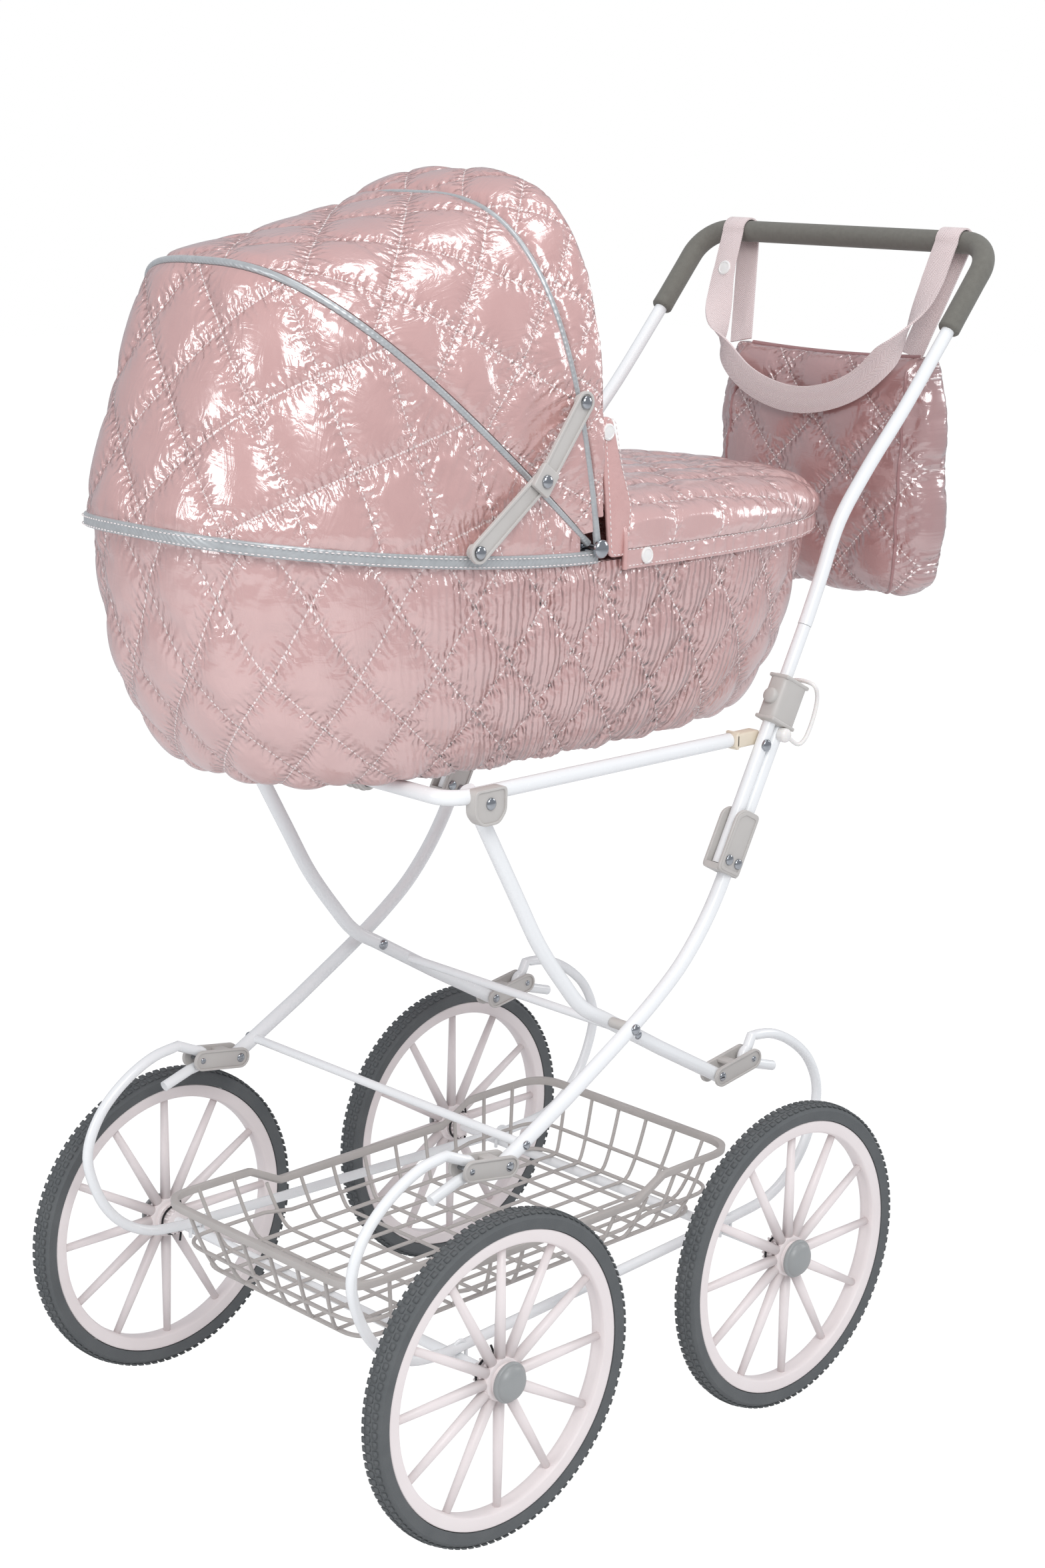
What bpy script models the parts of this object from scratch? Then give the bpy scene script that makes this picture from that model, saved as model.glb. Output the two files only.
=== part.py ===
"""Doll pram: spoked wheels on two C-springs, a folding X frame, a carrycot with a hood, and a bag.

The frame: +X is the direction of travel, +Y the left side, +Z up. The pram stands on z = 0 and
its origin is under the middle of its length. Sizes are in metres.
"""
import math

import bmesh
import bpy
from mathutils import Matrix, Vector

# Gaps between pieces
TOUCH_GAP = 0.0003
FOLD_GAP = 0.0004

# How far the cutting shapes reach past what they cut
CUT_LENGTH = 0.1
CUT_MARGIN = 0.02

# Wheels and axles
WHEEL_RADIUS = 0.1225
WHEEL_STEPS = 40
TYRE_WIDTH = 0.018
TYRE_DEPTH = 0.0135
TYRE_TREAD_HALF = 0.0055
TYRE_SHOULDER_DEPTH = 0.004
TYRE_BEAD_SHARE = 0.85
RIM_WIDTH = 0.0145
RIM_DEPTH = 0.011
RIM_INNER_SHARE = 0.8
SPOKE_COUNT = 12
SPOKE_HUB_RADIUS = 0.0034
SPOKE_RIM_RADIUS = 0.0023
HUB_RADIUS = 0.0125
HUB_BARREL_RADIUS = 0.0095
HUB_INBOARD = 0.016
HUB_OUTBOARD = 0.009
SPOKE_BITE = 0.002
CAP_RADIUS = 0.0147
CAP_HEIGHT = 0.008
CAP_SKIRT = 0.002
AXLE_END_INSET = 0.001
AXLE_RADIUS = 0.004
WHEELBASE = 0.3107
TRACK = 0.3815

# Tubes of the frame
SIDE_Y = 0.1505
REAR_LEG_Y = 0.1262
CARRIER_Y = 0.1375
LEG_RADIUS = 0.0055
LOWER_TUBE_RADIUS = 0.005
HANDLE_RADIUS = 0.0053
GRIP_RADIUS = 0.0088
CARRIER_RADIUS = 0.0055
CROSS_BAR_RADIUS = 0.0033
SPRING_RADIUS = 0.004
PAIR_CLEARANCE = 0.0008

# Pivots of the frame, seen from the side as (x, z) from the middle of the wheelbase
FRONT_BOLT = (0.1165, 0.2585)
REAR_BOLT = (-0.1376, 0.2570)
LEG_CROSSING = (-0.0123, 0.3295)
CARRIER_PIVOT = (0.1305, 0.5240)
CLAMP_BOLT = (-0.1155, 0.4370)

# Bends of the legs between their bolts, seen from the side
FRONT_LEG_BENDS = [(-0.1020, 0.4125), (-0.0850, 0.3885), (-0.0640, 0.3660), (-0.0400, 0.3475)]
FRONT_LEG_LOWER_BEND = (0.0529, 0.2918)
REAR_LEG_BENDS = [(0.0826, 0.4400), (0.0608, 0.4027), (0.0353, 0.3690), (0.0150, 0.3460)]
REAR_LEG_LOWER_BEND = (-0.0730, 0.2935)
LEG_STEP = 0.016
FRONT_CROSS_BAR_X = 0.0980
REAR_CROSS_BAR_X = -0.0420

# The handle's lower tube lies against the front leg's upper end
PAIR_ANGLE = math.radians(117.5)
PAIR_SPACING = LEG_RADIUS + LOWER_TUBE_RADIUS + PAIR_CLEARANCE
PAIR_CARRIER = 0.0907
PAIR_BAIL = 0.1035
PAIR_LEG_TOP = 0.124
PAIR_JOINT = 0.187
PAIR_LEG_BEND = 0.012

# Shackles between the leg ends and the springs
SHACKLE_SPACING = 0.0367
SHACKLE_RISE = 0.0058
SHACKLE_END_RADIUS = 0.008
SHACKLE_PLATE = 0.0027
SHACKLE_WEB_INSET = 0.0002
SHACKLE_WEB_FROM = 0.0095
SHACKLE_WEB_TO = 0.0175
SHACKLE_PIN_RADIUS = 0.0025
SHACKLE_PIN_CLEARANCE = 0.0003
HOOK_RADIUS = 0.0062
HOOK_STEPS = 8
HOOK_STUB = (0.0320, 0.0150)
HOOK_NECK = (0.0080, 0.0012)
HOOK_PIN_RADIUS = 0.0017
LEG_END_BEYOND_BOLT = 0.0055

# The spring's front bow from the shackle down to the axle, and how the rear bow and the flat run differ
SPRING_BOW = [(0.1720, 0.2790), (0.1950, 0.2755), (0.2200, 0.2637), (0.2422, 0.2451), (0.2541, 0.2250),
              (0.2572, 0.2100), (0.2550, 0.1960), (0.2434, 0.1689), (0.2254, 0.1486), (0.2010, 0.1355)]
SPRING_REAR_SHIFT = 0.0075
SPRING_FLAT_FRONT = 0.012
SPRING_FLAT_REAR = 0.006
SPRING_STEP = 0.011

# Handle
HANDLE_BEND = [(-0.2090, 0.6440), (-0.2270, 0.6830), (-0.2560, 0.7185), (-0.3000, 0.7640), (-0.3490, 0.8195)]
HANDLE_CORNER = (-0.4057, 0.8864)
HANDLE_CORNER_RADIUS = 0.0280
GRIP_FROM = (-0.3504, 0.8211)
HANDLE_FOOT = 0.006
HANDLE_STEP = 0.025

# Lock sleeve and bail
SLEEVE_FROM = 0.108
SLEEVE_TO = 0.146
SLEEVE_WIDTH = 0.017
SLEEVE_WALL = 0.003
SLEEVE_CLEARANCE = 0.0005
SLEEVE_EDGE = 0.003
SLEEVE_ABOVE_LEG = 0.002
BAIL_CLEARANCE = 0.0006
BAIL_DIP = (0.001, 0.017)
BAIL_BACK = (0.006, 0.0225)
BAIL_TOP = (0.006, 0.0200)
BAIL_OVER = 0.002
BAIL_BEHIND = 0.0008
BAIL_WIRE_RADIUS = 0.0015
BAIL_BOSS_RADIUS = 0.004

# Clamp
CLAMP_FROM = -0.0100
CLAMP_TO = 0.0400
CLAMP_PLATE = 0.0025
CLAMP_BACK = 0.001
CLAMP_FRONT = 0.003
CLAMP_LEG_ROOM = 0.0035
BOLT_HEAD_RADIUS = 0.0042
BOLT_HEAD_HEIGHT = 0.0022
CROSSING_SPACER_RADIUS = 0.004

# Carrier under the carrycot
CARRIER_Z = 0.5268
CARRIER_FRONT_X = 0.1600
CARRIER_CORNER_RADIUS = 0.018
CARRIER_REAR_X = -0.1250
PLUG_LENGTH = 0.0260
PLUG_HEIGHT = 0.0110
PLUG_INNER_SHARE = 0.6
BRACKET_LENGTH = 0.030
BRACKET_HEIGHT = 0.026
BRACKET_SIDE = 0.0045
BRACKET_EDGE = 0.0035
LATCH_Y = 0.045
LATCH_LENGTH = 0.022
LATCH_PLATE = 0.0025
LATCH_STEPS = 8
LATCH_FROM = math.radians(190.0)

# Carrycot
TUB_CENTRE_X = 0.0120
TUB_SHAPE = 3.0
TUB_LEVELS = [(0.0, 0.2270, 0.0980), (0.0060, 0.2426, 0.1103), (0.0364, 0.2658, 0.1250),
              (0.0756, 0.2830, 0.1335), (1.0, 0.2989, 0.1395)]
TUB_WALL = 0.0050
TUB_POINTS = 40
RIM_REAR_Z = 0.6755
MATTRESS_THICKNESS = 0.018
MATTRESS_INSET = 0.004
MATTRESS_EDGE = 0.004
MATTRESS_POINTS = 28
APRON_FRONT_X = -0.0020
APRON_HALF_LENGTH = 0.2980
APRON_HALF_WIDTH = 0.1432
APRON_HEM_Z = 0.6690
APRON_TOP_Z = 0.7175
APRON_WALL = 0.0032
APRON_POINTS = 20
APRON_LEVELS = [(1.0, 0.0), (1.0, 0.42), (0.97, 0.66), (0.80, 0.88), (0.50, 0.98)]
EAR_OUTLINE = [(-0.0040, 0.6900), (0.0050, 0.6900), (0.0225, 0.7640), (0.0225, 0.7740), (0.0130, 0.7740),
               (-0.0110, 0.7100)]

# Silver trim round the tub's head end, which rises towards the nose
TRIM_RADIUS = 0.0033
TRIM_HALF_LENGTH = 0.2863
TRIM_HALF_WIDTH = 0.1400
TRIM_BEHIND_PIVOT = 0.0070
TRIM_RISE = 0.0275
TRIM_RISE_POWER = 1.5
TRIM_GAP = 0.0010

# Hood: arches in planes that turn about the hood pivots, as angle, reach and half width
HOOD_PIVOT = (0.0287, 0.6862)
FRONT_BOW_ARCH = (math.radians(40.0), 0.3000, 0.1370)
REAR_BOW_ARCH = (math.radians(79.5), 0.2390, 0.1435)
VISOR_ARCH = (math.radians(91.5), 0.2500, 0.1440)
ARCH_SHAPE = 3.0
ARCH_POINTS = 25
BACK_BULGE = 0.012
NOSE_BULGE = 0.0032
TOP_BULGE = -0.002
VISOR_BULGE = 0.001
PANEL_FOOT = 0.035
PANEL_CLEARANCE = 0.0005
HOOD_WALL = 0.0040
BOW_RADIUS = 0.0022
PIVOT_HEAD_RADIUS = 0.0065
PIVOT_HEAD_LENGTH = 0.0045
PIVOT_SHANK_RADIUS = 0.0020
PIVOT_PLATE_Y = 0.1305
PIVOT_PLATE_THICKNESS = 0.0025
PIVOT_PLATE_DROP = 0.0125

# Hood stays
STAY_LOWER_BOLT = (0.1466, 0.6950)
STAY_ELBOW = (0.0897, 0.7380)
STAY_UPPER_BOLT = (0.0524, 0.7884)
STAY_WIDTH = 0.0150
STAY_THICKNESS = 0.0024
STAY_INNER_Y = 0.1468
STAY_BOSS_RADIUS = 0.0050
STAY_TAPER = 0.85
STAY_SEAT_GAP = 0.0006

# Basket
BASKET_X = 0.0180
BASKET_RIM_HALF_LENGTH = 0.2010
BASKET_RIM_HALF_WIDTH = 0.1090
BASKET_FLOOR_HALF_LENGTH = 0.1780
BASKET_FLOOR_HALF_WIDTH = 0.0920
BASKET_LOW_RIM_Z = 0.1650
BASKET_HIGH_RIM_Z = 0.1800
BASKET_STEP = 0.5400
BASKET_ROUNDING = 0.16
BASKET_LEVELS = (0.0, 0.3, 1.0)
BASKET_WIRE = 0.0026
BASKET_WIRES_ALONG = 12
BASKET_WIRES_ACROSS = 7

# Bag
BAG_X = -0.3860
BAG_DEPTH = 0.0540
BAG_WIDTH = 0.1720
BAG_BELOW_BAR = 0.0904
BAG_HEIGHT = 0.1880
BAG_POINTS = 24
BAG_SHAPE = 4.0
BAG_LEVELS = [(0.0, 0.80, 0.90), (0.06, 0.97, 0.98), (0.35, 1.0, 1.0), (0.75, 0.90, 0.99), (1.0, 0.55, 0.95)]
STRAP_WIDTH = 0.0220
STRAP_THICKNESS = 0.0018
STRAP_TOP_Y = 0.1115
STRAP_FOOT_Y = 0.0720
STRAP_TURN = math.radians(36)
STRAP_TURNS = 5
STRAP_FESTOON = [(-0.3560, 0.0880, 0.7920), (-0.3530, 0.0520, 0.7560), (-0.3520, 0.0, 0.7400)]

# Where the origin lies: under the middle between the trim's tip and the grip's back
FRONT_REACH = HOOD_PIVOT[0] + TRIM_HALF_LENGTH + TRIM_RADIUS + NOSE_BULGE
REAR_REACH = HANDLE_CORNER[0] - GRIP_RADIUS
ORIGIN_X = -(FRONT_REACH + REAR_REACH) / 2.0
WHEEL_Z = WHEEL_RADIUS * math.cos(math.pi / WHEEL_STEPS)
BAG_TOP_Z = HANDLE_CORNER[1] - BAG_BELOW_BAR
BAG_BOTTOM_Z = BAG_TOP_Z - BAG_HEIGHT

# Colours of the materials: red, green, blue, roughness, metallic
FINISHES = {
    "white_paint": (0.88, 0.89, 0.90, 0.35, 0.0),
    "wheel_plastic": (0.86, 0.80, 0.80, 0.45, 0.0),
    "grey_plastic": (0.55, 0.54, 0.52, 0.5, 0.0),
    "basket_plastic": (0.48, 0.46, 0.44, 0.5, 0.0),
    "tyre_rubber": (0.11, 0.12, 0.12, 0.75, 0.0),
    "grip_foam": (0.24, 0.24, 0.22, 0.85, 0.0),
    "pink_quilt": (0.68, 0.46, 0.44, 0.3, 0.0),
    "silver_binding": (0.50, 0.52, 0.54, 0.35, 0.3),
    "chrome": (0.75, 0.76, 0.78, 0.12, 1.0),
    "beige_plastic": (0.80, 0.72, 0.60, 0.5, 0.0),
    "white_plastic": (0.88, 0.86, 0.85, 0.4, 0.0),
    "webbing": (0.78, 0.68, 0.67, 0.8, 0.0),
    "mattress_cloth": (0.80, 0.74, 0.72, 0.8, 0.0),
}


# Scene, materials and collections

for old in list(bpy.data.objects):
    bpy.data.objects.remove(old, do_unlink=True)

parts = bpy.data.collections.new("doll_pram")
bpy.context.scene.collection.children.link(parts)
cutters = bpy.data.collections.new("cutters")
bpy.context.scene.collection.children.link(cutters)

origin = bpy.data.objects.new("pram_origin", None)
origin.location = (ORIGIN_X, 0.0, 0.0)
parts.objects.link(origin)
bpy.context.view_layer.update()


def material(name):
    """A Principled material in one of the pram's finishes."""
    found = bpy.data.materials.get(name)
    if found:
        return found
    red, green, blue, roughness, metallic = FINISHES[name]
    made = bpy.data.materials.new(name)
    made.use_nodes = True
    shader = made.node_tree.nodes["Principled BSDF"]
    shader.inputs["Base Color"].default_value = (red, green, blue, 1.0)
    shader.inputs["Roughness"].default_value = roughness
    shader.inputs["Metallic"].default_value = metallic
    return made


def joint_empty(name, x, y, z, parent=None):
    """An empty on a joint's axis, which carries the pieces that turn there."""
    empty = bpy.data.objects.new(name, None)
    empty.empty_display_size = 0.02
    empty.location = (x, y, z)
    parts.objects.link(empty)
    hang(empty, parent or origin)
    return empty


def hang(child, parent):
    """Parent an object that is placed from the middle of the wheelbase."""
    child.parent = parent
    if parent is not origin:
        bpy.context.view_layer.update()
        child.matrix_parent_inverse = (origin.matrix_world.inverted() @ parent.matrix_world).inverted()


def finish(shape, finish_name, parent=None, smooth_angle=35.0):
    """Give a mesh object its material, its smooth shading and its place in the pram."""
    shape.data.materials.clear()
    shape.data.materials.append(material(finish_name))
    if shape.type == "MESH":
        shape.data.shade_smooth()
        shape.data.set_sharp_from_angle(angle=math.radians(smooth_angle))
    parts.objects.link(shape)
    hang(shape, parent or origin)
    return shape


def mesh_object(name, mesh_builder):
    mesh = bpy.data.meshes.new(name)
    mesh_builder.to_mesh(mesh)
    mesh_builder.free()
    return bpy.data.objects.new(name, mesh)


# Shapes

def evaluated_mesh(shape, name):
    """A welded mesh copy of a curve or of an object with modifiers."""
    bpy.context.view_layer.update()
    graph = bpy.context.evaluated_depsgraph_get()
    mesh = bpy.data.meshes.new_from_object(shape.evaluated_get(graph))
    welded = bmesh.new()
    welded.from_mesh(mesh)
    bmesh.ops.remove_doubles(welded, verts=welded.verts, dist=0.00001)
    welded.to_mesh(mesh)
    welded.free()
    mesh.name = name
    return mesh


def smooth_route(points, spacing):
    """Points along a smooth curve through the given ones."""
    route = []
    knots = [Vector(p) for p in points]
    count = len(knots)
    for i in range(count - 1):
        before = knots[i - 1] if i > 0 else knots[i] * 2 - knots[i + 1]
        here = knots[i]
        there = knots[i + 1]
        after = knots[i + 2] if i + 2 < count else there * 2 - here
        length = (there - here).length
        steps = max(1, round(length / spacing))
        t1 = math.sqrt((here - before).length)
        t2 = t1 + math.sqrt(length)
        t3 = t2 + math.sqrt((after - there).length)
        for k in range(steps):
            t = t1 + (t2 - t1) * k / steps
            a = before.lerp(here, t / t1)
            b = here.lerp(there, (t - t1) / (t2 - t1))
            c = there.lerp(after, (t - t2) / (t3 - t2))
            d = a.lerp(b, t / t2)
            e = b.lerp(c, (t - t1) / (t3 - t1))
            route.append(d.lerp(e, (t - t1) / (t2 - t1)))
    route.append(knots[-1])
    return route


def corner_arc(before, corner, after, radius, steps):
    """The arc of a bend with a given radius at a corner of a tube's route."""
    corner = Vector(corner)
    toward_before = (Vector(before) - corner).normalized()
    toward_after = (Vector(after) - corner).normalized()
    half = toward_before.angle(toward_after) / 2.0
    centre = corner + (toward_before + toward_after).normalized() * radius / math.sin(half)
    start = corner + toward_before * radius / math.tan(half)
    end = corner + toward_after * radius / math.tan(half)
    arc = []
    for k in range(steps + 1):
        ray = (start - centre).slerp(end - centre, k / steps)
        arc.append(centre + ray.normalized() * radius)
    return arc


def tube_curve(name, route, radius, resolution):
    curve = bpy.data.curves.new(name, "CURVE")
    curve.dimensions = "3D"
    curve.bevel_depth = radius
    curve.bevel_resolution = resolution
    curve.use_fill_caps = True
    line = curve.splines.new("POLY")
    line.points.add(len(route) - 1)
    for point, place in zip(line.points, route):
        point.co = (place[0], place[1], place[2], 1.0)
    return bpy.data.objects.new(name, curve)


def tube(name, route, radius, resolution=2):
    """A tube as a welded mesh object, ready to be cut."""
    guide = tube_curve(name + "_route", route, radius, resolution)
    cutters.objects.link(guide)
    shape = bpy.data.objects.new(name, evaluated_mesh(guide, name))
    bpy.data.objects.remove(guide, do_unlink=True)
    return shape


def turned(name, profile, steps, turn=0.0):
    """A turned solid about its own Z, from a profile of (radius, height) that runs down the outside."""
    outline = bmesh.new()
    closed = profile[0] == profile[-1]
    corners = profile[:-1] if closed else profile
    verts = [outline.verts.new((r * math.cos(turn), r * math.sin(turn), z)) for r, z in corners]
    pairs = list(zip(verts, verts[1:]))
    if closed:
        pairs.append((verts[-1], verts[0]))
    for a, b in pairs:
        outline.edges.new((a, b))
    guide = mesh_object(name + "_profile", outline)
    screw = guide.modifiers.new("turn", "SCREW")
    screw.steps = steps
    screw.render_steps = steps
    screw.use_merge_vertices = True
    screw.merge_threshold = 0.00005
    screw.use_normal_calculate = True
    cutters.objects.link(guide)
    mesh = evaluated_mesh(guide, name)
    bpy.data.objects.remove(guide, do_unlink=True)
    solid = bmesh.new()
    solid.from_mesh(mesh)
    bmesh.ops.recalc_face_normals(solid, faces=solid.faces)
    solid.to_mesh(mesh)
    solid.free()
    return bpy.data.objects.new(name, mesh)


def pin(name, centre, radius, length, axis="Y", steps=16):
    """A plain round pin or disc whose middle lies at centre."""
    shape = bmesh.new()
    bmesh.ops.create_cone(shape, cap_ends=True, segments=steps, radius1=radius, radius2=radius, depth=length)
    if axis == "Y":
        bmesh.ops.rotate(shape, matrix=Matrix.Rotation(math.pi / 2, 3, "X"), verts=shape.verts)
    elif axis == "X":
        bmesh.ops.rotate(shape, matrix=Matrix.Rotation(math.pi / 2, 3, "Y"), verts=shape.verts)
    bmesh.ops.translate(shape, vec=centre, verts=shape.verts)
    return mesh_object(name, shape)


def block(name, low, high, turn=0.0, about=(0.0, 0.0)):
    """A box between two corners, turned about Y from +X towards +Z at a point of the side view."""
    shape = bmesh.new()
    bmesh.ops.create_cube(shape, size=1.0)
    size = [h - l for l, h in zip(low, high)]
    middle = [(h + l) / 2 for l, h in zip(low, high)]
    bmesh.ops.scale(shape, vec=size, verts=shape.verts)
    bmesh.ops.translate(shape, vec=middle, verts=shape.verts)
    if turn:
        pivot = Vector((about[0], 0.0, about[1]))
        bmesh.ops.rotate(shape, cent=pivot, matrix=Matrix.Rotation(-turn, 3, "Y"), verts=shape.verts)
    return mesh_object(name, shape)


def side_plate(name, outline, low_y, high_y):
    """A flat plate: an outline in the side view, given thickness along Y."""
    curve = bpy.data.curves.new(name + "_outline", "CURVE")
    curve.dimensions = "2D"
    curve.fill_mode = "BOTH"
    curve.extrude = (high_y - low_y) / 2
    line = curve.splines.new("POLY")
    line.points.add(len(outline) - 1)
    for point, (x, z) in zip(line.points, outline):
        point.co = (x, z, 0.0, 1.0)
    line.use_cyclic_u = True
    guide = bpy.data.objects.new(name + "_outline", curve)
    cutters.objects.link(guide)
    mesh = evaluated_mesh(guide, name)
    bpy.data.objects.remove(guide, do_unlink=True)
    mesh.transform(Matrix.Translation((0.0, (low_y + high_y) / 2, 0.0)) @ Matrix.Rotation(math.pi / 2, 4, "X"))
    return bpy.data.objects.new(name, mesh)


def stadium(start, end, start_radius, end_radius, steps=6):
    """The outline of a strap with round ends, as points of the side view."""
    run = Vector(end) - Vector(start)
    along = math.atan2(run.y, run.x)
    outline = []
    for k in range(steps + 1):
        angle = along - math.pi / 2 + math.pi * k / steps
        outline.append((end[0] + end_radius * math.cos(angle), end[1] + end_radius * math.sin(angle)))
    for k in range(steps + 1):
        angle = along + math.pi / 2 + math.pi * k / steps
        outline.append((start[0] + start_radius * math.cos(angle), start[1] + start_radius * math.sin(angle)))
    return outline


def combine(shape, tool, operation):
    """Cut a shape with a tool, or join the tool to it."""
    cutters.objects.link(tool)
    hang(tool, origin)
    tool.hide_render = True
    tool.display_type = "WIRE"
    change = shape.modifiers.new(operation.lower() + "_" + tool.name, "BOOLEAN")
    change.operation = operation
    change.solver = "EXACT"
    change.object = tool
    change.use_self = operation == "UNION"
    return shape


def settled(shape):
    """The shape with its cuts and joins applied, and its tools taken away."""
    parts.objects.link(shape)
    hang(shape, origin)
    mesh = evaluated_mesh(shape, shape.name)
    for change in shape.modifiers:
        if change.type == "BOOLEAN":
            bpy.data.objects.remove(change.object, do_unlink=True)
    name = shape.name
    bpy.data.objects.remove(shape, do_unlink=True)
    return bpy.data.objects.new(name, mesh)


def mirrored(shape, name):
    """The right-hand copy of a left-hand piece."""
    mesh = shape.data.copy()
    mesh.transform(Matrix.Scale(-1.0, 4, (0.0, 1.0, 0.0)))
    mesh.flip_normals()
    return bpy.data.objects.new(name, mesh)


def both_sides(shape, base_name, finish_name, parent=None, smooth_angle=35.0):
    """Put a left-hand piece and its mirror image on the pram."""
    shape.name = base_name + "_left"
    right = mirrored(shape, base_name + "_right")
    finish(shape, finish_name, parent, smooth_angle)
    finish(right, finish_name, parent, smooth_angle)


def on_pair(along, across, y):
    """A place on the tube pair: along the front leg's upper end, and forward of its axis."""
    x = CLAMP_BOLT[0] + along * math.cos(PAIR_ANGLE) + across * math.sin(PAIR_ANGLE)
    z = CLAMP_BOLT[1] + along * math.sin(PAIR_ANGLE) - across * math.cos(PAIR_ANGLE)
    return Vector((x, y, z))


def pair_block(name, along, across, y):
    """A box laid along the tube pair, from ranges along, across and in y."""
    shape = bmesh.new()
    bmesh.ops.create_cube(shape, size=1.0)
    for vert in shape.verts:
        a = along[0] if vert.co.z < 0 else along[1]
        c = across[0] if vert.co.x < 0 else across[1]
        s = y[0] if vert.co.y < 0 else y[1]
        vert.co = on_pair(a, c, s)
    bmesh.ops.recalc_face_normals(shape, faces=shape.faces)
    return mesh_object(name, shape)


# Joint axes

CLAMP_PIVOT = on_pair(0.0, PAIR_SPACING, 0.0)
HANDLE_PIVOT = on_pair(PAIR_CARRIER, PAIR_SPACING, 0.0)
FRONT_HOOK = (FRONT_BOLT[0] + SHACKLE_SPACING, FRONT_BOLT[1] + SHACKLE_RISE)
REAR_HOOK = (REAR_BOLT[0] - SHACKLE_SPACING, REAR_BOLT[1] + SHACKLE_RISE)

rear_shackle_axis = joint_empty("rear_shackle_axis", REAR_HOOK[0], 0.0, REAR_HOOK[1])
rear_leg_axis = joint_empty("rear_leg_axis", REAR_BOLT[0], 0.0, REAR_BOLT[1], rear_shackle_axis)
crossing_axis = joint_empty("crossing_axis", LEG_CROSSING[0], 0.0, LEG_CROSSING[1], rear_leg_axis)
front_shackle_axis = joint_empty("front_shackle_axis", FRONT_BOLT[0], 0.0, FRONT_BOLT[1], crossing_axis)
handle_axis = joint_empty("handle_axis", CLAMP_PIVOT.x, 0.0, CLAMP_PIVOT.z, crossing_axis)
carrier_axis = joint_empty("carrier_axis", HANDLE_PIVOT.x, 0.0, HANDLE_PIVOT.z, handle_axis)
hood_axis = joint_empty("hood_axis", HOOD_PIVOT[0], 0.0, HOOD_PIVOT[1], carrier_axis)
bag_axis = joint_empty("bag_axis", BAG_X, 0.0, HANDLE_CORNER[1] - GRIP_RADIUS, handle_axis)


# Wheels

def spoked_wheel():
    """Rim, hub and spokes in one moulding, lying flat with its outer side up."""
    rim_outer = WHEEL_RADIUS - TYRE_DEPTH
    rim_inner = rim_outer - RIM_DEPTH
    half = RIM_WIDTH / 2
    rim = turned("rim", [(rim_outer, half), (rim_outer, -half), (rim_inner, -half * RIM_INNER_SHARE),
                         (rim_inner, half * RIM_INNER_SHARE), (rim_outer, half)], WHEEL_STEPS, math.pi / WHEEL_STEPS)
    hub = turned("hub", [(0.0, HUB_OUTBOARD), (HUB_RADIUS, HUB_OUTBOARD), (HUB_RADIUS, -half),
                         (HUB_BARREL_RADIUS, -half), (HUB_BARREL_RADIUS, -HUB_INBOARD), (0.0, -HUB_INBOARD)], 20)
    inner = HUB_RADIUS - SPOKE_BITE
    outer = rim_inner + SPOKE_BITE
    spokes = bmesh.new()
    for k in range(SPOKE_COUNT):
        angle = math.tau * k / SPOKE_COUNT
        made = bmesh.ops.create_cone(spokes, cap_ends=True, segments=6, radius1=SPOKE_HUB_RADIUS,
                                     radius2=SPOKE_RIM_RADIUS, depth=outer - inner)
        bmesh.ops.rotate(spokes, matrix=Matrix.Rotation(math.pi / 2, 3, "Y"), verts=made["verts"])
        bmesh.ops.translate(spokes, vec=((inner + outer) / 2, 0.0, 0.0), verts=made["verts"])
        bmesh.ops.rotate(spokes, matrix=Matrix.Rotation(angle, 3, "Z"), verts=made["verts"])
    combine(rim, hub, "UNION")
    combine(rim, mesh_object("spokes", spokes), "UNION")
    combine(rim, pin("bore", (0.0, 0.0, 0.0), AXLE_RADIUS + TOUCH_GAP, CUT_LENGTH, "Z"), "DIFFERENCE")
    return settled(rim).data


def tyre_mesh():
    bead = WHEEL_RADIUS - TYRE_DEPTH + TOUCH_GAP
    half = TYRE_WIDTH / 2
    tread = TYRE_TREAD_HALF
    shoulder = WHEEL_RADIUS - TYRE_SHOULDER_DEPTH
    inside = half * TYRE_BEAD_SHARE
    profile = [(WHEEL_RADIUS, tread), (WHEEL_RADIUS, -tread), (shoulder, -half), (bead, -inside),
               (bead, inside), (shoulder, half), (WHEEL_RADIUS, tread)]
    return turned("tyre", profile, WHEEL_STEPS, math.pi / WHEEL_STEPS).data


def cap_mesh():
    base = HUB_OUTBOARD + TOUCH_GAP
    profile = [(0.0, base + CAP_HEIGHT)]
    for k in range(1, 5):
        angle = math.pi / 2 * k / 4
        profile.append((CAP_RADIUS * math.sin(angle), base + CAP_SKIRT + (CAP_HEIGHT - CAP_SKIRT) * math.cos(angle)))
    profile += [(CAP_RADIUS, base), (0.0, base)]
    return turned("cap", profile, 20).data


def add_wheels():
    wheel = spoked_wheel()
    tyre = tyre_mesh()
    cap = cap_mesh()
    for end, x in (("front", WHEELBASE / 2), ("rear", -WHEELBASE / 2)):
        for side, sign in (("left", 1), ("right", -1)):
            place = end + "_" + side
            spin_axis = joint_empty("wheel_axis_" + place, x, sign * TRACK / 2, WHEEL_Z)
            for name, mesh, finish_name in (("wheel", wheel, "wheel_plastic"), ("tyre", tyre, "tyre_rubber"),
                                            ("hub_cap", cap, "grey_plastic")):
                shape = bpy.data.objects.new(name + "_" + place, mesh)
                shape.location = (x, sign * TRACK / 2, WHEEL_Z)
                shape.rotation_euler = (-sign * math.pi / 2, 0.0, 0.0)
                finish(shape, finish_name, spin_axis)
        axle_length = TRACK + 2 * (HUB_OUTBOARD - AXLE_END_INSET)
        finish(pin("axle_" + end, (x, 0.0, WHEEL_Z), AXLE_RADIUS, axle_length), "white_paint")


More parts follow.
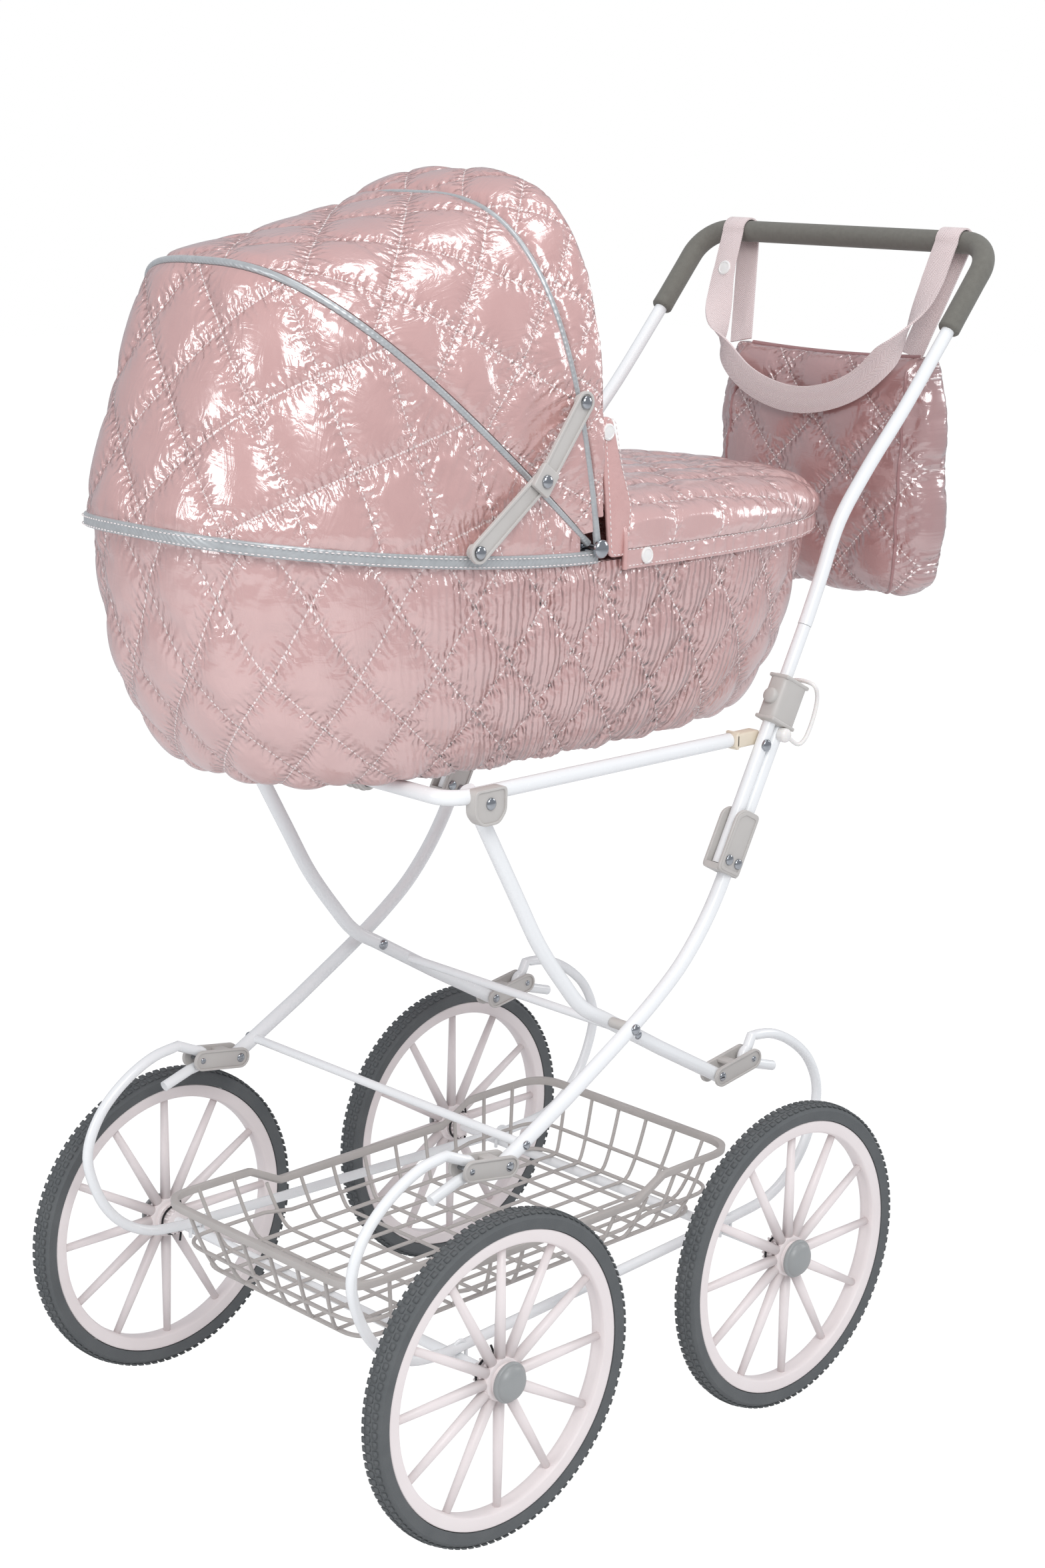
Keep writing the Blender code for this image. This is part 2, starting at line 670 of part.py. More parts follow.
# Springs: one C-shaped rod a side, hooked into a shackle at each end

SPRING_Z = WHEEL_Z + AXLE_RADIUS + SPRING_RADIUS + TOUCH_GAP


def spring_y(x):
    """The springs stand further apart at the front shackles than at the rear ones."""
    share = (x - REAR_HOOK[0]) / (FRONT_HOOK[0] - REAR_HOOK[0])
    return REAR_LEG_Y + (SIDE_Y - REAR_LEG_Y) * min(1.0, max(0.0, share))


def hook_end(hook, outward):
    """The rod's end: in from the outside, round the hook, and out again as a short stub."""
    reach, drop = HOOK_STUB
    neck, neck_drop = HOOK_NECK
    stub = [(hook[0] + outward * reach, hook[1] - drop),
            (hook[0] + outward * neck, hook[1] - HOOK_RADIUS - neck_drop)]
    turn = []
    for k in range(HOOK_STEPS + 1):
        angle = -math.pi / 2 - math.pi * k / HOOK_STEPS
        turn.append((hook[0] + outward * HOOK_RADIUS * math.cos(angle), hook[1] + HOOK_RADIUS * math.sin(angle)))
    return stub + turn


def spring_route():
    reach = WHEELBASE / 2 - FRONT_HOOK[0]
    bottom_front = (WHEELBASE / 2 + reach + SPRING_FLAT_FRONT, SPRING_Z)
    bottom_rear = (-WHEELBASE / 2 - SPRING_FLAT_REAR, SPRING_Z)
    rear = [(-x - SPRING_REAR_SHIFT, z) for x, z in reversed(SPRING_BOW)]
    start = hook_end(FRONT_HOOK, 1.0)
    end = hook_end(REAR_HOOK, -1.0)
    flat = smooth_route([(x, spring_y(x), z) for x, z in SPRING_BOW + [bottom_front]], SPRING_STEP)
    flat_rear = smooth_route([(x, spring_y(x), z) for x, z in [bottom_rear] + rear], SPRING_STEP)
    route = [Vector((x, spring_y(x), z)) for x, z in start]
    route += flat + flat_rear
    route += [Vector((x, spring_y(x), z)) for x, z in reversed(end)]
    return route


def add_springs():
    both_sides(tube("spring", spring_route(), SPRING_RADIUS, 1), "spring", "white_paint")


# Shackles

def shackle(name, bolt, hook, y, hook_pin):
    """A clevis: two plates, a web on top, the pin that the leg's end turns on, and one in the spring's hook."""
    gap = LEG_RADIUS + FOLD_GAP
    outer = gap + SHACKLE_PLATE
    outline = stadium(bolt, hook, SHACKLE_END_RADIUS, SHACKLE_END_RADIUS)
    shape = side_plate(name, outline, y - outer, y + outer)
    slot = block("slot", (bolt[0] - CUT_LENGTH, y - gap, bolt[1] - CUT_LENGTH),
                 (bolt[0] + CUT_LENGTH, y + gap, bolt[1] + CUT_LENGTH))
    combine(shape, slot, "DIFFERENCE")
    run = Vector(hook) - Vector(bolt)
    angle = math.atan2(run.y, run.x)
    lean = angle if run.x > 0 else angle - math.pi
    facing = 1.0 if run.x > 0 else -1.0
    web_ends = sorted((bolt[0] + facing * SHACKLE_WEB_FROM, bolt[0] + facing * SHACKLE_WEB_TO))
    bite = SHACKLE_PLATE / 2
    web = block("web", (web_ends[0], y - gap - bite, bolt[1] + SHACKLE_END_RADIUS - SHACKLE_PLATE),
                (web_ends[1], y + gap + bite, bolt[1] + SHACKLE_END_RADIUS - SHACKLE_WEB_INSET), lean, bolt)
    combine(shape, web, "UNION")
    combine(shape, pin("shackle_pin", (bolt[0], y, bolt[1]), SHACKLE_PIN_RADIUS, 2 * (gap + bite), steps=12), "UNION")
    if hook_pin:
        combine(shape, pin("hook_pin", (hook[0], y, hook[1]), HOOK_PIN_RADIUS, 2 * (gap + bite), steps=12), "UNION")
    return settled(shape)


def add_shackles():
    both_sides(shackle("front_shackle", FRONT_BOLT, FRONT_HOOK, SIDE_Y, False), "front_shackle", "grey_plastic",
               front_shackle_axis)
    both_sides(shackle("rear_shackle", REAR_BOLT, REAR_HOOK, REAR_LEG_Y, True), "rear_shackle", "grey_plastic",
               rear_shackle_axis)


# Legs

def beyond(before, end, distance):
    run = Vector(end) - Vector(before)
    return tuple(Vector(end) + run.normalized() * distance)


def pin_hole(bolt, y):
    return pin("pin_hole", (bolt[0], y, bolt[1]), SHACKLE_PIN_RADIUS + SHACKLE_PIN_CLEARANCE, 2 * CUT_MARGIN, steps=12)


def add_legs():
    top = on_pair(PAIR_LEG_TOP, 0.0, SIDE_Y)
    straight_end = on_pair(PAIR_LEG_BEND, 0.0, SIDE_Y)
    side = FRONT_LEG_BENDS + [LEG_CROSSING, FRONT_LEG_LOWER_BEND]
    knots = [straight_end] + [Vector((x, SIDE_Y, z)) for x, z in side]
    toe = beyond(side[-1], FRONT_BOLT, LEG_END_BEYOND_BOLT)
    route = [top] + smooth_route(knots, LEG_STEP) + [Vector((toe[0], SIDE_Y, toe[1]))]
    front = tube("front_leg", route, LEG_RADIUS)
    combine(front, pin_hole(FRONT_BOLT, SIDE_Y), "DIFFERENCE")
    x, z = LEG_CROSSING
    rear_inner = REAR_LEG_Y - LEG_RADIUS - TOUCH_GAP
    rear_outer = REAR_LEG_Y + LEG_RADIUS + TOUCH_GAP
    for name, low_y, high_y, radius in (("head", rear_inner - BOLT_HEAD_HEIGHT, rear_inner, BOLT_HEAD_RADIUS),
                                        ("shank", rear_inner - BOLT_HEAD_HEIGHT / 2, SIDE_Y, SHACKLE_PIN_RADIUS),
                                        ("spacer", rear_outer, SIDE_Y - LEG_RADIUS / 2, CROSSING_SPACER_RADIUS)):
        solid = pin("crossing_" + name, (x, (low_y + high_y) / 2, z), radius, high_y - low_y, steps=12)
        combine(front, solid, "UNION")
    both_sides(settled(front), "front_leg", "white_paint", crossing_axis)

    side = REAR_LEG_BENDS + [LEG_CROSSING, REAR_LEG_LOWER_BEND]
    knots = [Vector((x, REAR_LEG_Y, z)) for x, z in side]
    head = beyond(side[0], CARRIER_PIVOT, LEG_END_BEYOND_BOLT)
    toe = beyond(side[-1], REAR_BOLT, LEG_END_BEYOND_BOLT)
    route = [Vector((head[0], REAR_LEG_Y, head[1]))] + smooth_route(knots, LEG_STEP)
    route.append(Vector((toe[0], REAR_LEG_Y, toe[1])))
    rear = tube("rear_leg", route, LEG_RADIUS)
    combine(rear, pin_hole(REAR_BOLT, REAR_LEG_Y), "DIFFERENCE")
    combine(rear, pin_hole(LEG_CROSSING, REAR_LEG_Y), "DIFFERENCE")
    both_sides(settled(rear), "rear_leg", "white_paint", rear_leg_axis)


def add_cross_bars():
    """Thin rods that hold the two front legs, and the two rear legs, apart."""
    front_x = FRONT_CROSS_BAR_X
    share = (front_x - LEG_CROSSING[0]) / (FRONT_BOLT[0] - LEG_CROSSING[0])
    front_z = LEG_CROSSING[1] + (FRONT_BOLT[1] - LEG_CROSSING[1]) * share
    length = 2 * (SIDE_Y - LEG_RADIUS - TOUCH_GAP)
    finish(pin("front_cross_bar", (front_x, 0.0, front_z), CROSS_BAR_RADIUS, length, steps=10), "white_paint",
           crossing_axis)
    rear_x = REAR_CROSS_BAR_X
    share = (rear_x - LEG_CROSSING[0]) / (REAR_BOLT[0] - LEG_CROSSING[0])
    rear_z = LEG_CROSSING[1] + (REAR_BOLT[1] - LEG_CROSSING[1]) * share
    length = 2 * (REAR_LEG_Y - LEG_RADIUS - TOUCH_GAP)
    finish(pin("rear_cross_bar", (rear_x, 0.0, rear_z), CROSS_BAR_RADIUS, length, steps=10), "white_paint",
           rear_leg_axis)


def add_clamps():
    """The folded steel clamp on the front leg that the handle's lower tube turns in."""
    gap = LEG_RADIUS + FOLD_GAP
    outer = gap + CLAMP_PLATE
    back = -LEG_RADIUS - CLAMP_BACK
    front = PAIR_SPACING + LOWER_TUBE_RADIUS + CLAMP_FRONT
    shape = pair_block("clamp", (CLAMP_FROM, CLAMP_TO), (back, front), (SIDE_Y - outer, SIDE_Y + outer))
    floor = -LOWER_TUBE_RADIUS - FOLD_GAP
    slot = pair_block("clamp_slot", (floor, CLAMP_TO + CUT_MARGIN), (back - CUT_MARGIN, front + CUT_MARGIN),
                      (SIDE_Y - gap, SIDE_Y + gap))
    leg_room = pair_block("clamp_leg_room", (CLAMP_FROM - CUT_MARGIN, CLAMP_TO),
                          (back - CUT_MARGIN, LEG_RADIUS + CLAMP_LEG_ROOM), (SIDE_Y - gap, SIDE_Y + gap))
    combine(shape, slot, "DIFFERENCE")
    combine(shape, leg_room, "DIFFERENCE")
    handle_pin = pin("handle_pin", (CLAMP_PIVOT.x, SIDE_Y, CLAMP_PIVOT.z), SHACKLE_PIN_RADIUS,
                     2 * (gap + CLAMP_PLATE / 2), steps=12)
    combine(shape, handle_pin, "UNION")
    both_sides(settled(shape), "handle_clamp", "grey_plastic", crossing_axis, 20.0)


# Handle

def add_handle():
    foot = on_pair(0.0, PAIR_SPACING, SIDE_Y)
    straight = [on_pair(PAIR_JOINT, PAIR_SPACING, SIDE_Y), on_pair(PAIR_JOINT + HANDLE_FOOT, PAIR_SPACING, SIDE_Y)]
    below_joint = on_pair(PAIR_JOINT - TOUCH_GAP, PAIR_SPACING, SIDE_Y)
    lower = tube("lower_tube", [foot, below_joint], LOWER_TUBE_RADIUS)
    combine(lower, pin("round_foot", foot, LOWER_TUBE_RADIUS, 2 * LOWER_TUBE_RADIUS - TOUCH_GAP), "UNION")
    combine(lower, pin_hole((foot.x, foot.z), SIDE_Y), "DIFFERENCE")
    combine(lower, pin_hole((HANDLE_PIVOT.x, HANDLE_PIVOT.z), SIDE_Y), "DIFFERENCE")
    both_sides(settled(lower), "handle_lower_tube", "white_paint", handle_axis)

    grip_from = Vector((GRIP_FROM[0], SIDE_Y, GRIP_FROM[1]))
    corner = Vector((HANDLE_CORNER[0], SIDE_Y, HANDLE_CORNER[1]))
    middle = Vector((HANDLE_CORNER[0], 0.0, HANDLE_CORNER[1]))
    bend = corner_arc(grip_from, corner, middle, HANDLE_CORNER_RADIUS, 8)
    knots = straight[-1:] + [Vector((x, SIDE_Y, z)) for x, z in HANDLE_BEND]
    left = straight[:1] + smooth_route(knots, HANDLE_STEP) + bend
    right = [Vector((p.x, -p.y, p.z)) for p in reversed(left)]
    finish(tube("handle_tube", left + right, HANDLE_RADIUS), "white_paint", handle_axis)

    inner = HANDLE_RADIUS + TOUCH_GAP
    outside = [grip_from] + bend
    outside += [Vector((p.x, -p.y, p.z)) for p in reversed(outside)]
    grip = tube("handle_grip", outside, GRIP_RADIUS, 3)
    first = beyond(outside[1], outside[0], CUT_MARGIN)
    last = beyond(outside[-2], outside[-1], CUT_MARGIN)
    bore = tube("grip_bore", [Vector(first)] + outside + [Vector(last)], inner, 2)
    combine(grip, bore, "DIFFERENCE")
    finish(settled(grip), "grip_foam", handle_axis)


def add_sleeves():
    """The lock sleeve slides on the handle's lower tube and covers the leg's top from the front."""
    half = SLEEVE_WIDTH / 2
    tube_room = LOWER_TUBE_RADIUS + SLEEVE_CLEARANCE
    leg_room = LEG_RADIUS + SLEEVE_CLEARANCE
    back = -LEG_RADIUS - SLEEVE_WALL
    front = PAIR_SPACING + LOWER_TUBE_RADIUS + SLEEVE_WALL
    shape = pair_block("sleeve", (SLEEVE_FROM, SLEEVE_TO), (back, front), (SIDE_Y - half, SIDE_Y + half))
    edge = shape.modifiers.new("round", "BEVEL")
    edge.width = SLEEVE_EDGE
    edge.segments = 2
    bore = tube("sleeve_bore", [on_pair(SLEEVE_FROM - CUT_MARGIN, PAIR_SPACING, SIDE_Y),
                                on_pair(SLEEVE_TO + CUT_MARGIN, PAIR_SPACING, SIDE_Y)], tube_room)
    leg_top = PAIR_LEG_TOP + SLEEVE_ABOVE_LEG
    channel = pair_block("sleeve_channel", (SLEEVE_FROM - CUT_MARGIN, leg_top), (back - CUT_MARGIN, 0.0),
                         (SIDE_Y - leg_room, SIDE_Y + leg_room))
    round_channel = tube("sleeve_leg_room", [on_pair(SLEEVE_FROM - CUT_MARGIN, 0.0, SIDE_Y),
                                             on_pair(leg_top, 0.0, SIDE_Y)], leg_room)
    combine(shape, bore, "DIFFERENCE")
    combine(shape, round_channel, "DIFFERENCE")
    combine(shape, channel, "DIFFERENCE")
    both_sides(settled(shape), "lock_sleeve", "grey_plastic", handle_axis)


def add_bails():
    """The white bail: two bosses beside the leg's top and a loop behind the sleeve."""
    arm_y = SLEEVE_WIDTH / 2 + BAIL_WIRE_RADIUS + BAIL_CLEARANCE
    boss_from = LEG_RADIUS + FOLD_GAP
    back = -LEG_RADIUS - SLEEVE_WALL - BAIL_WIRE_RADIUS - BAIL_BEHIND
    side = [(PAIR_BAIL, 0.0), (PAIR_BAIL - BAIL_DIP[0], -BAIL_DIP[1]), (PAIR_BAIL + BAIL_BACK[0], -BAIL_BACK[1]),
            (SLEEVE_TO - BAIL_TOP[0], -BAIL_TOP[1]), (SLEEVE_TO + BAIL_OVER, back)]
    left = [on_pair(along, across, SIDE_Y + arm_y) for along, across in side]
    right = [on_pair(along, across, SIDE_Y - arm_y) for along, across in reversed(side)]
    shape = tube("bail", left + right, BAIL_WIRE_RADIUS, 1)
    centre = on_pair(PAIR_BAIL, 0.0, SIDE_Y)
    for sign in (1, -1):
        boss = pin("boss", (centre.x, SIDE_Y + sign * (boss_from + arm_y + BAIL_WIRE_RADIUS) / 2, centre.z),
                   BAIL_BOSS_RADIUS, arm_y + BAIL_WIRE_RADIUS - boss_from, steps=12)
        combine(shape, boss, "UNION")
    both_sides(settled(shape), "lock_bail", "white_plastic", crossing_axis)


# Carrier

def add_carrier():
    side = Vector((CARRIER_FRONT_X, CARRIER_Y, CARRIER_Z))
    rear = Vector((CARRIER_REAR_X, CARRIER_Y, CARRIER_Z))
    middle = Vector((CARRIER_FRONT_X, 0.0, CARRIER_Z))
    bend = corner_arc(rear, side, middle, CARRIER_CORNER_RADIUS, 5)
    left = [rear] + bend
    right = [Vector((p.x, -p.y, p.z)) for p in reversed(left)]
    finish(tube("carrier_frame", left + right, CARRIER_RADIUS), "white_paint", carrier_axis)

    low_y = CARRIER_Y - CARRIER_RADIUS * PLUG_INNER_SHARE
    high_y = SIDE_Y - LOWER_TUBE_RADIUS - FOLD_GAP
    front = CARRIER_REAR_X - TOUCH_GAP
    plug = block("plug", (front - PLUG_LENGTH, low_y, CARRIER_Z - PLUG_HEIGHT / 2),
                 (front, high_y, CARRIER_Z + PLUG_HEIGHT / 2))
    plug_pin = pin("plug_pin", (HANDLE_PIVOT.x, (low_y + SIDE_Y) / 2, HANDLE_PIVOT.z), SHACKLE_PIN_RADIUS,
                   SIDE_Y - low_y - TOUCH_GAP, steps=12)
    combine(plug, plug_pin, "UNION")
    both_sides(settled(plug), "carrier_plug", "beige_plastic", carrier_axis, 20.0)

    x, z = CARRIER_PIVOT
    high_y = CARRIER_Y + CARRIER_RADIUS + BRACKET_SIDE
    shape = block("bracket", (x - BRACKET_LENGTH / 2, CARRIER_Y, CARRIER_Z - BRACKET_HEIGHT + CARRIER_RADIUS),
                  (x + BRACKET_LENGTH / 2, high_y, CARRIER_Z + CARRIER_RADIUS))
    edge = shape.modifiers.new("round", "BEVEL")
    edge.width = BRACKET_EDGE
    edge.segments = 2
    bore = pin("bracket_bore", (x, CARRIER_Y, CARRIER_Z), CARRIER_RADIUS + TOUCH_GAP, CUT_LENGTH, "X")
    combine(shape, bore, "DIFFERENCE")
    both_sides(settled(shape), "carrier_bracket", "grey_plastic", carrier_axis)


def add_latch():
    """The clip under the carrycot that hooks over the carrier's front run."""
    gap = CARRIER_RADIUS + FOLD_GAP
    x = CARRIER_FRONT_X
    hook = []
    for k in range(LATCH_STEPS + 1):
        angle = LATCH_FROM + math.pi * k / LATCH_STEPS
        hook.append((x + gap * math.cos(angle), CARRIER_Z + gap * math.sin(angle)))
    for k in range(LATCH_STEPS, -1, -1):
        angle = LATCH_FROM + math.pi * k / LATCH_STEPS
        hook.append((x + (gap + LATCH_PLATE) * math.cos(angle), CARRIER_Z + (gap + LATCH_PLATE) * math.sin(angle)))
    shape = side_plate("carrycot_latch", hook, LATCH_Y - LATCH_LENGTH / 2, LATCH_Y + LATCH_LENGTH / 2)
    finish(shape, "grey_plastic", carrier_axis)


# Carrycot

TUB_FLOOR_Z = CARRIER_Z + CARRIER_RADIUS + TOUCH_GAP


def trim_rise(x):
    """How far the trim and the tub's rim rise from the hood pivots towards the nose."""
    return TRIM_RISE * max(0.0, (x - HOOD_PIVOT[0]) / TRIM_HALF_LENGTH) ** TRIM_RISE_POWER


def rim_z(x):
    return RIM_REAR_Z + trim_rise(x)


def plan_point(angle, centre_x, half_length, half_width, shape):
    """A point of a rounded plan outline at an angle from +X."""
    c = math.cos(angle)
    s = math.sin(angle)
    x = math.copysign(abs(c) ** (2 / shape), c) * half_length
    y = math.copysign(abs(s) ** (2 / shape), s) * half_width
    return centre_x + x, y


def loft(name, rings, closed=True, bottom=None, top=None):
    """A surface through rings of points, closed below or above with a fan where a point is given."""
    surface = bmesh.new()
    rows = [[surface.verts.new(p) for p in ring] for ring in rings]
    for low, high in zip(rows, rows[1:]):
        count = len(low)
        for k in range(count if closed else count - 1):
            surface.faces.new((low[k], low[(k + 1) % count], high[(k + 1) % count], high[k]))
    for row, place, up in ((rows[0], bottom, False), (rows[-1], top, True)):
        if place is None:
            continue
        hub = surface.verts.new(place)
        count = len(row)
        for k in range(count if closed else count - 1):
            a, b = row[k], row[(k + 1) % count]
            surface.faces.new((a, b, hub) if up else (b, a, hub))
    return mesh_object(name, surface)


def tub_ring(height_share, low_height, half_length, half_width):
    ring = []
    for k in range(TUB_POINTS):
        angle = math.tau * k / TUB_POINTS
        x, y = plan_point(angle, TUB_CENTRE_X, half_length, half_width, TUB_SHAPE)
        z = TUB_FLOOR_Z + low_height
        if height_share >= 1.0:
            z = rim_z(x)
        ring.append((x, y, z))
    return ring


def thicken(shape, thickness, offset):
    wall = shape.modifiers.new("wall", "SOLIDIFY")
    wall.thickness = thickness
    wall.offset = offset
    wall.use_even_offset = True
    wall.use_quality_normals = True
    return shape


def add_tub():
    rings = [tub_ring(height, height, length, width) for height, length, width in TUB_LEVELS]
    shape = loft("carrycot_tub", rings, bottom=(TUB_CENTRE_X, 0.0, TUB_FLOOR_Z))
    thicken(shape, TUB_WALL, -1.0)
    finish(shape, "pink_quilt", carrier_axis)

    floor = TUB_FLOOR_Z + TUB_WALL + TOUCH_GAP
    inset = TUB_WALL + MATTRESS_INSET
    rings = []
    for low_height, draw_in in ((0.0, MATTRESS_EDGE), (MATTRESS_EDGE, 0.0), (MATTRESS_THICKNESS - MATTRESS_EDGE, 0.0),
                                (MATTRESS_THICKNESS, MATTRESS_EDGE)):
        half_length = TUB_LEVELS[0][1] - inset - draw_in
        half_width = TUB_LEVELS[0][2] - inset - draw_in
        ring = [plan_point(math.tau * k / MATTRESS_POINTS, TUB_CENTRE_X, half_length, half_width, TUB_SHAPE)
                for k in range(MATTRESS_POINTS)]
        rings.append([(x, y, floor + low_height) for x, y in ring])
    mattress = loft("mattress", rings, bottom=(TUB_CENTRE_X, 0.0, floor),
                    top=(TUB_CENTRE_X, 0.0, floor + MATTRESS_THICKNESS))
    finish(mattress, "mattress_cloth", carrier_axis)


def add_apron():
    """The padded apron: a half dome over the foot end, open towards the hood."""
    rise = APRON_TOP_Z - APRON_HEM_Z
    rings = []
    for share, height in APRON_LEVELS:
        ring = []
        for k in range(APRON_POINTS + 1):
            angle = math.pi / 2 + math.pi * k / APRON_POINTS
            x, y = plan_point(angle, 0.0, APRON_HALF_LENGTH * share, APRON_HALF_WIDTH * share, TUB_SHAPE)
            ring.append((APRON_FRONT_X + x, y, APRON_HEM_Z + rise * height))
        rings.append(ring)
    shape = loft("apron", rings, closed=False, top=(APRON_FRONT_X, 0.0, APRON_TOP_Z))
    thicken(shape, APRON_WALL, -1.0)
    outer = APRON_HALF_WIDTH - TOUCH_GAP
    inner = APRON_HALF_WIDTH - APRON_WALL + TOUCH_GAP
    combine(shape, side_plate("left_ear", EAR_OUTLINE, inner, outer), "UNION")
    combine(shape, side_plate("right_ear", EAR_OUTLINE, -outer, -inner), "UNION")
    finish(settled(shape), "pink_quilt", carrier_axis)


# Hood

def arch_point(arch, share):
    """A point of an arch over the hood pivots: share runs from 0 at the left foot to 1 at the right."""
    angle, reach, half_width = arch
    c = math.cos(math.pi * share)
    s = math.sin(math.pi * share)
    y = math.copysign(abs(c) ** (2 / ARCH_SHAPE), c) * half_width
    r = abs(s) ** (2 / ARCH_SHAPE) * reach
    return Vector((HOOD_PIVOT[0] + r * math.cos(angle), y, HOOD_PIVOT[1] + r * math.sin(angle)))


def route_over(line, reach, foot_reach):
    """A line's points from one side to the other, starting and ending at a reach from the pivots."""
    foot = math.asin((foot_reach / reach) ** (ARCH_SHAPE / 2)) / math.pi
    shares = [foot] + [k / (ARCH_POINTS - 1) for k in range(1, ARCH_POINTS - 1)] + [1 - foot]
    return [line(share) for share in shares]


def trim_point(share):
    """A point of the trim: share runs from 0 beside the left hood pivot to 1 beside the right one."""
    c = math.cos(math.pi * share)
    s = math.sin(math.pi * share)
    x = HOOD_PIVOT[0] + abs(s) ** (2 / TUB_SHAPE) * TRIM_HALF_LENGTH
    y = math.copysign(abs(c) ** (2 / TUB_SHAPE), c) * TRIM_HALF_WIDTH
    return Vector((x, y, rim_z(x) + TRIM_RADIUS + TRIM_GAP))


def around_pivot(point):
    """A point as its angle and reach about the hood pivots, and its y."""
    x = point.x - HOOD_PIVOT[0]
    z = point.z - HOOD_PIVOT[1]
    return math.atan2(z, x), math.hypot(x, z), point.y


def hood_panel(name, first_line, second_line, clear_first, clear_second, bulge, steps):
    """The fabric between two lines over the tub, as a thin shell that stops clear of them."""
    rings = [[] for _ in range(steps + 1)]
    for k in range(ARCH_POINTS):
        share = PANEL_FOOT + (1 - 2 * PANEL_FOOT) * k / (ARCH_POINTS - 1)
        first = first_line(share)
        second = second_line(share)
        gap = (second - first).length
        start = clear_first / gap
        end = 1.0 - clear_second / gap
        a = around_pivot(first)
        b = around_pivot(second)
        for step, ring in enumerate(rings):
            t = start + (end - start) * step / steps
            angle, reach, y = (p + (q - p) * t for p, q in zip(a, b))
            reach += bulge * math.sin(math.pi * t) * math.sin(math.pi * share)
            ring.append((HOOD_PIVOT[0] + reach * math.cos(angle), y, HOOD_PIVOT[1] + reach * math.sin(angle)))
    shape = loft(name, rings, closed=False)
    return thicken(shape, HOOD_WALL, 0.0)


def add_hood():
    def front_bow(share):
        return arch_point(FRONT_BOW_ARCH, share)

    def rear_bow(share):
        return arch_point(REAR_BOW_ARCH, share)

    def visor_edge(share):
        return arch_point(VISOR_ARCH, share)

    by_bow = BOW_RADIUS + PANEL_CLEARANCE
    by_trim = TRIM_RADIUS + PANEL_CLEARANCE * 2
    back = hood_panel("hood_back_panel", trim_point, front_bow, by_trim, by_bow, BACK_BULGE, 4)
    top = hood_panel("hood_top_panel", front_bow, rear_bow, by_bow, by_bow, TOP_BULGE, 4)
    visor = hood_panel("hood_visor", rear_bow, visor_edge, by_bow, 0.0, VISOR_BULGE, 2)
    for shape in (back, top, visor):
        finish(shape, "pink_quilt", hood_axis)
    foot = PIVOT_SHANK_RADIUS + TOUCH_GAP
    for name, line, arch in (("hood_front_bow", front_bow, FRONT_BOW_ARCH), ("hood_rear_bow", rear_bow, REAR_BOW_ARCH)):
        finish(tube(name, route_over(line, arch[1], foot), BOW_RADIUS, 1), "silver_binding", hood_axis)
    head = route_over(trim_point, TRIM_HALF_LENGTH, PIVOT_SHANK_RADIUS)
    back = Vector((TRIM_BEHIND_PIVOT, 0.0, 0.0))
    route = [head[0] - back] + head + [head[-1] - back]
    finish(tube("hood_trim", route, TRIM_RADIUS, 1), "silver_binding", carrier_axis)


def add_hood_pivots():
    """A rivet a side: its head outside the bows' feet, and a plate inside the tub's wall."""
    x, z = HOOD_PIVOT
    head_y = REAR_BOW_ARCH[2] + BOW_RADIUS + TOUCH_GAP
    low_y = PIVOT_PLATE_Y
    plate = side_plate("pivot_plate", stadium((x, z - PIVOT_PLATE_DROP), (x, z), PIVOT_HEAD_RADIUS, PIVOT_HEAD_RADIUS),
                       low_y, low_y + PIVOT_PLATE_THICKNESS)
    for name, start, end, radius in (("head", head_y, head_y + PIVOT_HEAD_LENGTH, PIVOT_HEAD_RADIUS),
                                     ("shank", low_y + TOUCH_GAP, head_y + TOUCH_GAP, PIVOT_SHANK_RADIUS)):
        combine(plate, pin("pivot_" + name, (x, (start + end) / 2, z), radius, end - start, steps=12), "UNION")
    both_sides(settled(plate), "hood_pivot", "chrome", carrier_axis)


def side_y(bolt, reach, half_width):
    """How far out the side of an arch or of the trim stands at a bolt's distance from the hood pivots."""
    distance = math.hypot(bolt[0] - HOOD_PIVOT[0], bolt[1] - HOOD_PIVOT[1])
    s = (distance / reach) ** (ARCH_SHAPE / 2)
    return half_width * math.sqrt(1 - s * s) ** (2 / ARCH_SHAPE)


def stay_arm(name, bolt, seat_y, inner_y):
    """A flat arm from its bolt to the elbow, with a boss that reaches in to its seat."""
    outline = stadium(bolt, STAY_ELBOW, STAY_WIDTH / 2, STAY_WIDTH / 2 * STAY_TAPER)
    arm = side_plate(name, outline, inner_y, inner_y + STAY_THICKNESS)
    length = inner_y + STAY_THICKNESS / 2 - seat_y
    boss = pin("stay_boss", (bolt[0], seat_y + length / 2, bolt[1]), STAY_BOSS_RADIUS, length, steps=12)
    return settled(combine(arm, boss, "UNION"))


def add_stays():
    """The folding stays: a lower and an upper arm a side, one beside the other at the elbow."""
    seat = side_y(STAY_LOWER_BOLT, TRIM_HALF_LENGTH, TRIM_HALF_WIDTH) + TRIM_RADIUS + STAY_SEAT_GAP
    both_sides(stay_arm("stay_lower", STAY_LOWER_BOLT, seat, STAY_INNER_Y), "stay_lower_arm", "grey_plastic",
               carrier_axis, 20.0)
    seat = side_y(STAY_UPPER_BOLT, REAR_BOW_ARCH[1], REAR_BOW_ARCH[2]) + BOW_RADIUS + STAY_SEAT_GAP
    both_sides(stay_arm("stay_upper", STAY_UPPER_BOLT, seat, STAY_INNER_Y + STAY_THICKNESS + TOUCH_GAP),
               "stay_upper_arm", "grey_plastic", hood_axis, 20.0)


# Basket

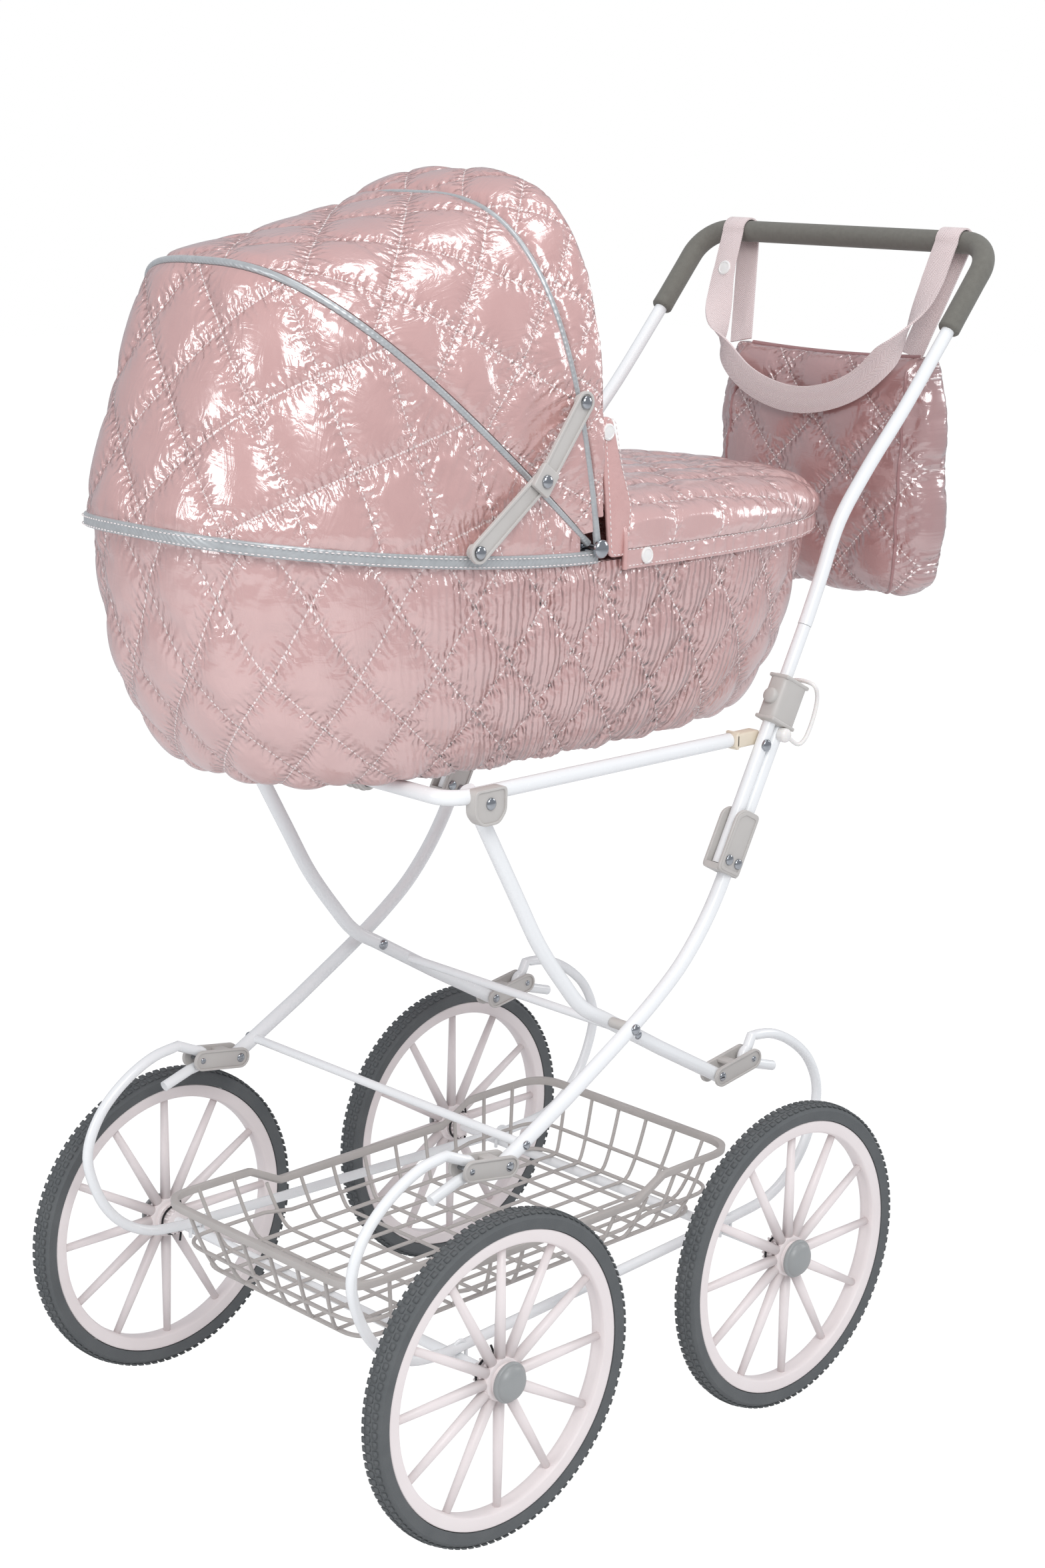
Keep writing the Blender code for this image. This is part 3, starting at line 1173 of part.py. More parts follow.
def basket_point(u, v, level):
    """A knot of the basket's wires: u along, v across, and level 0 on the floor to 2 on the rim."""
    length = BASKET_FLOOR_HALF_LENGTH + (BASKET_RIM_HALF_LENGTH - BASKET_FLOOR_HALF_LENGTH) * level / 2
    width = BASKET_FLOOR_HALF_WIDTH + (BASKET_RIM_HALF_WIDTH - BASKET_FLOOR_HALF_WIDTH) * level / 2
    x = length * u * math.sqrt(1 - BASKET_ROUNDING * v * v)
    y = width * v * math.sqrt(1 - BASKET_ROUNDING * u * u)
    floor_z = WHEEL_Z + AXLE_RADIUS + TOUCH_GAP + BASKET_WIRE / 2
    rim = BASKET_HIGH_RIM_Z if abs(u) > BASKET_STEP else BASKET_LOW_RIM_Z
    z = floor_z + BASKET_LEVELS[level] * (rim - floor_z)
    return BASKET_X + x, y, z


def add_basket():
    """The moulded wire basket: a tray of square wires that stands on the two axles."""
    surface = bmesh.new()
    across = BASKET_WIRES_ACROSS
    along = BASKET_WIRES_ALONG
    floor = {}
    for i in range(along + 1):
        for j in range(across + 1):
            u = 2 * i / along - 1
            v = 2 * j / across - 1
            floor[i, j] = surface.verts.new(basket_point(u, v, 0))
    for i in range(along):
        for j in range(across):
            surface.faces.new((floor[i, j], floor[i + 1, j], floor[i + 1, j + 1], floor[i, j + 1]))
    border = [(i, 0) for i in range(along)] + [(along, j) for j in range(across)]
    border += [(i, across) for i in range(along, 0, -1)] + [(0, j) for j in range(across, 0, -1)]
    below = [floor[key] for key in border]
    for level in (1, 2):
        above = [surface.verts.new(basket_point(2 * i / along - 1, 2 * j / across - 1, level)) for i, j in border]
        count = len(border)
        for k in range(count):
            surface.faces.new((below[k], above[k], above[(k + 1) % count], below[(k + 1) % count]))
        below = above
    bmesh.ops.recalc_face_normals(surface, faces=surface.faces)
    shape = mesh_object("basket", surface)
    wires = shape.modifiers.new("wires", "WIREFRAME")
    wires.thickness = BASKET_WIRE
    wires.use_boundary = True
    wires.use_replace = True
    wires.use_even_offset = False
    finish(shape, "basket_plastic")


# Bag

def add_bag():
    half_depth = BAG_DEPTH / 2
    half_width = BAG_WIDTH / 2
    rings = []
    for share, depth, width in BAG_LEVELS:
        ring = [plan_point(math.tau * k / BAG_POINTS, BAG_X, half_depth * depth, half_width * width, BAG_SHAPE)
                for k in range(BAG_POINTS)]
        rings.append([(x, y, BAG_BOTTOM_Z + BAG_HEIGHT * share) for x, y in ring])
    shape = loft("bag", rings, bottom=(BAG_X, 0.0, BAG_BOTTOM_Z), top=(BAG_X, 0.0, BAG_TOP_Z))
    finish(shape, "pink_quilt", bag_axis)


def strap_ribbon(name, route, across):
    """A strip of webbing along a route, its width lying along the given direction at each point."""
    surface = bmesh.new()
    rows = []
    for place, direction in zip(route, across):
        half = Vector(direction).normalized() * STRAP_WIDTH / 2
        rows.append((surface.verts.new(Vector(place) - half), surface.verts.new(Vector(place) + half)))
    for low, high in zip(rows, rows[1:]):
        surface.faces.new((low[0], low[1], high[1], high[0]))
    return thicken(mesh_object(name, surface), STRAP_THICKNESS, 0.0)


def add_straps():
    """One strap: from the bag's corners up and over the grip, and down in a festoon before the bag."""
    bar_x, bar_z = HANDLE_CORNER
    around = (GRIP_RADIUS + STRAP_THICKNESS / 2 + TOUCH_GAP * 2) / math.cos(STRAP_TURN / 2)
    level = BAG_TOP_Z + TOUCH_GAP * 2
    left = [Vector((BAG_X, STRAP_FOOT_Y, level))]
    across = [Vector((0.0, 1.0, 0.0))]
    for k in range(STRAP_TURNS + 1):
        angle = math.pi - STRAP_TURN * k
        left.append(Vector((bar_x + around * math.cos(angle), STRAP_TOP_Y, bar_z + around * math.sin(angle))))
        across.append(Vector((0.0, 1.0, 0.0)))
    for x, y, z in STRAP_FESTOON:
        left.append(Vector((x, y, z)))
        across.append(Vector((0.0, y / STRAP_TOP_Y, 1.0)))
    right = [Vector((p.x, -p.y, p.z)) for p in reversed(left[:-1])]
    across += [Vector((0.0, d.y, -d.z)) for d in reversed(across[:-1])]
    finish(strap_ribbon("bag_strap", left + right, across), "webbing", bag_axis)


add_wheels()
add_springs()
add_shackles()
add_legs()
add_cross_bars()
add_clamps()
add_handle()
add_sleeves()
add_bails()
add_carrier()
add_latch()
add_tub()
add_apron()
add_hood()
add_hood_pivots()
add_stays()
add_basket()
add_bag()
add_straps()
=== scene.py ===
"""The looks of a doll's pram: white tubes on C-springs, a quilted satin carrycot with a hood, and a bag.

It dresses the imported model, in whose frame +X is the direction of travel, +Y the left side and +Z up.
"""
import math
from functools import partial

import bmesh
import bpy
import numpy as np
from mathutils import Matrix, Vector, noise


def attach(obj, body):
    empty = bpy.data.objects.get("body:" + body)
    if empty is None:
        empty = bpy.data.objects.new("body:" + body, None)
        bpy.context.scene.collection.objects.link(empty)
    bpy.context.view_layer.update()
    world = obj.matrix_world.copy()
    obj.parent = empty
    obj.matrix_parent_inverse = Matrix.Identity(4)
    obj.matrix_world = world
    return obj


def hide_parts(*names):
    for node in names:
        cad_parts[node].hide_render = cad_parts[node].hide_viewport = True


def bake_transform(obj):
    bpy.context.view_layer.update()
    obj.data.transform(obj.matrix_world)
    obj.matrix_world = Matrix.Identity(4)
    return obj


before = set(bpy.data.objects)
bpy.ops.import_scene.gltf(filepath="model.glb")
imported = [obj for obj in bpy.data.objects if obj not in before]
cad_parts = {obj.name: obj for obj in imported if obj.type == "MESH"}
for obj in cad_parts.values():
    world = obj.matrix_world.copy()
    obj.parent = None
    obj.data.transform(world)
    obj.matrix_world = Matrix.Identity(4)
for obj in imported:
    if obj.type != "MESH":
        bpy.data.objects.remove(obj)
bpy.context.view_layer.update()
scene = bpy.context.scene
scene.view_settings.view_transform = "Standard"


# Camera
# It stands where the photographer stood: off the pram's front left corner, a little above the hood.

camera_data = bpy.data.cameras.new("camera")
camera_data.lens = 60.798
camera_data.sensor_width = 36.0
camera = bpy.data.objects.new("camera", camera_data)
scene.collection.objects.link(camera)
scene.camera = camera
camera_turn = math.radians(135.129)
camera_rise = math.radians(13.827)
camera_roll = math.radians(1.168)
camera_place = (1.3897, 1.3950, 0.9642)
flat_back = Vector((math.sin(camera_turn), -math.cos(camera_turn), 0.0))
back = flat_back * math.cos(camera_rise) + Vector((0.0, 0.0, math.sin(camera_rise)))
level = Vector((math.cos(camera_turn), math.sin(camera_turn), 0.0))
right = level * math.cos(camera_roll) + back.cross(level) * math.sin(camera_roll)
camera_axes = Matrix((right, back.cross(right), back)).transposed()
camera.matrix_world = Matrix.Translation(camera_place) @ camera_axes.to_4x4()


# Studio
# A white floor that runs on into a white background, under large soft lamps with a plain level of light.


def colour(code):
    """An sRGB hex colour as the linear values that a shader takes."""
    shares = [int(code[place:place + 2], 16) / 255 for place in (1, 3, 5)]
    linear = [s / 12.92 if s <= 0.04045 else ((s + 0.055) / 1.055) ** 2.4 for s in shares]
    return (*linear, 1.0)


def add_node(tree, kind, inputs=None, links=None, **settings):
    """Add a node with its settings, its inputs' values and the sockets that feed its inputs."""
    made = tree.nodes.new(kind)
    for name, value in settings.items():
        setattr(made, name, value)
    for name, value in (inputs or {}).items():
        made.inputs[name].default_value = value
    for name, source in (links or {}).items():
        tree.links.new(source, made.inputs[name])
    return made


def white_to_camera(tree, surface, strength, share):
    """Show a share of plain white to the camera, over what lights the object."""
    path = add_node(tree, "ShaderNodeLightPath")
    part = add_node(tree, "ShaderNodeMath", {1: share}, {0: path.outputs["Is Camera Ray"]},
                    operation="MULTIPLY")
    kind = "ShaderNodeBackground" if surface.type == "BACKGROUND" else "ShaderNodeEmission"
    white = add_node(tree, kind, {"Color": colour("#FFFFFF"), "Strength": strength})
    return add_node(tree, "ShaderNodeMixShader",
                    links={0: part.outputs[0], 1: surface.outputs[0], 2: white.outputs[0]})


world = bpy.data.worlds.new("white_studio")
world.use_nodes = True
scene.world = world
world.node_tree.nodes.clear()
sky = add_node(world.node_tree, "ShaderNodeBackground", {"Color": colour("#F6F8FF"), "Strength": 0.50})
shown = white_to_camera(world.node_tree, sky, strength=1.0, share=1.0)
add_node(world.node_tree, "ShaderNodeOutputWorld", links={"Surface": shown.outputs[0]})

# White paper. The camera sees it as plain white, and it isn't sampled as a lamp.
FLOOR_REACH = 9.0
floor_material = bpy.data.materials.new("white_studio_paper")
floor_material.use_nodes = True
floor_material.cycles.emission_sampling = "NONE"
paper_tree = floor_material.node_tree
paper_tree.nodes.clear()
paper = add_node(paper_tree, "ShaderNodeBsdfDiffuse", {"Color": colour("#F4F4F4")})
shown = white_to_camera(paper_tree, paper, strength=1.08, share=0.94)
add_node(paper_tree, "ShaderNodeOutputMaterial", links={"Surface": shown.outputs[0]})
sheet_of_paper = bpy.data.meshes.new("studio_floor")
sheet_of_paper.from_pydata([(x * FLOOR_REACH, y * FLOOR_REACH, 0.0)
                            for x, y in ((-1, -1), (1, -1), (1, 1), (-1, 1))], [], [(0, 1, 2, 3)])
sheet_of_paper.materials.append(floor_material)
studio_floor = bpy.data.objects.new("studio_floor", sheet_of_paper)
scene.collection.objects.link(studio_floor)

for lamp_name, place, target, size, power in (
        ("key_lamp", (1.1, 1.9, 2.3), (0.0, 0.0, 0.5), 1.5, 38.0),
        ("fill_lamp", (2.3, -0.3, 1.2), (0.0, 0.0, 0.5), 0.9, 11.0),
        ("top_lamp", (-0.3, 0.4, 2.6), (0.0, 0.0, 0.6), 0.9, 9.0),
        ("back_lamp", (-2.2, 0.9, 1.3), (-0.1, 0.0, 0.6), 0.8, 7.0)):
    lamp_data = bpy.data.lights.new(lamp_name, "AREA")
    lamp_data.size = size
    lamp_data.energy = power
    lamp = bpy.data.objects.new(lamp_name, lamp_data)
    lamp.location = place
    lamp.rotation_euler = (Vector(place) - Vector(target)).to_track_quat("Z", "Y").to_euler()
    scene.collection.objects.link(lamp)


# Wheels
# Each wheel is one ivory polypropylene moulding with a deep rim, twelve tapered spokes and a ribbed hub.
# It is turned and grown in its own upright frame, then set on its axle, outer side out.

MID_X = 0.0465  # the middle of the wheelbase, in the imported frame
WHEELBASE = 0.3107
TRACK = 0.3815
AXLE_Z = 0.12212
RIM_OUTER = 0.1090
RIM_INNER = 0.0985
RIM_WIDTH = 0.0150
HUB_RADIUS = 0.0125
SPOKES = 12
HUB_RIBS = 16
WHEEL_PLACES = [(end, side, x, sign * TRACK / 2, sign)
                for end, x in (("front", MID_X + WHEELBASE / 2), ("rear", MID_X - WHEELBASE / 2))
                for side, sign in (("left", 1), ("right", -1))]


def new_material(name, base, roughness, **settings):
    """A Principled material and its tree and shader, with constants set on the shader's own sockets."""
    made = bpy.data.materials.new(name)
    made.use_nodes = True
    shader = made.node_tree.nodes["Principled BSDF"]
    shader.inputs["Base Color"].default_value = colour(base)
    shader.inputs["Roughness"].default_value = roughness
    for label, value in settings.items():
        shader.inputs[label.replace("_", " ")].default_value = value
    return made, made.node_tree, shader


def object_place(tree):
    """Places on the piece in metres."""
    return add_node(tree, "ShaderNodeTexCoord").outputs["Object"]


def bumped(tree, shader, height, strength, depth, normal=None):
    """Raise a shader's surface by a height socket, to a depth in metres, over an earlier bump."""
    links = {"Height": height}
    if normal:
        links["Normal"] = normal
    bump = add_node(tree, "ShaderNodeBump", {"Strength": strength, "Distance": depth}, links)
    tree.links.new(bump.outputs[0], shader.inputs["Normal"])
    return bump.outputs[0]


def tinted(tree, shader, tone, shade, patch):
    """Slow colour variation between two tones, such as handling and dust leave, in patches of one size."""
    slow = add_node(tree, "ShaderNodeTexNoise", {"Scale": 1 / patch, "Detail": 2.0},
                    {"Vector": object_place(tree)})
    mix = add_node(tree, "ShaderNodeMix", {6: colour(tone), 7: colour(shade)}, {0: slow.outputs[0]},
                   data_type="RGBA")
    tree.links.new(mix.outputs[2], shader.inputs["Base Color"])


def skin(name, tone, roughness, spread, size, depth, shade=None, patch=0.02, **settings):
    """A moulded, coated or drawn skin: grain of one size and depth in metres, maybe with patches of a second tone."""
    made, tree, shader = new_material(name, tone, roughness, **settings)
    fine = add_node(tree, "ShaderNodeTexNoise", {"Scale": 1 / size, "Detail": 3.0},
                    {"Vector": object_place(tree)})
    rough = add_node(tree, "ShaderNodeMapRange",
                     {"From Min": 0.3, "From Max": 0.7,
                      "To Min": roughness - spread, "To Max": roughness + spread},
                     {"Value": fine.outputs[0]})
    tree.links.new(rough.outputs[0], shader.inputs["Roughness"])
    bumped(tree, shader, fine.outputs[0], 1.0, depth)
    if shade:
        tinted(tree, shader, tone, shade, patch)
    return made


# Moulded polypropylene: an even satin skin with a faint 0.6 mm texture and slightly warmer, duller patches.
ivory_plastic = skin("moulded_ivory_polypropylene", "#F3ECEB", 0.38, 0.05, 0.0006, 0.00002, "#EBE1E0", 0.05,
                      IOR=1.49)

# Moulded ABS: a little glossier and cooler, with a fine spark-eroded texture of about 0.4 mm.
# The hub caps are of a darker grey than the frame's mouldings.
grey_plastic = skin("moulded_grey_abs", "#C8C5C1", 0.42, 0.06, 0.0004, 0.00002, "#BDB9B5", 0.03, IOR=1.53)
cap_plastic = skin("moulded_dark_grey_abs", "#9EA1A1", 0.36, 0.06, 0.0004, 0.00002, "#949797", IOR=1.53)

# Solid EVA rubber: matt and dusty, with a coarse 0.8 mm skin.
tyre_rubber = skin("moulded_eva_rubber", "#66696A", 0.8, 0.1, 0.0008, 0.00012, "#565A5C", IOR=1.5)

# Spring steel wire, blackened in oil: dark with a thin shine.
black_wire = skin("oil_blackened_wire", "#2B2B2D", 0.35, 0.08, 0.0005, 0.00001, Metallic=0.6)


def surface_object(name, verts, faces, material, smooth_angle=40.0, uvs=None, girth=0.0):
    """A smooth-shaded mesh object with one material and maybe a UV map in metres, which may go right round."""
    mesh = bpy.data.meshes.new(name)
    mesh.from_pydata([tuple(v) for v in verts], [], faces)
    if uvs is not None:
        layer = mesh.uv_layers.new(name="cloth")
        corners = np.zeros(len(mesh.loops), dtype=np.int32)
        mesh.loops.foreach_get("vertex_index", corners)
        places = np.asarray(uvs, dtype=np.float32)[corners]
        for polygon in mesh.polygons if girth else ():
            run = places[polygon.loop_start:polygon.loop_start + polygon.loop_total, 0]
            if np.ptp(run) > girth / 2:
                run[run < girth / 2] += girth
        layer.data.foreach_set("uv", places.ravel())
    mesh.materials.append(material)
    mesh.shade_smooth()
    mesh.set_sharp_from_angle(angle=math.radians(smooth_angle))
    made = bpy.data.objects.new(name, mesh)
    scene.collection.objects.link(made)
    return made


def rounded(corners, radius, steps=3):
    """A closed outline with its corners rounded off."""
    result = []
    points = [Vector(c) for c in corners]
    for before, here, after in zip(points[-1:] + points[:-1], points, points[1:] + points[:1]):
        back_way = before - here
        on_way = after - here
        cut = min(radius, back_way.length / 2.01, on_way.length / 2.01)
        start = here + back_way.normalized() * cut
        end = here + on_way.normalized() * cut
        for k in range(steps + 1):
            t = k / steps
            result.append(tuple(start.lerp(here, t).lerp(here.lerp(end, t), t)))
    return result


def lathed(profile, steps, close=False):
    """Vertices and faces of a profile of (radius, height) turned about Z. It runs up the outside."""
    verts = []
    rows = []
    for radius, height in profile:
        if radius < 1e-6:
            rows.append([len(verts)] * steps)
            verts.append((0.0, 0.0, height))
            continue
        rows.append([len(verts) + k for k in range(steps)])
        for k in range(steps):
            angle = math.tau * k / steps
            verts.append((radius * math.cos(angle), radius * math.sin(angle), height))
    faces = []
    pairs = list(zip(rows, rows[1:]))
    if close:
        pairs.append((rows[-1], rows[0]))
    for low, high in pairs:
        for k in range(steps):
            n = (k + 1) % steps
            corners = [low[k], low[n], high[n], high[k]]
            face = [c for i, c in enumerate(corners) if c not in corners[:i]]
            if len(face) > 2:
                faces.append(face)
    return verts, faces


def grid_faces(rows, columns, closed=True, ring=False):
    """Quads between rows of places: closed joins each row's ends, and ring joins the last row to the first."""
    faces = []
    for j in range(rows if ring else rows - 1):
        low, high = j * columns, (j + 1) % rows * columns
        for k in range(columns if closed else columns - 1):
            n = (k + 1) % columns
            faces.append((low + k, low + n, high + n, high + k))
    return faces


def end_faces(rows, columns):
    """The two faces that close the ends of a stack of rings."""
    return [tuple(range(columns))[::-1], tuple(range((rows - 1) * columns, rows * columns))]


def merged(name, shapes, material):
    """One object from several lists of vertices and faces."""
    verts = []
    faces = []
    for some, some_faces in shapes:
        start = len(verts)
        verts += [tuple(v) for v in some]
        faces += [[start + i for i in face] for face in some_faces]
    return surface_object(name, verts, faces, material)


def geometry_tree(name, sizes):
    """A Geometry Nodes tree with a named input for each size and for the material."""
    made = bpy.data.node_groups.new(name, "GeometryNodeTree")
    made.interface.new_socket("Guide", in_out="INPUT", socket_type="NodeSocketGeometry")
    for label in sizes:
        made.interface.new_socket(label, in_out="INPUT", socket_type="NodeSocketFloat")
    made.interface.new_socket("Material", in_out="INPUT", socket_type="NodeSocketMaterial")
    made.interface.new_socket("Result", in_out="OUTPUT", socket_type="NodeSocketGeometry")
    return made, add_node(made, "NodeGroupInput")


def end_tree(made, start, geometry):
    """Close a tree: its instances become real faces in the given material."""
    real = add_node(made, "GeometryNodeRealizeInstances", links={0: geometry})
    smooth = add_node(made, "GeometryNodeSetShadeSmooth", links={0: real.outputs[0]})
    dressed = add_node(made, "GeometryNodeSetMaterial", links={"Geometry": smooth.outputs[0],
                                                               "Material": start.outputs["Material"]})
    add_node(made, "NodeGroupOutput", links={0: dressed.outputs[0]})
    return made


def plain_mesh(shape, name):
    """The evaluated shape as a plain mesh, and the shape itself taken away."""
    bpy.context.view_layer.update()
    graph = bpy.context.evaluated_depsgraph_get()
    mesh = bpy.data.meshes.new_from_object(shape.evaluated_get(graph))
    mesh.name = name
    bpy.data.objects.remove(shape, do_unlink=True)
    return mesh


def grown(name, guide_verts, guide_edges, made, material, **sizes):
    """Grow a Geometry Nodes tree on a guide of points and edges, and return the plain mesh object."""
    guide_mesh = bpy.data.meshes.new(name + "_guide")
    guide_mesh.from_pydata([tuple(v) for v in guide_verts], guide_edges, [])
    guide = bpy.data.objects.new(name + "_guide", guide_mesh)
    scene.collection.objects.link(guide)
    growth = guide.modifiers.new("growth", "NODES")
    growth.node_group = made
    for item in made.interface.items_tree:
        if item.in_out == "INPUT" and item.name in sizes:
            growth[item.identifier] = sizes[item.name]
        elif item.in_out == "INPUT" and item.name == "Material":
            growth[item.identifier] = material
    mesh = plain_mesh(guide, name)
    result = bpy.data.objects.new(name, mesh)
    scene.collection.objects.link(result)
    return result


def transformed(shape, matrix, name):
    """A copy of a piece's mesh put in its place, turned the right way out."""
    mesh = shape.data.copy()
    mesh.transform(matrix)
    if matrix.determinant() < 0:
        mesh.flip_normals()
    result = bpy.data.objects.new(name, mesh)
    scene.collection.objects.link(result)
    return result


def instanced(tree, start, points, shape, rotation, scale=None):
    """Put a shape on each point, turned and maybe scaled, and close the tree."""
    links = {"Points": points, "Instance": shape, "Rotation": rotation}
    if scale:
        links["Scale"] = scale
    end_tree(tree, start, add_node(tree, "GeometryNodeInstanceOnPoints", links=links).outputs[0])


# Spokes stand on a ring of points round the hub and taper towards the rim
spoke_tree, start = geometry_tree("tapered_spokes", ("Length", "Hub Radius", "Rim Radius"))
cone = add_node(spoke_tree, "GeometryNodeMeshCone", {"Vertices": 14},
                {"Radius Top": start.outputs["Rim Radius"], "Radius Bottom": start.outputs["Hub Radius"],
                 "Depth": start.outputs["Length"]})
position = add_node(spoke_tree, "GeometryNodeInputPosition").outputs[0]
outwards = add_node(spoke_tree, "FunctionNodeAlignRotationToVector", links={"Vector": position}, axis="Z")
instanced(spoke_tree, start, start.outputs["Guide"], cone.outputs["Mesh"], outwards.outputs[0])

# Blocks stand on points round a wheel, their height outwards and their depth along the axle
block_tree, start = geometry_tree("ring_of_blocks", ("Width", "Depth", "Height"))
size = add_node(block_tree, "ShaderNodeCombineXYZ",
                links={0: start.outputs["Depth"], 1: start.outputs["Width"], 2: start.outputs["Height"]})
block = add_node(block_tree, "GeometryNodeMeshCube", links={"Size": size.outputs[0]})
position = add_node(block_tree, "GeometryNodeInputPosition").outputs[0]
spot = add_node(block_tree, "ShaderNodeSeparateXYZ", links={0: position})
radial = add_node(block_tree, "ShaderNodeCombineXYZ", links={0: spot.outputs[0], 1: spot.outputs[1]})
upright = add_node(block_tree, "FunctionNodeAlignRotationToVector", links={"Vector": radial.outputs[0]},
                   axis="Z")
along = add_node(block_tree, "FunctionNodeAlignRotationToVector", {"Vector": (0.0, 0.0, 1.0)},
                 {"Rotation": upright.outputs[0]}, axis="X", pivot_axis="Z")
instanced(block_tree, start, start.outputs["Guide"], block.outputs["Mesh"], along.outputs[0])


def ring_points(radius, height, count, turn=0.0):
    """Evenly spaced points round the axle, turned by a share of their spacing."""
    angles = [math.tau * (k + turn) / count for k in range(count)]
    return [(radius * math.cos(angle), radius * math.sin(angle), height) for angle in angles]


half = RIM_WIDTH / 2
rim_profile = rounded([(RIM_OUTER, -half), (RIM_OUTER, half), (RIM_INNER + 0.001, half * 0.92),
                       (RIM_INNER, half * 0.5), (RIM_INNER, -half * 0.5),
                       (RIM_INNER + 0.001, -half * 0.92)], 0.0012)
hub_profile = [(0.0, -0.016), (0.0088, -0.016), (0.0095, -0.0152), (0.0095, -half - 0.0006), (0.0105, -half),
               (HUB_RADIUS - 0.0008, -half), (HUB_RADIUS, -half + 0.0008), (HUB_RADIUS, 0.0082),
               (HUB_RADIUS - 0.0008, 0.009), (0.0, 0.009)]
collar_profile = rounded([(HUB_RADIUS - 0.001, -0.0052), (HUB_RADIUS + 0.0035, -0.0046),
                          (HUB_RADIUS + 0.0035, 0.0046), (HUB_RADIUS - 0.001, 0.0052)], 0.0015, 2)
wheel_body = merged("wheel_body", [lathed(rim_profile, 128, True), lathed(hub_profile, 48),
                                   lathed(collar_profile, 48, True)], ivory_plastic)
spokes = grown("wheel_spokes", ring_points(HUB_RADIUS - 0.002, 0.0, SPOKES), [], spoke_tree, ivory_plastic,
               **{"Length": RIM_INNER - HUB_RADIUS + 0.004, "Hub Radius": 0.0043, "Rim Radius": 0.0029})
hub_ribs = grown("hub_ribs", ring_points(0.0101, -0.0115, HUB_RIBS), [], block_tree, ivory_plastic,
                 Width=0.0012, Depth=0.0085, Height=0.0018)

# Tyre: a plain rubber ring pressed on the rim, with three staggered rows of small raised blocks
TYRE_RADIUS = 0.1225
TYRE_ROUND = 0.0046
TREAD_ROW = 0.0052
TREAD_BLOCKS = 110
crown = []
for k in range(9):
    angle = math.pi * (k / 8 - 0.5)
    crown.append((TYRE_RADIUS - 0.0054 + TYRE_ROUND * math.cos(angle),
                  0.0043 * (k / 4 - 1) + TYRE_ROUND * math.sin(angle)))
tyre_profile = [(0.1094, -0.0078)] + crown + [(0.1094, 0.0078), (0.1093, 0.0)]
tyre_body = merged("tyre_body", [lathed(tyre_profile, 128, True)], tyre_rubber)
tread_points = []
for row, drop, shift in ((-TREAD_ROW, 0.0018, 0.0), (0.0, 0.0007, 0.5), (TREAD_ROW, 0.0018, 0.0)):
    tread_points += ring_points(TYRE_RADIUS - drop, row, TREAD_BLOCKS, shift)
tread = grown("tyre_tread", tread_points, [], block_tree, tyre_rubber, Width=0.0043, Depth=0.0038,
              Height=0.0012)

# Hub cap: a domed ABS cap over the axle's end, with a raised ring
cap_profile = [(0.0148, 0.0093), (0.0150, 0.0100), (0.0149, 0.0112), (0.0143, 0.0120), (0.0132, 0.0124),
               (0.0129, 0.0132), (0.0118, 0.0150), (0.0098, 0.0165), (0.0070, 0.0174), (0.0036, 0.01785),
               (0.0, 0.0180)]
cap_back = [(0.0, 0.0092), (0.0148, 0.0093)]
hub_cap = merged("hub_cap", [lathed(cap_profile, 48), lathed(cap_back, 48)], cap_plastic)

# Clip: a bent wire that snaps round the axle behind the hub


def swept(route, radius, sides=10, closed=False, shares=None):
    """Vertices and faces of a round bar along a route, with a share of its radius at each point."""
    points = [Vector(p) for p in route]
    count = len(points)
    tangents = []
    for i in range(count):
        a = points[i - 1] if i > 0 or closed else points[i]
        b = points[(i + 1) % count] if i < count - 1 or closed else points[i]
        tangents.append((b - a).normalized())
    side = tangents[0].orthogonal().normalized()
    verts = []
    for i, (point, tangent) in enumerate(zip(points, tangents)):
        side = (side - tangent * side.dot(tangent)).normalized()
        other = tangent.cross(side)
        reach = radius * (shares[i] if shares else 1.0)
        for k in range(sides):
            angle = math.tau * k / sides
            verts.append(point + side * reach * math.cos(angle) + other * reach * math.sin(angle))
    faces = grid_faces(count, sides, ring=closed)
    if not closed:
        faces += end_faces(count, sides)
    return verts, faces


CLIP_RADIUS = 0.0118
clip_bend = [(CLIP_RADIUS * math.cos(a), CLIP_RADIUS * math.sin(a), -0.0113)
             for a in np.linspace(-2.2, 2.2, 17)]
clip_route = [(-0.004, -0.0185, -0.0130)] + clip_bend + [(-0.004, 0.0185, -0.0130)]
wire_clip = merged("wheel_clip", [swept(clip_route, 0.0009, 8)], black_wire)


def dress(piece, body, slot_name, *replaced):
    """Let a finished piece ride on its body, in place of its CAD nodes. Its slot name is not used."""
    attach(piece, body)
    if replaced:
        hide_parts(*replaced)
    return piece


wheel_parts = ((wheel_body, "rim", "wheel_plastic", "wheel"), (spokes, "spokes", "wheel_plastic"),
               (hub_ribs, "hub_ribs", "wheel_plastic"), (tyre_body, "tyre", "tyre_rubber", "tyre"),
               (tread, "tread", "tyre_rubber"), (hub_cap, "hub_cap", "grey_plastic", "hub_cap"),
               (wire_clip, "wire_clip", "chrome"))
for end, side, x, y, sign in WHEEL_PLACES:
    place = Matrix.Translation((x, y, AXLE_Z)) @ Matrix.Rotation(-sign * math.pi / 2, 4, "X")
    corner = "_" + end + "_" + side
    for shape, label, slot_name, *nodes in wheel_parts:
        piece = transformed(shape, place, "look_" + label + corner)
        dress(piece, "wheel" + corner, slot_name, *[node + corner for node in nodes])
for shape, *_ in wheel_parts:
    bpy.data.objects.remove(shape, do_unlink=True)


# Axles and springs
# Two steel axles carry a C-shaped spring rod a side, hooked into a shackle at each end, all coated white.

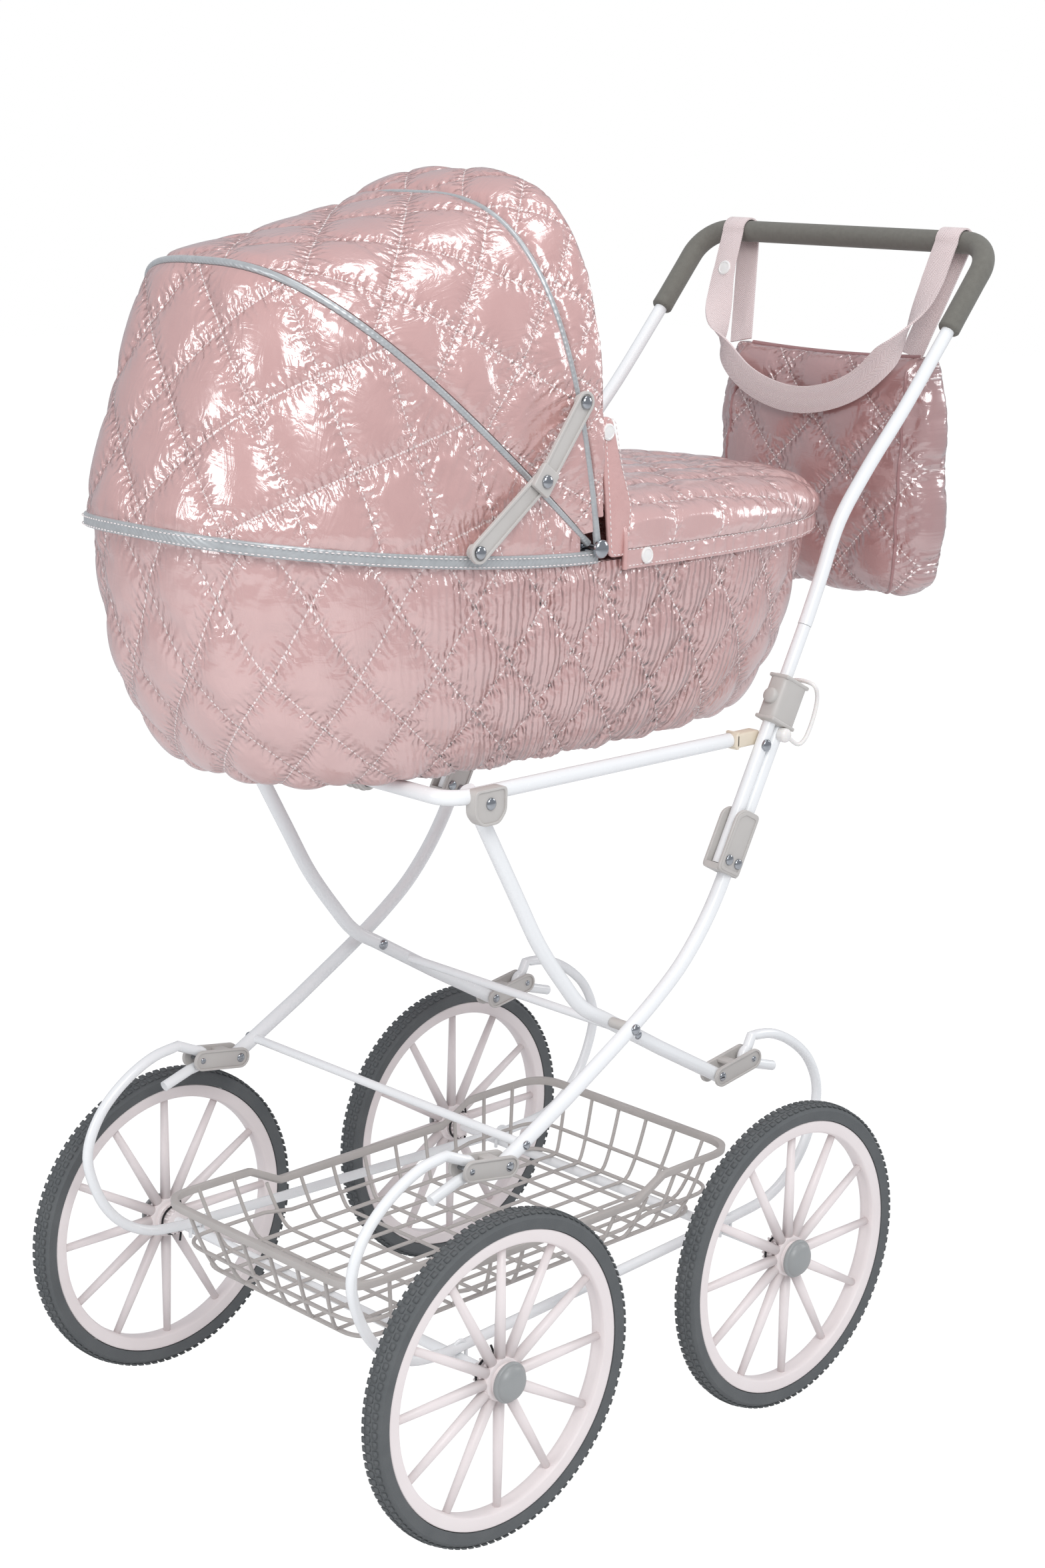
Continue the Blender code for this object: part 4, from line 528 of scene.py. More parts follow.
# Powder coat: smooth and glossy with a very faint orange peel of about 2 mm.
white_coat = skin("white_powder_coat", "#F2F4F5", 0.25, 0.03, 0.002, 0.000002, IOR=1.5, Coat_Weight=0.3,
                  Coat_Roughness=0.12)


def at(x, y, z):
    """A place given from the middle of the wheelbase."""
    return Vector((x + MID_X, y, z))


def smooth_route(points, spacing):
    """Points along a smooth curve through the given ones."""
    knots = [Vector(p) for p in points]
    route = []
    for i in range(len(knots) - 1):
        here, there = knots[i], knots[i + 1]
        before = knots[i - 1] if i else here * 2 - there
        after = knots[i + 2] if i + 2 < len(knots) else there * 2 - here
        length = (there - here).length
        t1 = math.sqrt((here - before).length)
        t2 = t1 + math.sqrt(length)
        t3 = t2 + math.sqrt((after - there).length)
        steps = max(1, round(length / spacing))
        for k in range(steps):
            t = t1 + (t2 - t1) * k / steps
            a = before.lerp(here, t / t1)
            b = here.lerp(there, (t - t1) / (t2 - t1))
            c = there.lerp(after, (t - t2) / (t3 - t2))
            route.append(a.lerp(b, t / t2).lerp(b.lerp(c, (t - t1) / (t3 - t1)), (t - t1) / (t2 - t1)))
    return route + [knots[-1]]


def corner_arc(before, corner, after, radius, steps):
    """The arc of a bend with a given radius at a corner of a tube's route."""
    one = (before - corner).normalized()
    two = (after - corner).normalized()
    half_angle = one.angle(two) / 2
    centre = corner + (one + two).normalized() * radius / math.sin(half_angle)
    start = corner + one * radius / math.tan(half_angle) - centre
    end = corner + two * radius / math.tan(half_angle) - centre
    return [centre + start.slerp(end, k / steps).normalized() * radius for k in range(steps + 1)]


def flipped(route):
    """The right-hand copy of a left-hand route, run the other way."""
    return [Vector((p.x, -p.y, p.z)) for p in reversed(route)]


def tube(name, route, radius, body, node_name, sides=24):
    """A white tube along a route, in place of its CAD node."""
    return dress(merged(name, [swept(route, radius, sides)], white_coat), body, "white_paint", node_name)


REAR_LEG_Y = 0.1262
SIDE_Y = 0.1505
FRONT_HOOK = (0.1532, 0.2643)
REAR_HOOK = (-0.1743, 0.2628)
SPRING_BOW = [(0.1720, 0.2790), (0.1950, 0.2755), (0.2200, 0.2637), (0.2422, 0.2451), (0.2541, 0.2250),
              (0.2572, 0.2100), (0.2550, 0.1960), (0.2434, 0.1689), (0.2254, 0.1486), (0.2010, 0.1355)]
SPRING_Z = 0.13042
SPRING_ROD = 0.004
HOOK_BEND = 0.0062


def spring_place(x, z):
    """A place on the left spring, which runs outwards from the rear leg's plane to the front leg's."""
    share = min(1.0, max(0.0, (x - REAR_HOOK[0]) / (FRONT_HOOK[0] - REAR_HOOK[0])))
    return at(x, REAR_LEG_Y + (SIDE_Y - REAR_LEG_Y) * share, z)


def hook_route(hook, outward):
    """In from the outside, round the shackle's pin, and out again as a short stub."""
    places = [(hook[0] + outward * 0.0320, hook[1] - 0.0150), (hook[0] + outward * 0.0080, hook[1] - 0.0074)]
    for k in range(13):
        angle = -math.pi / 2 - math.pi * k / 12
        places.append((hook[0] + outward * HOOK_BEND * math.cos(angle), hook[1] + HOOK_BEND * math.sin(angle)))
    return [spring_place(x, z) for x, z in places]


front_run = [spring_place(x, z) for x, z in SPRING_BOW + [(WHEELBASE / 2 + 0.01435, SPRING_Z)]]
rear_run = [spring_place(x, z) for x, z in [(-WHEELBASE / 2 - 0.006, SPRING_Z)]
            + [(-x - 0.0075, z) for x, z in reversed(SPRING_BOW)]]
spring_route = hook_route(FRONT_HOOK, 1.0) + smooth_route(front_run, 0.006) + smooth_route(rear_run, 0.006)
spring_route += list(reversed(hook_route(REAR_HOOK, -1.0)))
tube("look_spring_left", spring_route, SPRING_ROD, "chassis", "spring_left", sides=18)
tube("look_spring_right", flipped(spring_route), SPRING_ROD, "chassis", "spring_right", sides=18)
for end, x in (("front", WHEELBASE / 2), ("rear", -WHEELBASE / 2)):
    reach = TRACK / 2 + 0.008
    tube("look_axle_" + end, [at(x, -reach, AXLE_Z), at(x, reach, AXLE_Z)], 0.004, "chassis", "axle_" + end)

# Saddles: a flat steel clip holds each spring down on each axle
saddles = []
saddle_reach = 0.0061
for x in (WHEELBASE / 2, -WHEELBASE / 2):
    for sign in (1, -1):
        y = abs(spring_place(x, 0.0).y) * sign
        arch = [at(x + saddle_reach * math.cos(a), y, SPRING_Z - 0.0005 + 0.0056 * math.sin(a))
                for a in np.linspace(0, math.pi, 9)]
        arch = [at(x + saddle_reach, y, AXLE_Z - 0.004)] + arch + [at(x - saddle_reach, y, AXLE_Z - 0.004)]
        saddles.append(swept(arch, 0.0014, 8))
dress(merged("look_spring_saddles", saddles, white_coat), "chassis", "white_paint")


# Shackles
# Each leg ends in a clevis moulded in grey ABS, with raised rims on its cheeks and two steel rivets through it.

# Chromed steel: a clear mirror with faint polishing scratches.
chrome = skin("chromed_steel", "#A9ADB2", 0.13, 0.05, 0.0003, 0.000004, Metallic=1.0)


def stadium(start, end, start_radius, end_radius, steps=14):
    """The outline of a strap with round ends, in the side view."""
    run = Vector(end) - Vector(start)
    lean = math.atan2(run.y, run.x)
    outline = []
    for centre, radius, first in ((end, end_radius, lean - math.pi / 2),
                                  (start, start_radius, lean + math.pi / 2)):
        for k in range(steps + 1):
            angle = first + math.pi * k / steps
            outline.append((centre[0] + radius * math.cos(angle), centre[1] + radius * math.sin(angle)))
    return outline


def plate(outlines, low_y, high_y, edge=0.0006):
    """Vertices and faces of a flat plate with rounded edges: its outline and its holes in the side view."""
    curve = bpy.data.curves.new("plate", "CURVE")
    curve.dimensions = "2D"
    curve.fill_mode = "BOTH"
    curve.extrude = (high_y - low_y) / 2 - edge
    curve.bevel_depth = edge
    curve.bevel_resolution = 2
    curve.offset = -edge
    for outline in outlines:
        line = curve.splines.new("POLY")
        line.points.add(len(outline) - 1)
        for point, (x, z) in zip(line.points, outline):
            point.co = (x + MID_X, z, 0.0, 1.0)
        line.use_cyclic_u = True
    guide = bpy.data.objects.new("plate", curve)
    scene.collection.objects.link(guide)
    mesh = plain_mesh(guide, "plate")
    mesh.transform(Matrix.Translation((0.0, (low_y + high_y) / 2, 0.0)) @ Matrix.Rotation(math.pi / 2, 4, "X"))
    welded = bmesh.new()
    welded.from_mesh(mesh)
    bmesh.ops.remove_doubles(welded, verts=welded.verts, dist=0.000002)
    bmesh.ops.recalc_face_normals(welded, faces=welded.faces)
    shape = [v.co.copy() for v in welded.verts], [[v.index for v in f.verts] for f in welded.faces]
    welded.free()
    bpy.data.meshes.remove(mesh)
    return shape


def plates(outlines, middle, inner, outer, edge=0.0006):
    """The same plate on both sides of a middle plane, between two distances from it."""
    return [plate(outlines, *sorted((middle + sign * inner, middle + sign * outer)), edge) for sign in (1, -1)]


def turned(profile, steps, place, direction):
    """A profile turned about Z, then pointed in a direction at a place."""
    verts, faces = lathed(profile, steps)
    turn = Vector(direction).to_track_quat("Z", "Y").to_matrix()
    return [turn @ Vector(v) + Vector(place) for v in verts], faces


def dome(place, direction, radius, height, rim=0.0):
    """A domed rivet head that stands on a place."""
    profile = [(0.0, -0.0006), (radius, -0.0006), (radius, rim)]
    profile += [(radius * math.cos(a), rim + (height - rim) * math.sin(a))
                for a in np.linspace(0.2, math.pi / 2, 6)]
    return turned(profile, 24, place, direction)


def bar(low, high, edge=0.0008, steps=2):
    """A box between two corners with rounded edges, as vertices and faces."""
    solid = bmesh.new()
    bmesh.ops.create_cube(solid, size=1.0)
    for vert in solid.verts:
        vert.co = [low[i] if vert.co[i] < 0 else high[i] for i in range(3)]
    bmesh.ops.bevel(solid, geom=list(solid.edges), offset=edge, segments=steps, profile=0.5, affect="EDGES")
    solid.verts.index_update()
    shape = [v.co.copy() for v in solid.verts], [[v.index for v in f.verts] for f in solid.faces]
    solid.free()
    return shape


def mirrored(shapes):
    """The right-hand copies of left-hand shapes."""
    return [([Vector((v[0], -v[1], v[2])) for v in verts], [list(reversed(face)) for face in faces])
            for verts, faces in shapes]


def both_sides(name, shapes, material, body, slot_name, *node_names):
    """A left-hand piece and its mirror image, each in place of its CAD nodes."""
    for side, some in (("left", shapes), ("right", mirrored(shapes))):
        rides = body + "_" + side if body.startswith("lock_") else body
        nodes = [node + "_" + side for node in node_names]
        dress(merged(name + "_" + side, some, material), rides, slot_name, *nodes)


CHEEK_INNER = 0.0059
CHEEK_OUTER = 0.0086


def shackle_shapes(bolt, hook, y):
    """A clevis: two cheeks with raised rims, and a web that joins them beside the bolt."""
    outline = stadium(bolt, hook, 0.008, 0.008)
    inside = stadium(bolt, hook, 0.0062, 0.0062)
    forward = 1.0 if hook[0] > bolt[0] else -1.0
    near_x, far_x = sorted((bolt[0] + forward * 0.0085, bolt[0] + forward * 0.0185))
    web_y = CHEEK_INNER + 0.001
    return (plates([outline], y, CHEEK_INNER, CHEEK_OUTER - 0.0008)
            + plates([outline, inside], y, CHEEK_OUTER - 0.0010, CHEEK_OUTER + 0.0002, 0.0004)
            + [bar(at(near_x, y - web_y, bolt[1] + 0.0062), at(far_x, y + web_y, bolt[1] + 0.0090))])


FRONT_BOLT = (0.1165, 0.2585)
REAR_BOLT = (-0.1376, 0.2570)
SHACKLES = (("front", FRONT_BOLT, FRONT_HOOK, SIDE_Y), ("rear", REAR_BOLT, REAR_HOOK, REAR_LEG_Y))
for end, bolt, hook, y in SHACKLES:
    both_sides("look_" + end + "_shackle", shackle_shapes(bolt, hook, y), grey_plastic, end + "_shackles",
               "grey_plastic", end + "_shackle")
pin_reach = 0.0078
for end, bolt, hook, y in SHACKLES:
    rivets = [swept([at(hook[0], y - pin_reach, hook[1]), at(hook[0], y + pin_reach, hook[1])], 0.0017, 14)]
    for sign in (1, -1):
        rivets.append(dome(at(bolt[0], y + sign * pin_reach, bolt[1]), (0, sign, 0), 0.0036, 0.0016))
        rivets.append(dome(at(hook[0], y + sign * pin_reach, hook[1]), (0, sign, 0), 0.0024, 0.0012))
    both_sides("look_" + end + "_shackle_rivets", rivets, chrome, end + "_shackles", "chrome")


# Legs
# Four bent steel tubes cross in an X a side; a spacer and a rivet join each pair at the crossing.

LEG_TUBE = 0.0055
LEG_CROSSING = (-0.0123, 0.3295)
PAIR_START = (-0.1155, 0.4370)
PAIR_ANGLE = math.radians(117.5)


def on_pair(along_leg, across, y):
    """A place on the tube pair: along the front leg's upper end, and forward of its axis."""
    c, s = math.cos(PAIR_ANGLE), math.sin(PAIR_ANGLE)
    return at(PAIR_START[0] + along_leg * c + across * s, y, PAIR_START[1] + along_leg * s - across * c)


def past(before, end, distance):
    """A place beyond a run's end, in the side view."""
    run = Vector(end) - Vector(before)
    return tuple(Vector(end) + run.normalized() * distance)


front_bends = [(-0.1020, 0.4125), (-0.0850, 0.3885), (-0.0640, 0.3660), (-0.0400, 0.3475), LEG_CROSSING,
               (0.0529, 0.2918)]
rear_bends = [(0.0826, 0.4400), (0.0608, 0.4027), (0.0353, 0.3690), (0.0150, 0.3460), LEG_CROSSING,
              (-0.0730, 0.2935)]
CARRIER_BOLT = (0.1305, 0.5240)
toe = past(front_bends[-1], FRONT_BOLT, 0.0055)
front_leg = [on_pair(0.124, 0.0, SIDE_Y)]
front_leg += smooth_route([on_pair(0.012, 0.0, SIDE_Y)] + [at(x, SIDE_Y, z) for x, z in front_bends], 0.007)
front_leg += [at(toe[0], SIDE_Y, toe[1])]
head = past(rear_bends[0], CARRIER_BOLT, 0.0055)
toe = past(rear_bends[-1], REAR_BOLT, 0.0055)
rear_leg = [at(head[0], REAR_LEG_Y, head[1])]
rear_leg += smooth_route([at(x, REAR_LEG_Y, z) for x, z in rear_bends], 0.007)
rear_leg += [at(toe[0], REAR_LEG_Y, toe[1])]
for side, turn_side in (("left", list), ("right", flipped)):
    tube("look_front_leg_" + side, turn_side(front_leg), LEG_TUBE, "front_legs", "front_leg_" + side)
    tube("look_rear_leg_" + side, turn_side(rear_leg), LEG_TUBE, "rear_legs", "rear_leg_" + side)

crossing_x, crossing_z = LEG_CROSSING
spacer = swept([at(crossing_x, REAR_LEG_Y + 0.0058, crossing_z), at(crossing_x, SIDE_Y - 0.003, crossing_z)],
               0.004, 24)
both_sides("look_crossing_spacer", [spacer], grey_plastic, "front_legs", "grey_plastic")
rivets = [dome(at(crossing_x, REAR_LEG_Y - 0.0055, crossing_z), (0, -1, 0), 0.0042, 0.0024),
          dome(at(crossing_x, SIDE_Y + 0.0053, crossing_z), (0, 1, 0), 0.0042, 0.0024)]

# Cross bars hold the legs apart; a small rivet head shows outside each leg
for label, x, lower, leg_y, body in (("front", 0.0980, FRONT_BOLT, SIDE_Y, "front_legs"),
                                     ("rear", -0.0420, REAR_BOLT, REAR_LEG_Y, "rear_legs")):
    z = crossing_z + (lower[1] - crossing_z) * (x - crossing_x) / (lower[0] - crossing_x)
    reach = leg_y - 0.0045
    tube("look_" + label + "_cross_bar", [at(x, -reach, z), at(x, reach, z)], 0.0033, body,
         label + "_cross_bar", sides=18)
    head_shape = dome(at(x, leg_y + 0.0052, z), (0, 1, 0), 0.0034, 0.0018)
    if label == "front":
        rivets.append(head_shape)
    else:
        both_sides("look_rear_cross_bar_rivet", [head_shape], chrome, "rear_legs", "chrome")
both_sides("look_front_leg_rivets", rivets, chrome, "front_legs", "chrome")


# Clamps
# A folded ABS clamp on each front leg holds the handle's lower tube between two plates with two bolts.


def pair_outline(corners, radius):
    """A rounded outline laid on the tube pair, in the side view."""
    places = [on_pair(a, c, 0.0) for a, c in rounded(corners, radius, 4)]
    return [(p.x - MID_X, p.z) for p in places]


CLAMP_LOW = (-0.010, -0.0065)
CLAMP_ACROSS = 0.0193
cheek = pair_outline([CLAMP_LOW, (0.040, CLAMP_LOW[1]), (0.040, 0.0120), (0.034, CLAMP_ACROSS),
                      (CLAMP_LOW[0], CLAMP_ACROSS)], 0.004)
rim = pair_outline([(-0.0085, -0.005), (0.0385, -0.005), (0.0385, 0.0113), (0.033, 0.0178), (-0.0085, 0.0178)],
                   0.003)
field = pair_outline([(-0.006, -0.003), (0.036, -0.003), (0.036, 0.0100), (0.0315, 0.0155), (-0.006, 0.0155)],
                     0.002)
clamp = plates([cheek], SIDE_Y, 0.0059, 0.0084, 0.0007) + plates([rim, field], SIDE_Y, 0.0082, 0.0090, 0.0003)
fold = [on_pair(a, c, SIDE_Y + y) for a in (CLAMP_LOW[0], -0.0054) for c in (CLAMP_LOW[1], CLAMP_ACROSS)
        for y in (-0.0065, 0.0065)]
clamp.append((fold, [(0, 1, 3, 2), (4, 6, 7, 5), (0, 4, 5, 1), (2, 3, 7, 6), (0, 2, 6, 4), (1, 5, 7, 3)]))
both_sides("look_handle_clamp", clamp, grey_plastic, "front_legs", "grey_plastic", "handle_clamp")
LOWER_ACROSS = 0.0113  # from the leg's axis to the handle tube's
bolts = [dome(on_pair(0.0, across, SIDE_Y + sign * 0.0086), (0, sign, 0), 0.0040, 0.0022, 0.0006)
         for across in (LOWER_ACROSS, 0.0) for sign in (1, -1)]
both_sides("look_clamp_bolts", bolts, chrome, "front_legs", "chrome")


# Handle
# Two lower tubes plug into the bent upper tube, whose bar is sleeved in grey foam from arm to arm.

# Closed-cell foam: matt, with cells of about a millimetre that show as fine pitting.
foam, tree, shader = new_material("closed_cell_grip_foam", "#7A7972", 0.9, IOR=1.4, Sheen_Weight=0.15)
cells = add_node(tree, "ShaderNodeTexVoronoi", {"Scale": 1 / 0.0009}, {"Vector": object_place(tree)})
bumped(tree, shader, cells.outputs["Distance"], 0.6, 0.0002)
tinted(tree, shader, "#7A7972", "#6D6B65", 0.004)

for side, y in (("left", SIDE_Y), ("right", -SIDE_Y)):
    ends = [on_pair(along, LOWER_ACROSS, y) for along in (-0.0045, 0.1867)]
    tube("look_handle_lower_tube_" + side, ends, 0.005, "handle", "handle_lower_tube_" + side)
knots = [on_pair(0.193, LOWER_ACROSS, SIDE_Y)]
knots += [at(x, SIDE_Y, z) for x, z in [(-0.2090, 0.6440), (-0.2270, 0.6830), (-0.2560, 0.7185),
                                        (-0.3000, 0.7640), (-0.3490, 0.8195)]]
GRIP_BAR = (-0.4057, 0.8864)
GRIP_RADIUS = 0.0088
grip_start = at(-0.3504, SIDE_Y, 0.8211)
grip_bend = corner_arc(grip_start, at(GRIP_BAR[0], SIDE_Y, GRIP_BAR[1]), at(GRIP_BAR[0], 0.0, GRIP_BAR[1]),
                       0.028, 14)
half_handle = [on_pair(0.187, LOWER_ACROSS, SIDE_Y)] + smooth_route(knots, 0.009) + grip_bend
tube("look_handle_tube", half_handle + flipped(half_handle), 0.0053, "handle", "handle_tube")

# The foam's ends are rounded over, and it has a slight lip there
grip_direction = (grip_bend[0] - grip_start).normalized()
half_grip = [grip_start + grip_direction * d for d in (0.0, 0.0006, 0.0020, 0.0040)]
half_grip += [grip_start.lerp(grip_bend[0], t) for t in (0.2, 0.5, 0.8)] + grip_bend
half_shares = [0.70, 0.90, 1.0, 1.0] + [0.985] * 3 + [1.0] * len(grip_bend)
grip = merged("look_handle_grip", [swept(half_grip + flipped(half_grip), GRIP_RADIUS, 32,
                                         shares=half_shares + half_shares[::-1])], foam)
dress(grip, "handle", "grip_foam", "handle_grip")


# Lock sleeves and bails
# A grey ABS sleeve slides on each lower tube over the leg's top; a white nylon bail turns over it to lock it.

# Moulded nylon: white and slightly waxy.
white_nylon = skin("moulded_white_nylon", "#EFEBE8", 0.4, 0.05, 0.0005, 0.00002, IOR=1.53,
                   Subsurface_Weight=0.05)


def pair_block(along_range, across_range, y_range, edge):
    """A rounded block laid along the tube pair."""
    low, high = zip(along_range, across_range, y_range)
    verts, faces = bar(low, high, edge, 4)
    return [on_pair(*v) for v in verts], faces


SLEEVE_SIDE = 0.0085
sleeve = [pair_block((0.108, 0.146), (-0.0085, 0.0193), (SIDE_Y - SLEEVE_SIDE, SIDE_Y + SLEEVE_SIDE), 0.0042)]
collar_side = SLEEVE_SIDE + 0.0006
for low in (0.1090, 0.1420):
    sleeve.append(pair_block((low, low + 0.0030), (-0.0091, 0.0199),
                             (SIDE_Y - collar_side, SIDE_Y + collar_side), 0.0012))
knob = [(0.0, -0.001), (0.0058, -0.001), (0.0060, 0.0030), (0.0056, 0.0042), (0.0040, 0.0052), (0.0, 0.0056)]
sleeve.append(turned(knob, 28, on_pair(0.127, 0.0185, SIDE_Y), on_pair(0, 1, 0) - on_pair(0, 0, 0)))
both_sides("look_lock_sleeve", sleeve, grey_plastic, "lock_sleeve", "grey_plastic", "lock_sleeve")

BAIL_SIDE = 0.0106
bail_side = [(0.1035, 0.0), (0.1025, -0.017), (0.1095, -0.0225), (0.140, -0.0200), (0.148, -0.0108)]
bail_knots = [on_pair(a, c, SIDE_Y + BAIL_SIDE) for a, c in bail_side]
bail_knots += [on_pair(a, c, SIDE_Y - BAIL_SIDE) for a, c in reversed(bail_side)]
bail = [swept(smooth_route(bail_knots, 0.0025), 0.0016, 12)]
for sign in (1, -1):
    bail.append(dome(on_pair(0.1035, 0.0, SIDE_Y + sign * 0.0059), (0, sign, 0), 0.0054, 0.0072, 0.0040))
both_sides("look_lock_bail", bail, white_nylon, "lock_bail", "white_plastic", "lock_bail")


# Carrier
# A bent tube loop carries the carrycot: beige nylon plugs at its rear ends, ABS brackets at the rear legs.

# Moulded nylon in beige, for the plugs: slightly waxy, like the white.
beige_nylon = skin("moulded_beige_nylon", "#E8DCC8", 0.42, 0.05, 0.0005, 0.00002, IOR=1.53)

CARRIER_Y = 0.1375
CARRIER_Z = 0.5268
CARRIER_FRONT = 0.1600
carrier_rear = at(-0.1250, CARRIER_Y, CARRIER_Z)
carrier_bend = corner_arc(carrier_rear, at(CARRIER_FRONT, CARRIER_Y, CARRIER_Z),
                          at(CARRIER_FRONT, 0.0, CARRIER_Z), 0.018, 12)
half_carrier = [carrier_rear] + carrier_bend
tube("look_carrier_frame", half_carrier + flipped(half_carrier), LEG_TUBE, "carrier", "carrier_frame")
plug = [bar(at(-0.1513, 0.1342, 0.5213), at(-0.1253, 0.1451, 0.5323), 0.0016, 3),
        bar(at(-0.1290, 0.1330, 0.5201), at(-0.1260, 0.1451, 0.5335), 0.0010, 2)]
both_sides("look_carrier_plug", plug, beige_nylon, "carrier", "beige_plastic", "carrier_plug")
handle_pivot = on_pair(0.0907, LOWER_ACROSS, 0.0)
bolts = [dome((handle_pivot.x, SIDE_Y + 0.0047, handle_pivot.z), (0, 1, 0), 0.0046, 0.0026, 0.0008)]
both_sides("look_carrier_plug_bolt", bolts, chrome, "handle", "chrome")
bracket_outline = rounded([(0.1155, 0.5323), (0.1455, 0.5323), (0.1455, 0.5143), (0.1385, 0.5063),
                           (0.1225, 0.5063), (0.1155, 0.5143)], 0.004, 4)
bracket_inner = rounded([(0.1175, 0.5303), (0.1435, 0.5303), (0.1435, 0.5151), (0.1376, 0.5083),
                         (0.1234, 0.5083), (0.1175, 0.5151)], 0.003, 4)
bracket = [plate([bracket_outline], 0.1376, 0.1468, 0.0008),
           plate([bracket_outline, bracket_inner], 0.1460, 0.1478, 0.0005)]
both_sides("look_carrier_bracket", bracket, grey_plastic, "carrier", "grey_plastic", "carrier_bracket")
bolts = [dome(at(0.1305, 0.1466, 0.5215), (0, 1, 0), 0.0044, 0.0026, 0.0008)]
both_sides("look_carrier_bracket_bolt", bolts, chrome, "carrier", "chrome")

# Latch: an ABS clip that hooks round the carrier's front run, with two grip ribs
hook_inner = 0.0059
hook_outline = []
for radius, order in ((hook_inner, range(17)), (hook_inner + 0.0025, range(16, -1, -1))):
    for k in order:
        angle = math.radians(190.0) + math.pi * k / 16
        hook_outline.append((CARRIER_FRONT + radius * math.cos(angle), CARRIER_Z + radius * math.sin(angle)))
latch = [plate([hook_outline], 0.0340, 0.0560, 0.0006)]
rib_radius = hook_inner + 0.0027
for y in (0.0385, 0.0450, 0.0515):
    rib = [at(CARRIER_FRONT + rib_radius * math.cos(a), y, CARRIER_Z + rib_radius * math.sin(a))
           for a in np.linspace(3.7, 5.9, 9)]
    latch.append(swept(rib, 0.0008, 8))
dress(merged("look_carrycot_latch", latch, grey_plastic), "latch", "grey_plastic", "carrycot_latch")


# Basket
# A tray moulded in warm grey polypropylene: ribs run down from a thick rim and across its floor as a grid.

basket_plastic = skin("moulded_grey_polypropylene", "#C2BDB9", 0.5, 0.06, 0.0006, 0.00003, "#B3AEAA", 0.03,
                      IOR=1.49)

rib_tree, start = geometry_tree("moulded_ribs", ("Radius",))
lines = add_node(rib_tree, "GeometryNodeMeshToCurve", links={0: start.outputs["Guide"]})
round_section = add_node(rib_tree, "GeometryNodeCurvePrimitiveCircle", {"Resolution": 8},
                         {"Radius": start.outputs["Radius"]})
ribs = add_node(rib_tree, "GeometryNodeCurveToMesh", {"Fill Caps": True},
                {"Curve": lines.outputs[0], "Profile Curve": round_section.outputs[0]})
end_tree(rib_tree, start, ribs.outputs[0])

BASKET_X = 0.0180
FLOOR_Z = 0.1277
FLOOR_HALF = (0.1780, 0.0920)
RIM_HALF = (0.2010, 0.1090)
RIM_LOW = 0.1650
RIM_HIGH = 0.1800
RIBS_ALONG = 12
RIBS_ACROSS = 7


def basket_place(u, v, level):
    """A place on the basket: u along and v across from -1 to 1, and level 0 on the floor to 1 on the rim."""
    side = min(1.0, level) ** 0.8
    length, width = (low + (high - low) * side for low, high in zip(FLOOR_HALF, RIM_HALF))
    step = min(1.0, max(0.0, (abs(u) - 0.50) / 0.09))
    rim_height = RIM_LOW + (RIM_HIGH - RIM_LOW) * step * step * (3 - 2 * step)
    return at(BASKET_X + length * u, width * v, FLOOR_Z + (rim_height - FLOOR_Z) * level ** 1.25)


def rib_line(fixed, along_u):
    """One rib: down from the rim, across the floor and up to the rim again."""
    runs = [(-1.0, level) for level in np.linspace(1.0, 0.0, 9)[:-1]]
    runs += [(run, 0.0) for run in np.linspace(-1.0, 1.0, 15)]
    runs += [(1.0, level) for level in np.linspace(0.0, 1.0, 9)[1:]]
    return [basket_place(*((run, fixed) if along_u else (fixed, run)), level) for run, level in runs]


def chained(lines_of):
    """The verts and edges of several lines of places."""
    verts = []
    edges = []
    for line in lines_of:
        edges += [(len(verts) + i, len(verts) + i + 1) for i in range(len(line) - 1)]
        verts += list(line)
    return verts, edges


rib_lines = [rib_line(2 * k / count - 1, along_u)
             for along_u, count in ((True, RIBS_ACROSS), (False, RIBS_ALONG)) for k in range(1, count)]
basket_ribs = grown("look_basket_ribs", *chained(rib_lines), rib_tree, basket_plastic, Radius=0.0015)
dress(basket_ribs, "chassis", "basket_plastic")

basket_plan = rounded([(sign_x * RIM_HALF[0], sign_y * RIM_HALF[1])
                       for sign_x, sign_y in ((-1, -1), (1, -1), (1, 1), (-1, 1))], 0.026, 8)
basket_plan = [tuple(Vector(a).lerp(Vector(b), t / 12))
               for a, b in zip(basket_plan, basket_plan[1:] + basket_plan[:1])
               for t in range(12 if math.dist(a, b) > 0.02 else 1)]


def basket_ring(level, lift, out):
    """A line round the basket at a level, lifted and moved outwards."""
    ring = []
    for x, y in basket_plan:
        place = basket_place(x / RIM_HALF[0], y / RIM_HALF[1], level)
        middle = at(BASKET_X, 0.0, place.z)
        ring.append(place + (place - middle).normalized() * out + Vector((0.0, 0.0, lift)))
    return ring


rim_section = rounded([(-0.0026, -0.0042), (0.0030, -0.0042), (0.0034, 0.0020), (-0.0026, 0.0020)], 0.0014, 2)
rim_verts = [v for out, lift in rim_section for v in basket_ring(1.0, lift, out)]
rim_faces = grid_faces(len(rim_section), len(basket_plan), ring=True)
lower_hoop = swept(basket_ring(0.42, 0.0, 0.0), 0.0016, 8, closed=True)
foot_hoop = swept(basket_ring(0.0, 0.0, 0.0), 0.0017, 8, closed=True)
basket = merged("look_basket_rim", [(rim_verts, rim_faces), lower_hoop, foot_hoop], basket_plastic)
dress(basket, "chassis", "basket_plastic", "basket")


# Carrycot tub
# A stiff shell covered in pearly rose satin, quilted in diamonds over 5 mm wadding and drawn in at its bottom.
# The satin is laid over the shell's plan outline and raised in pillows between crossing seams.

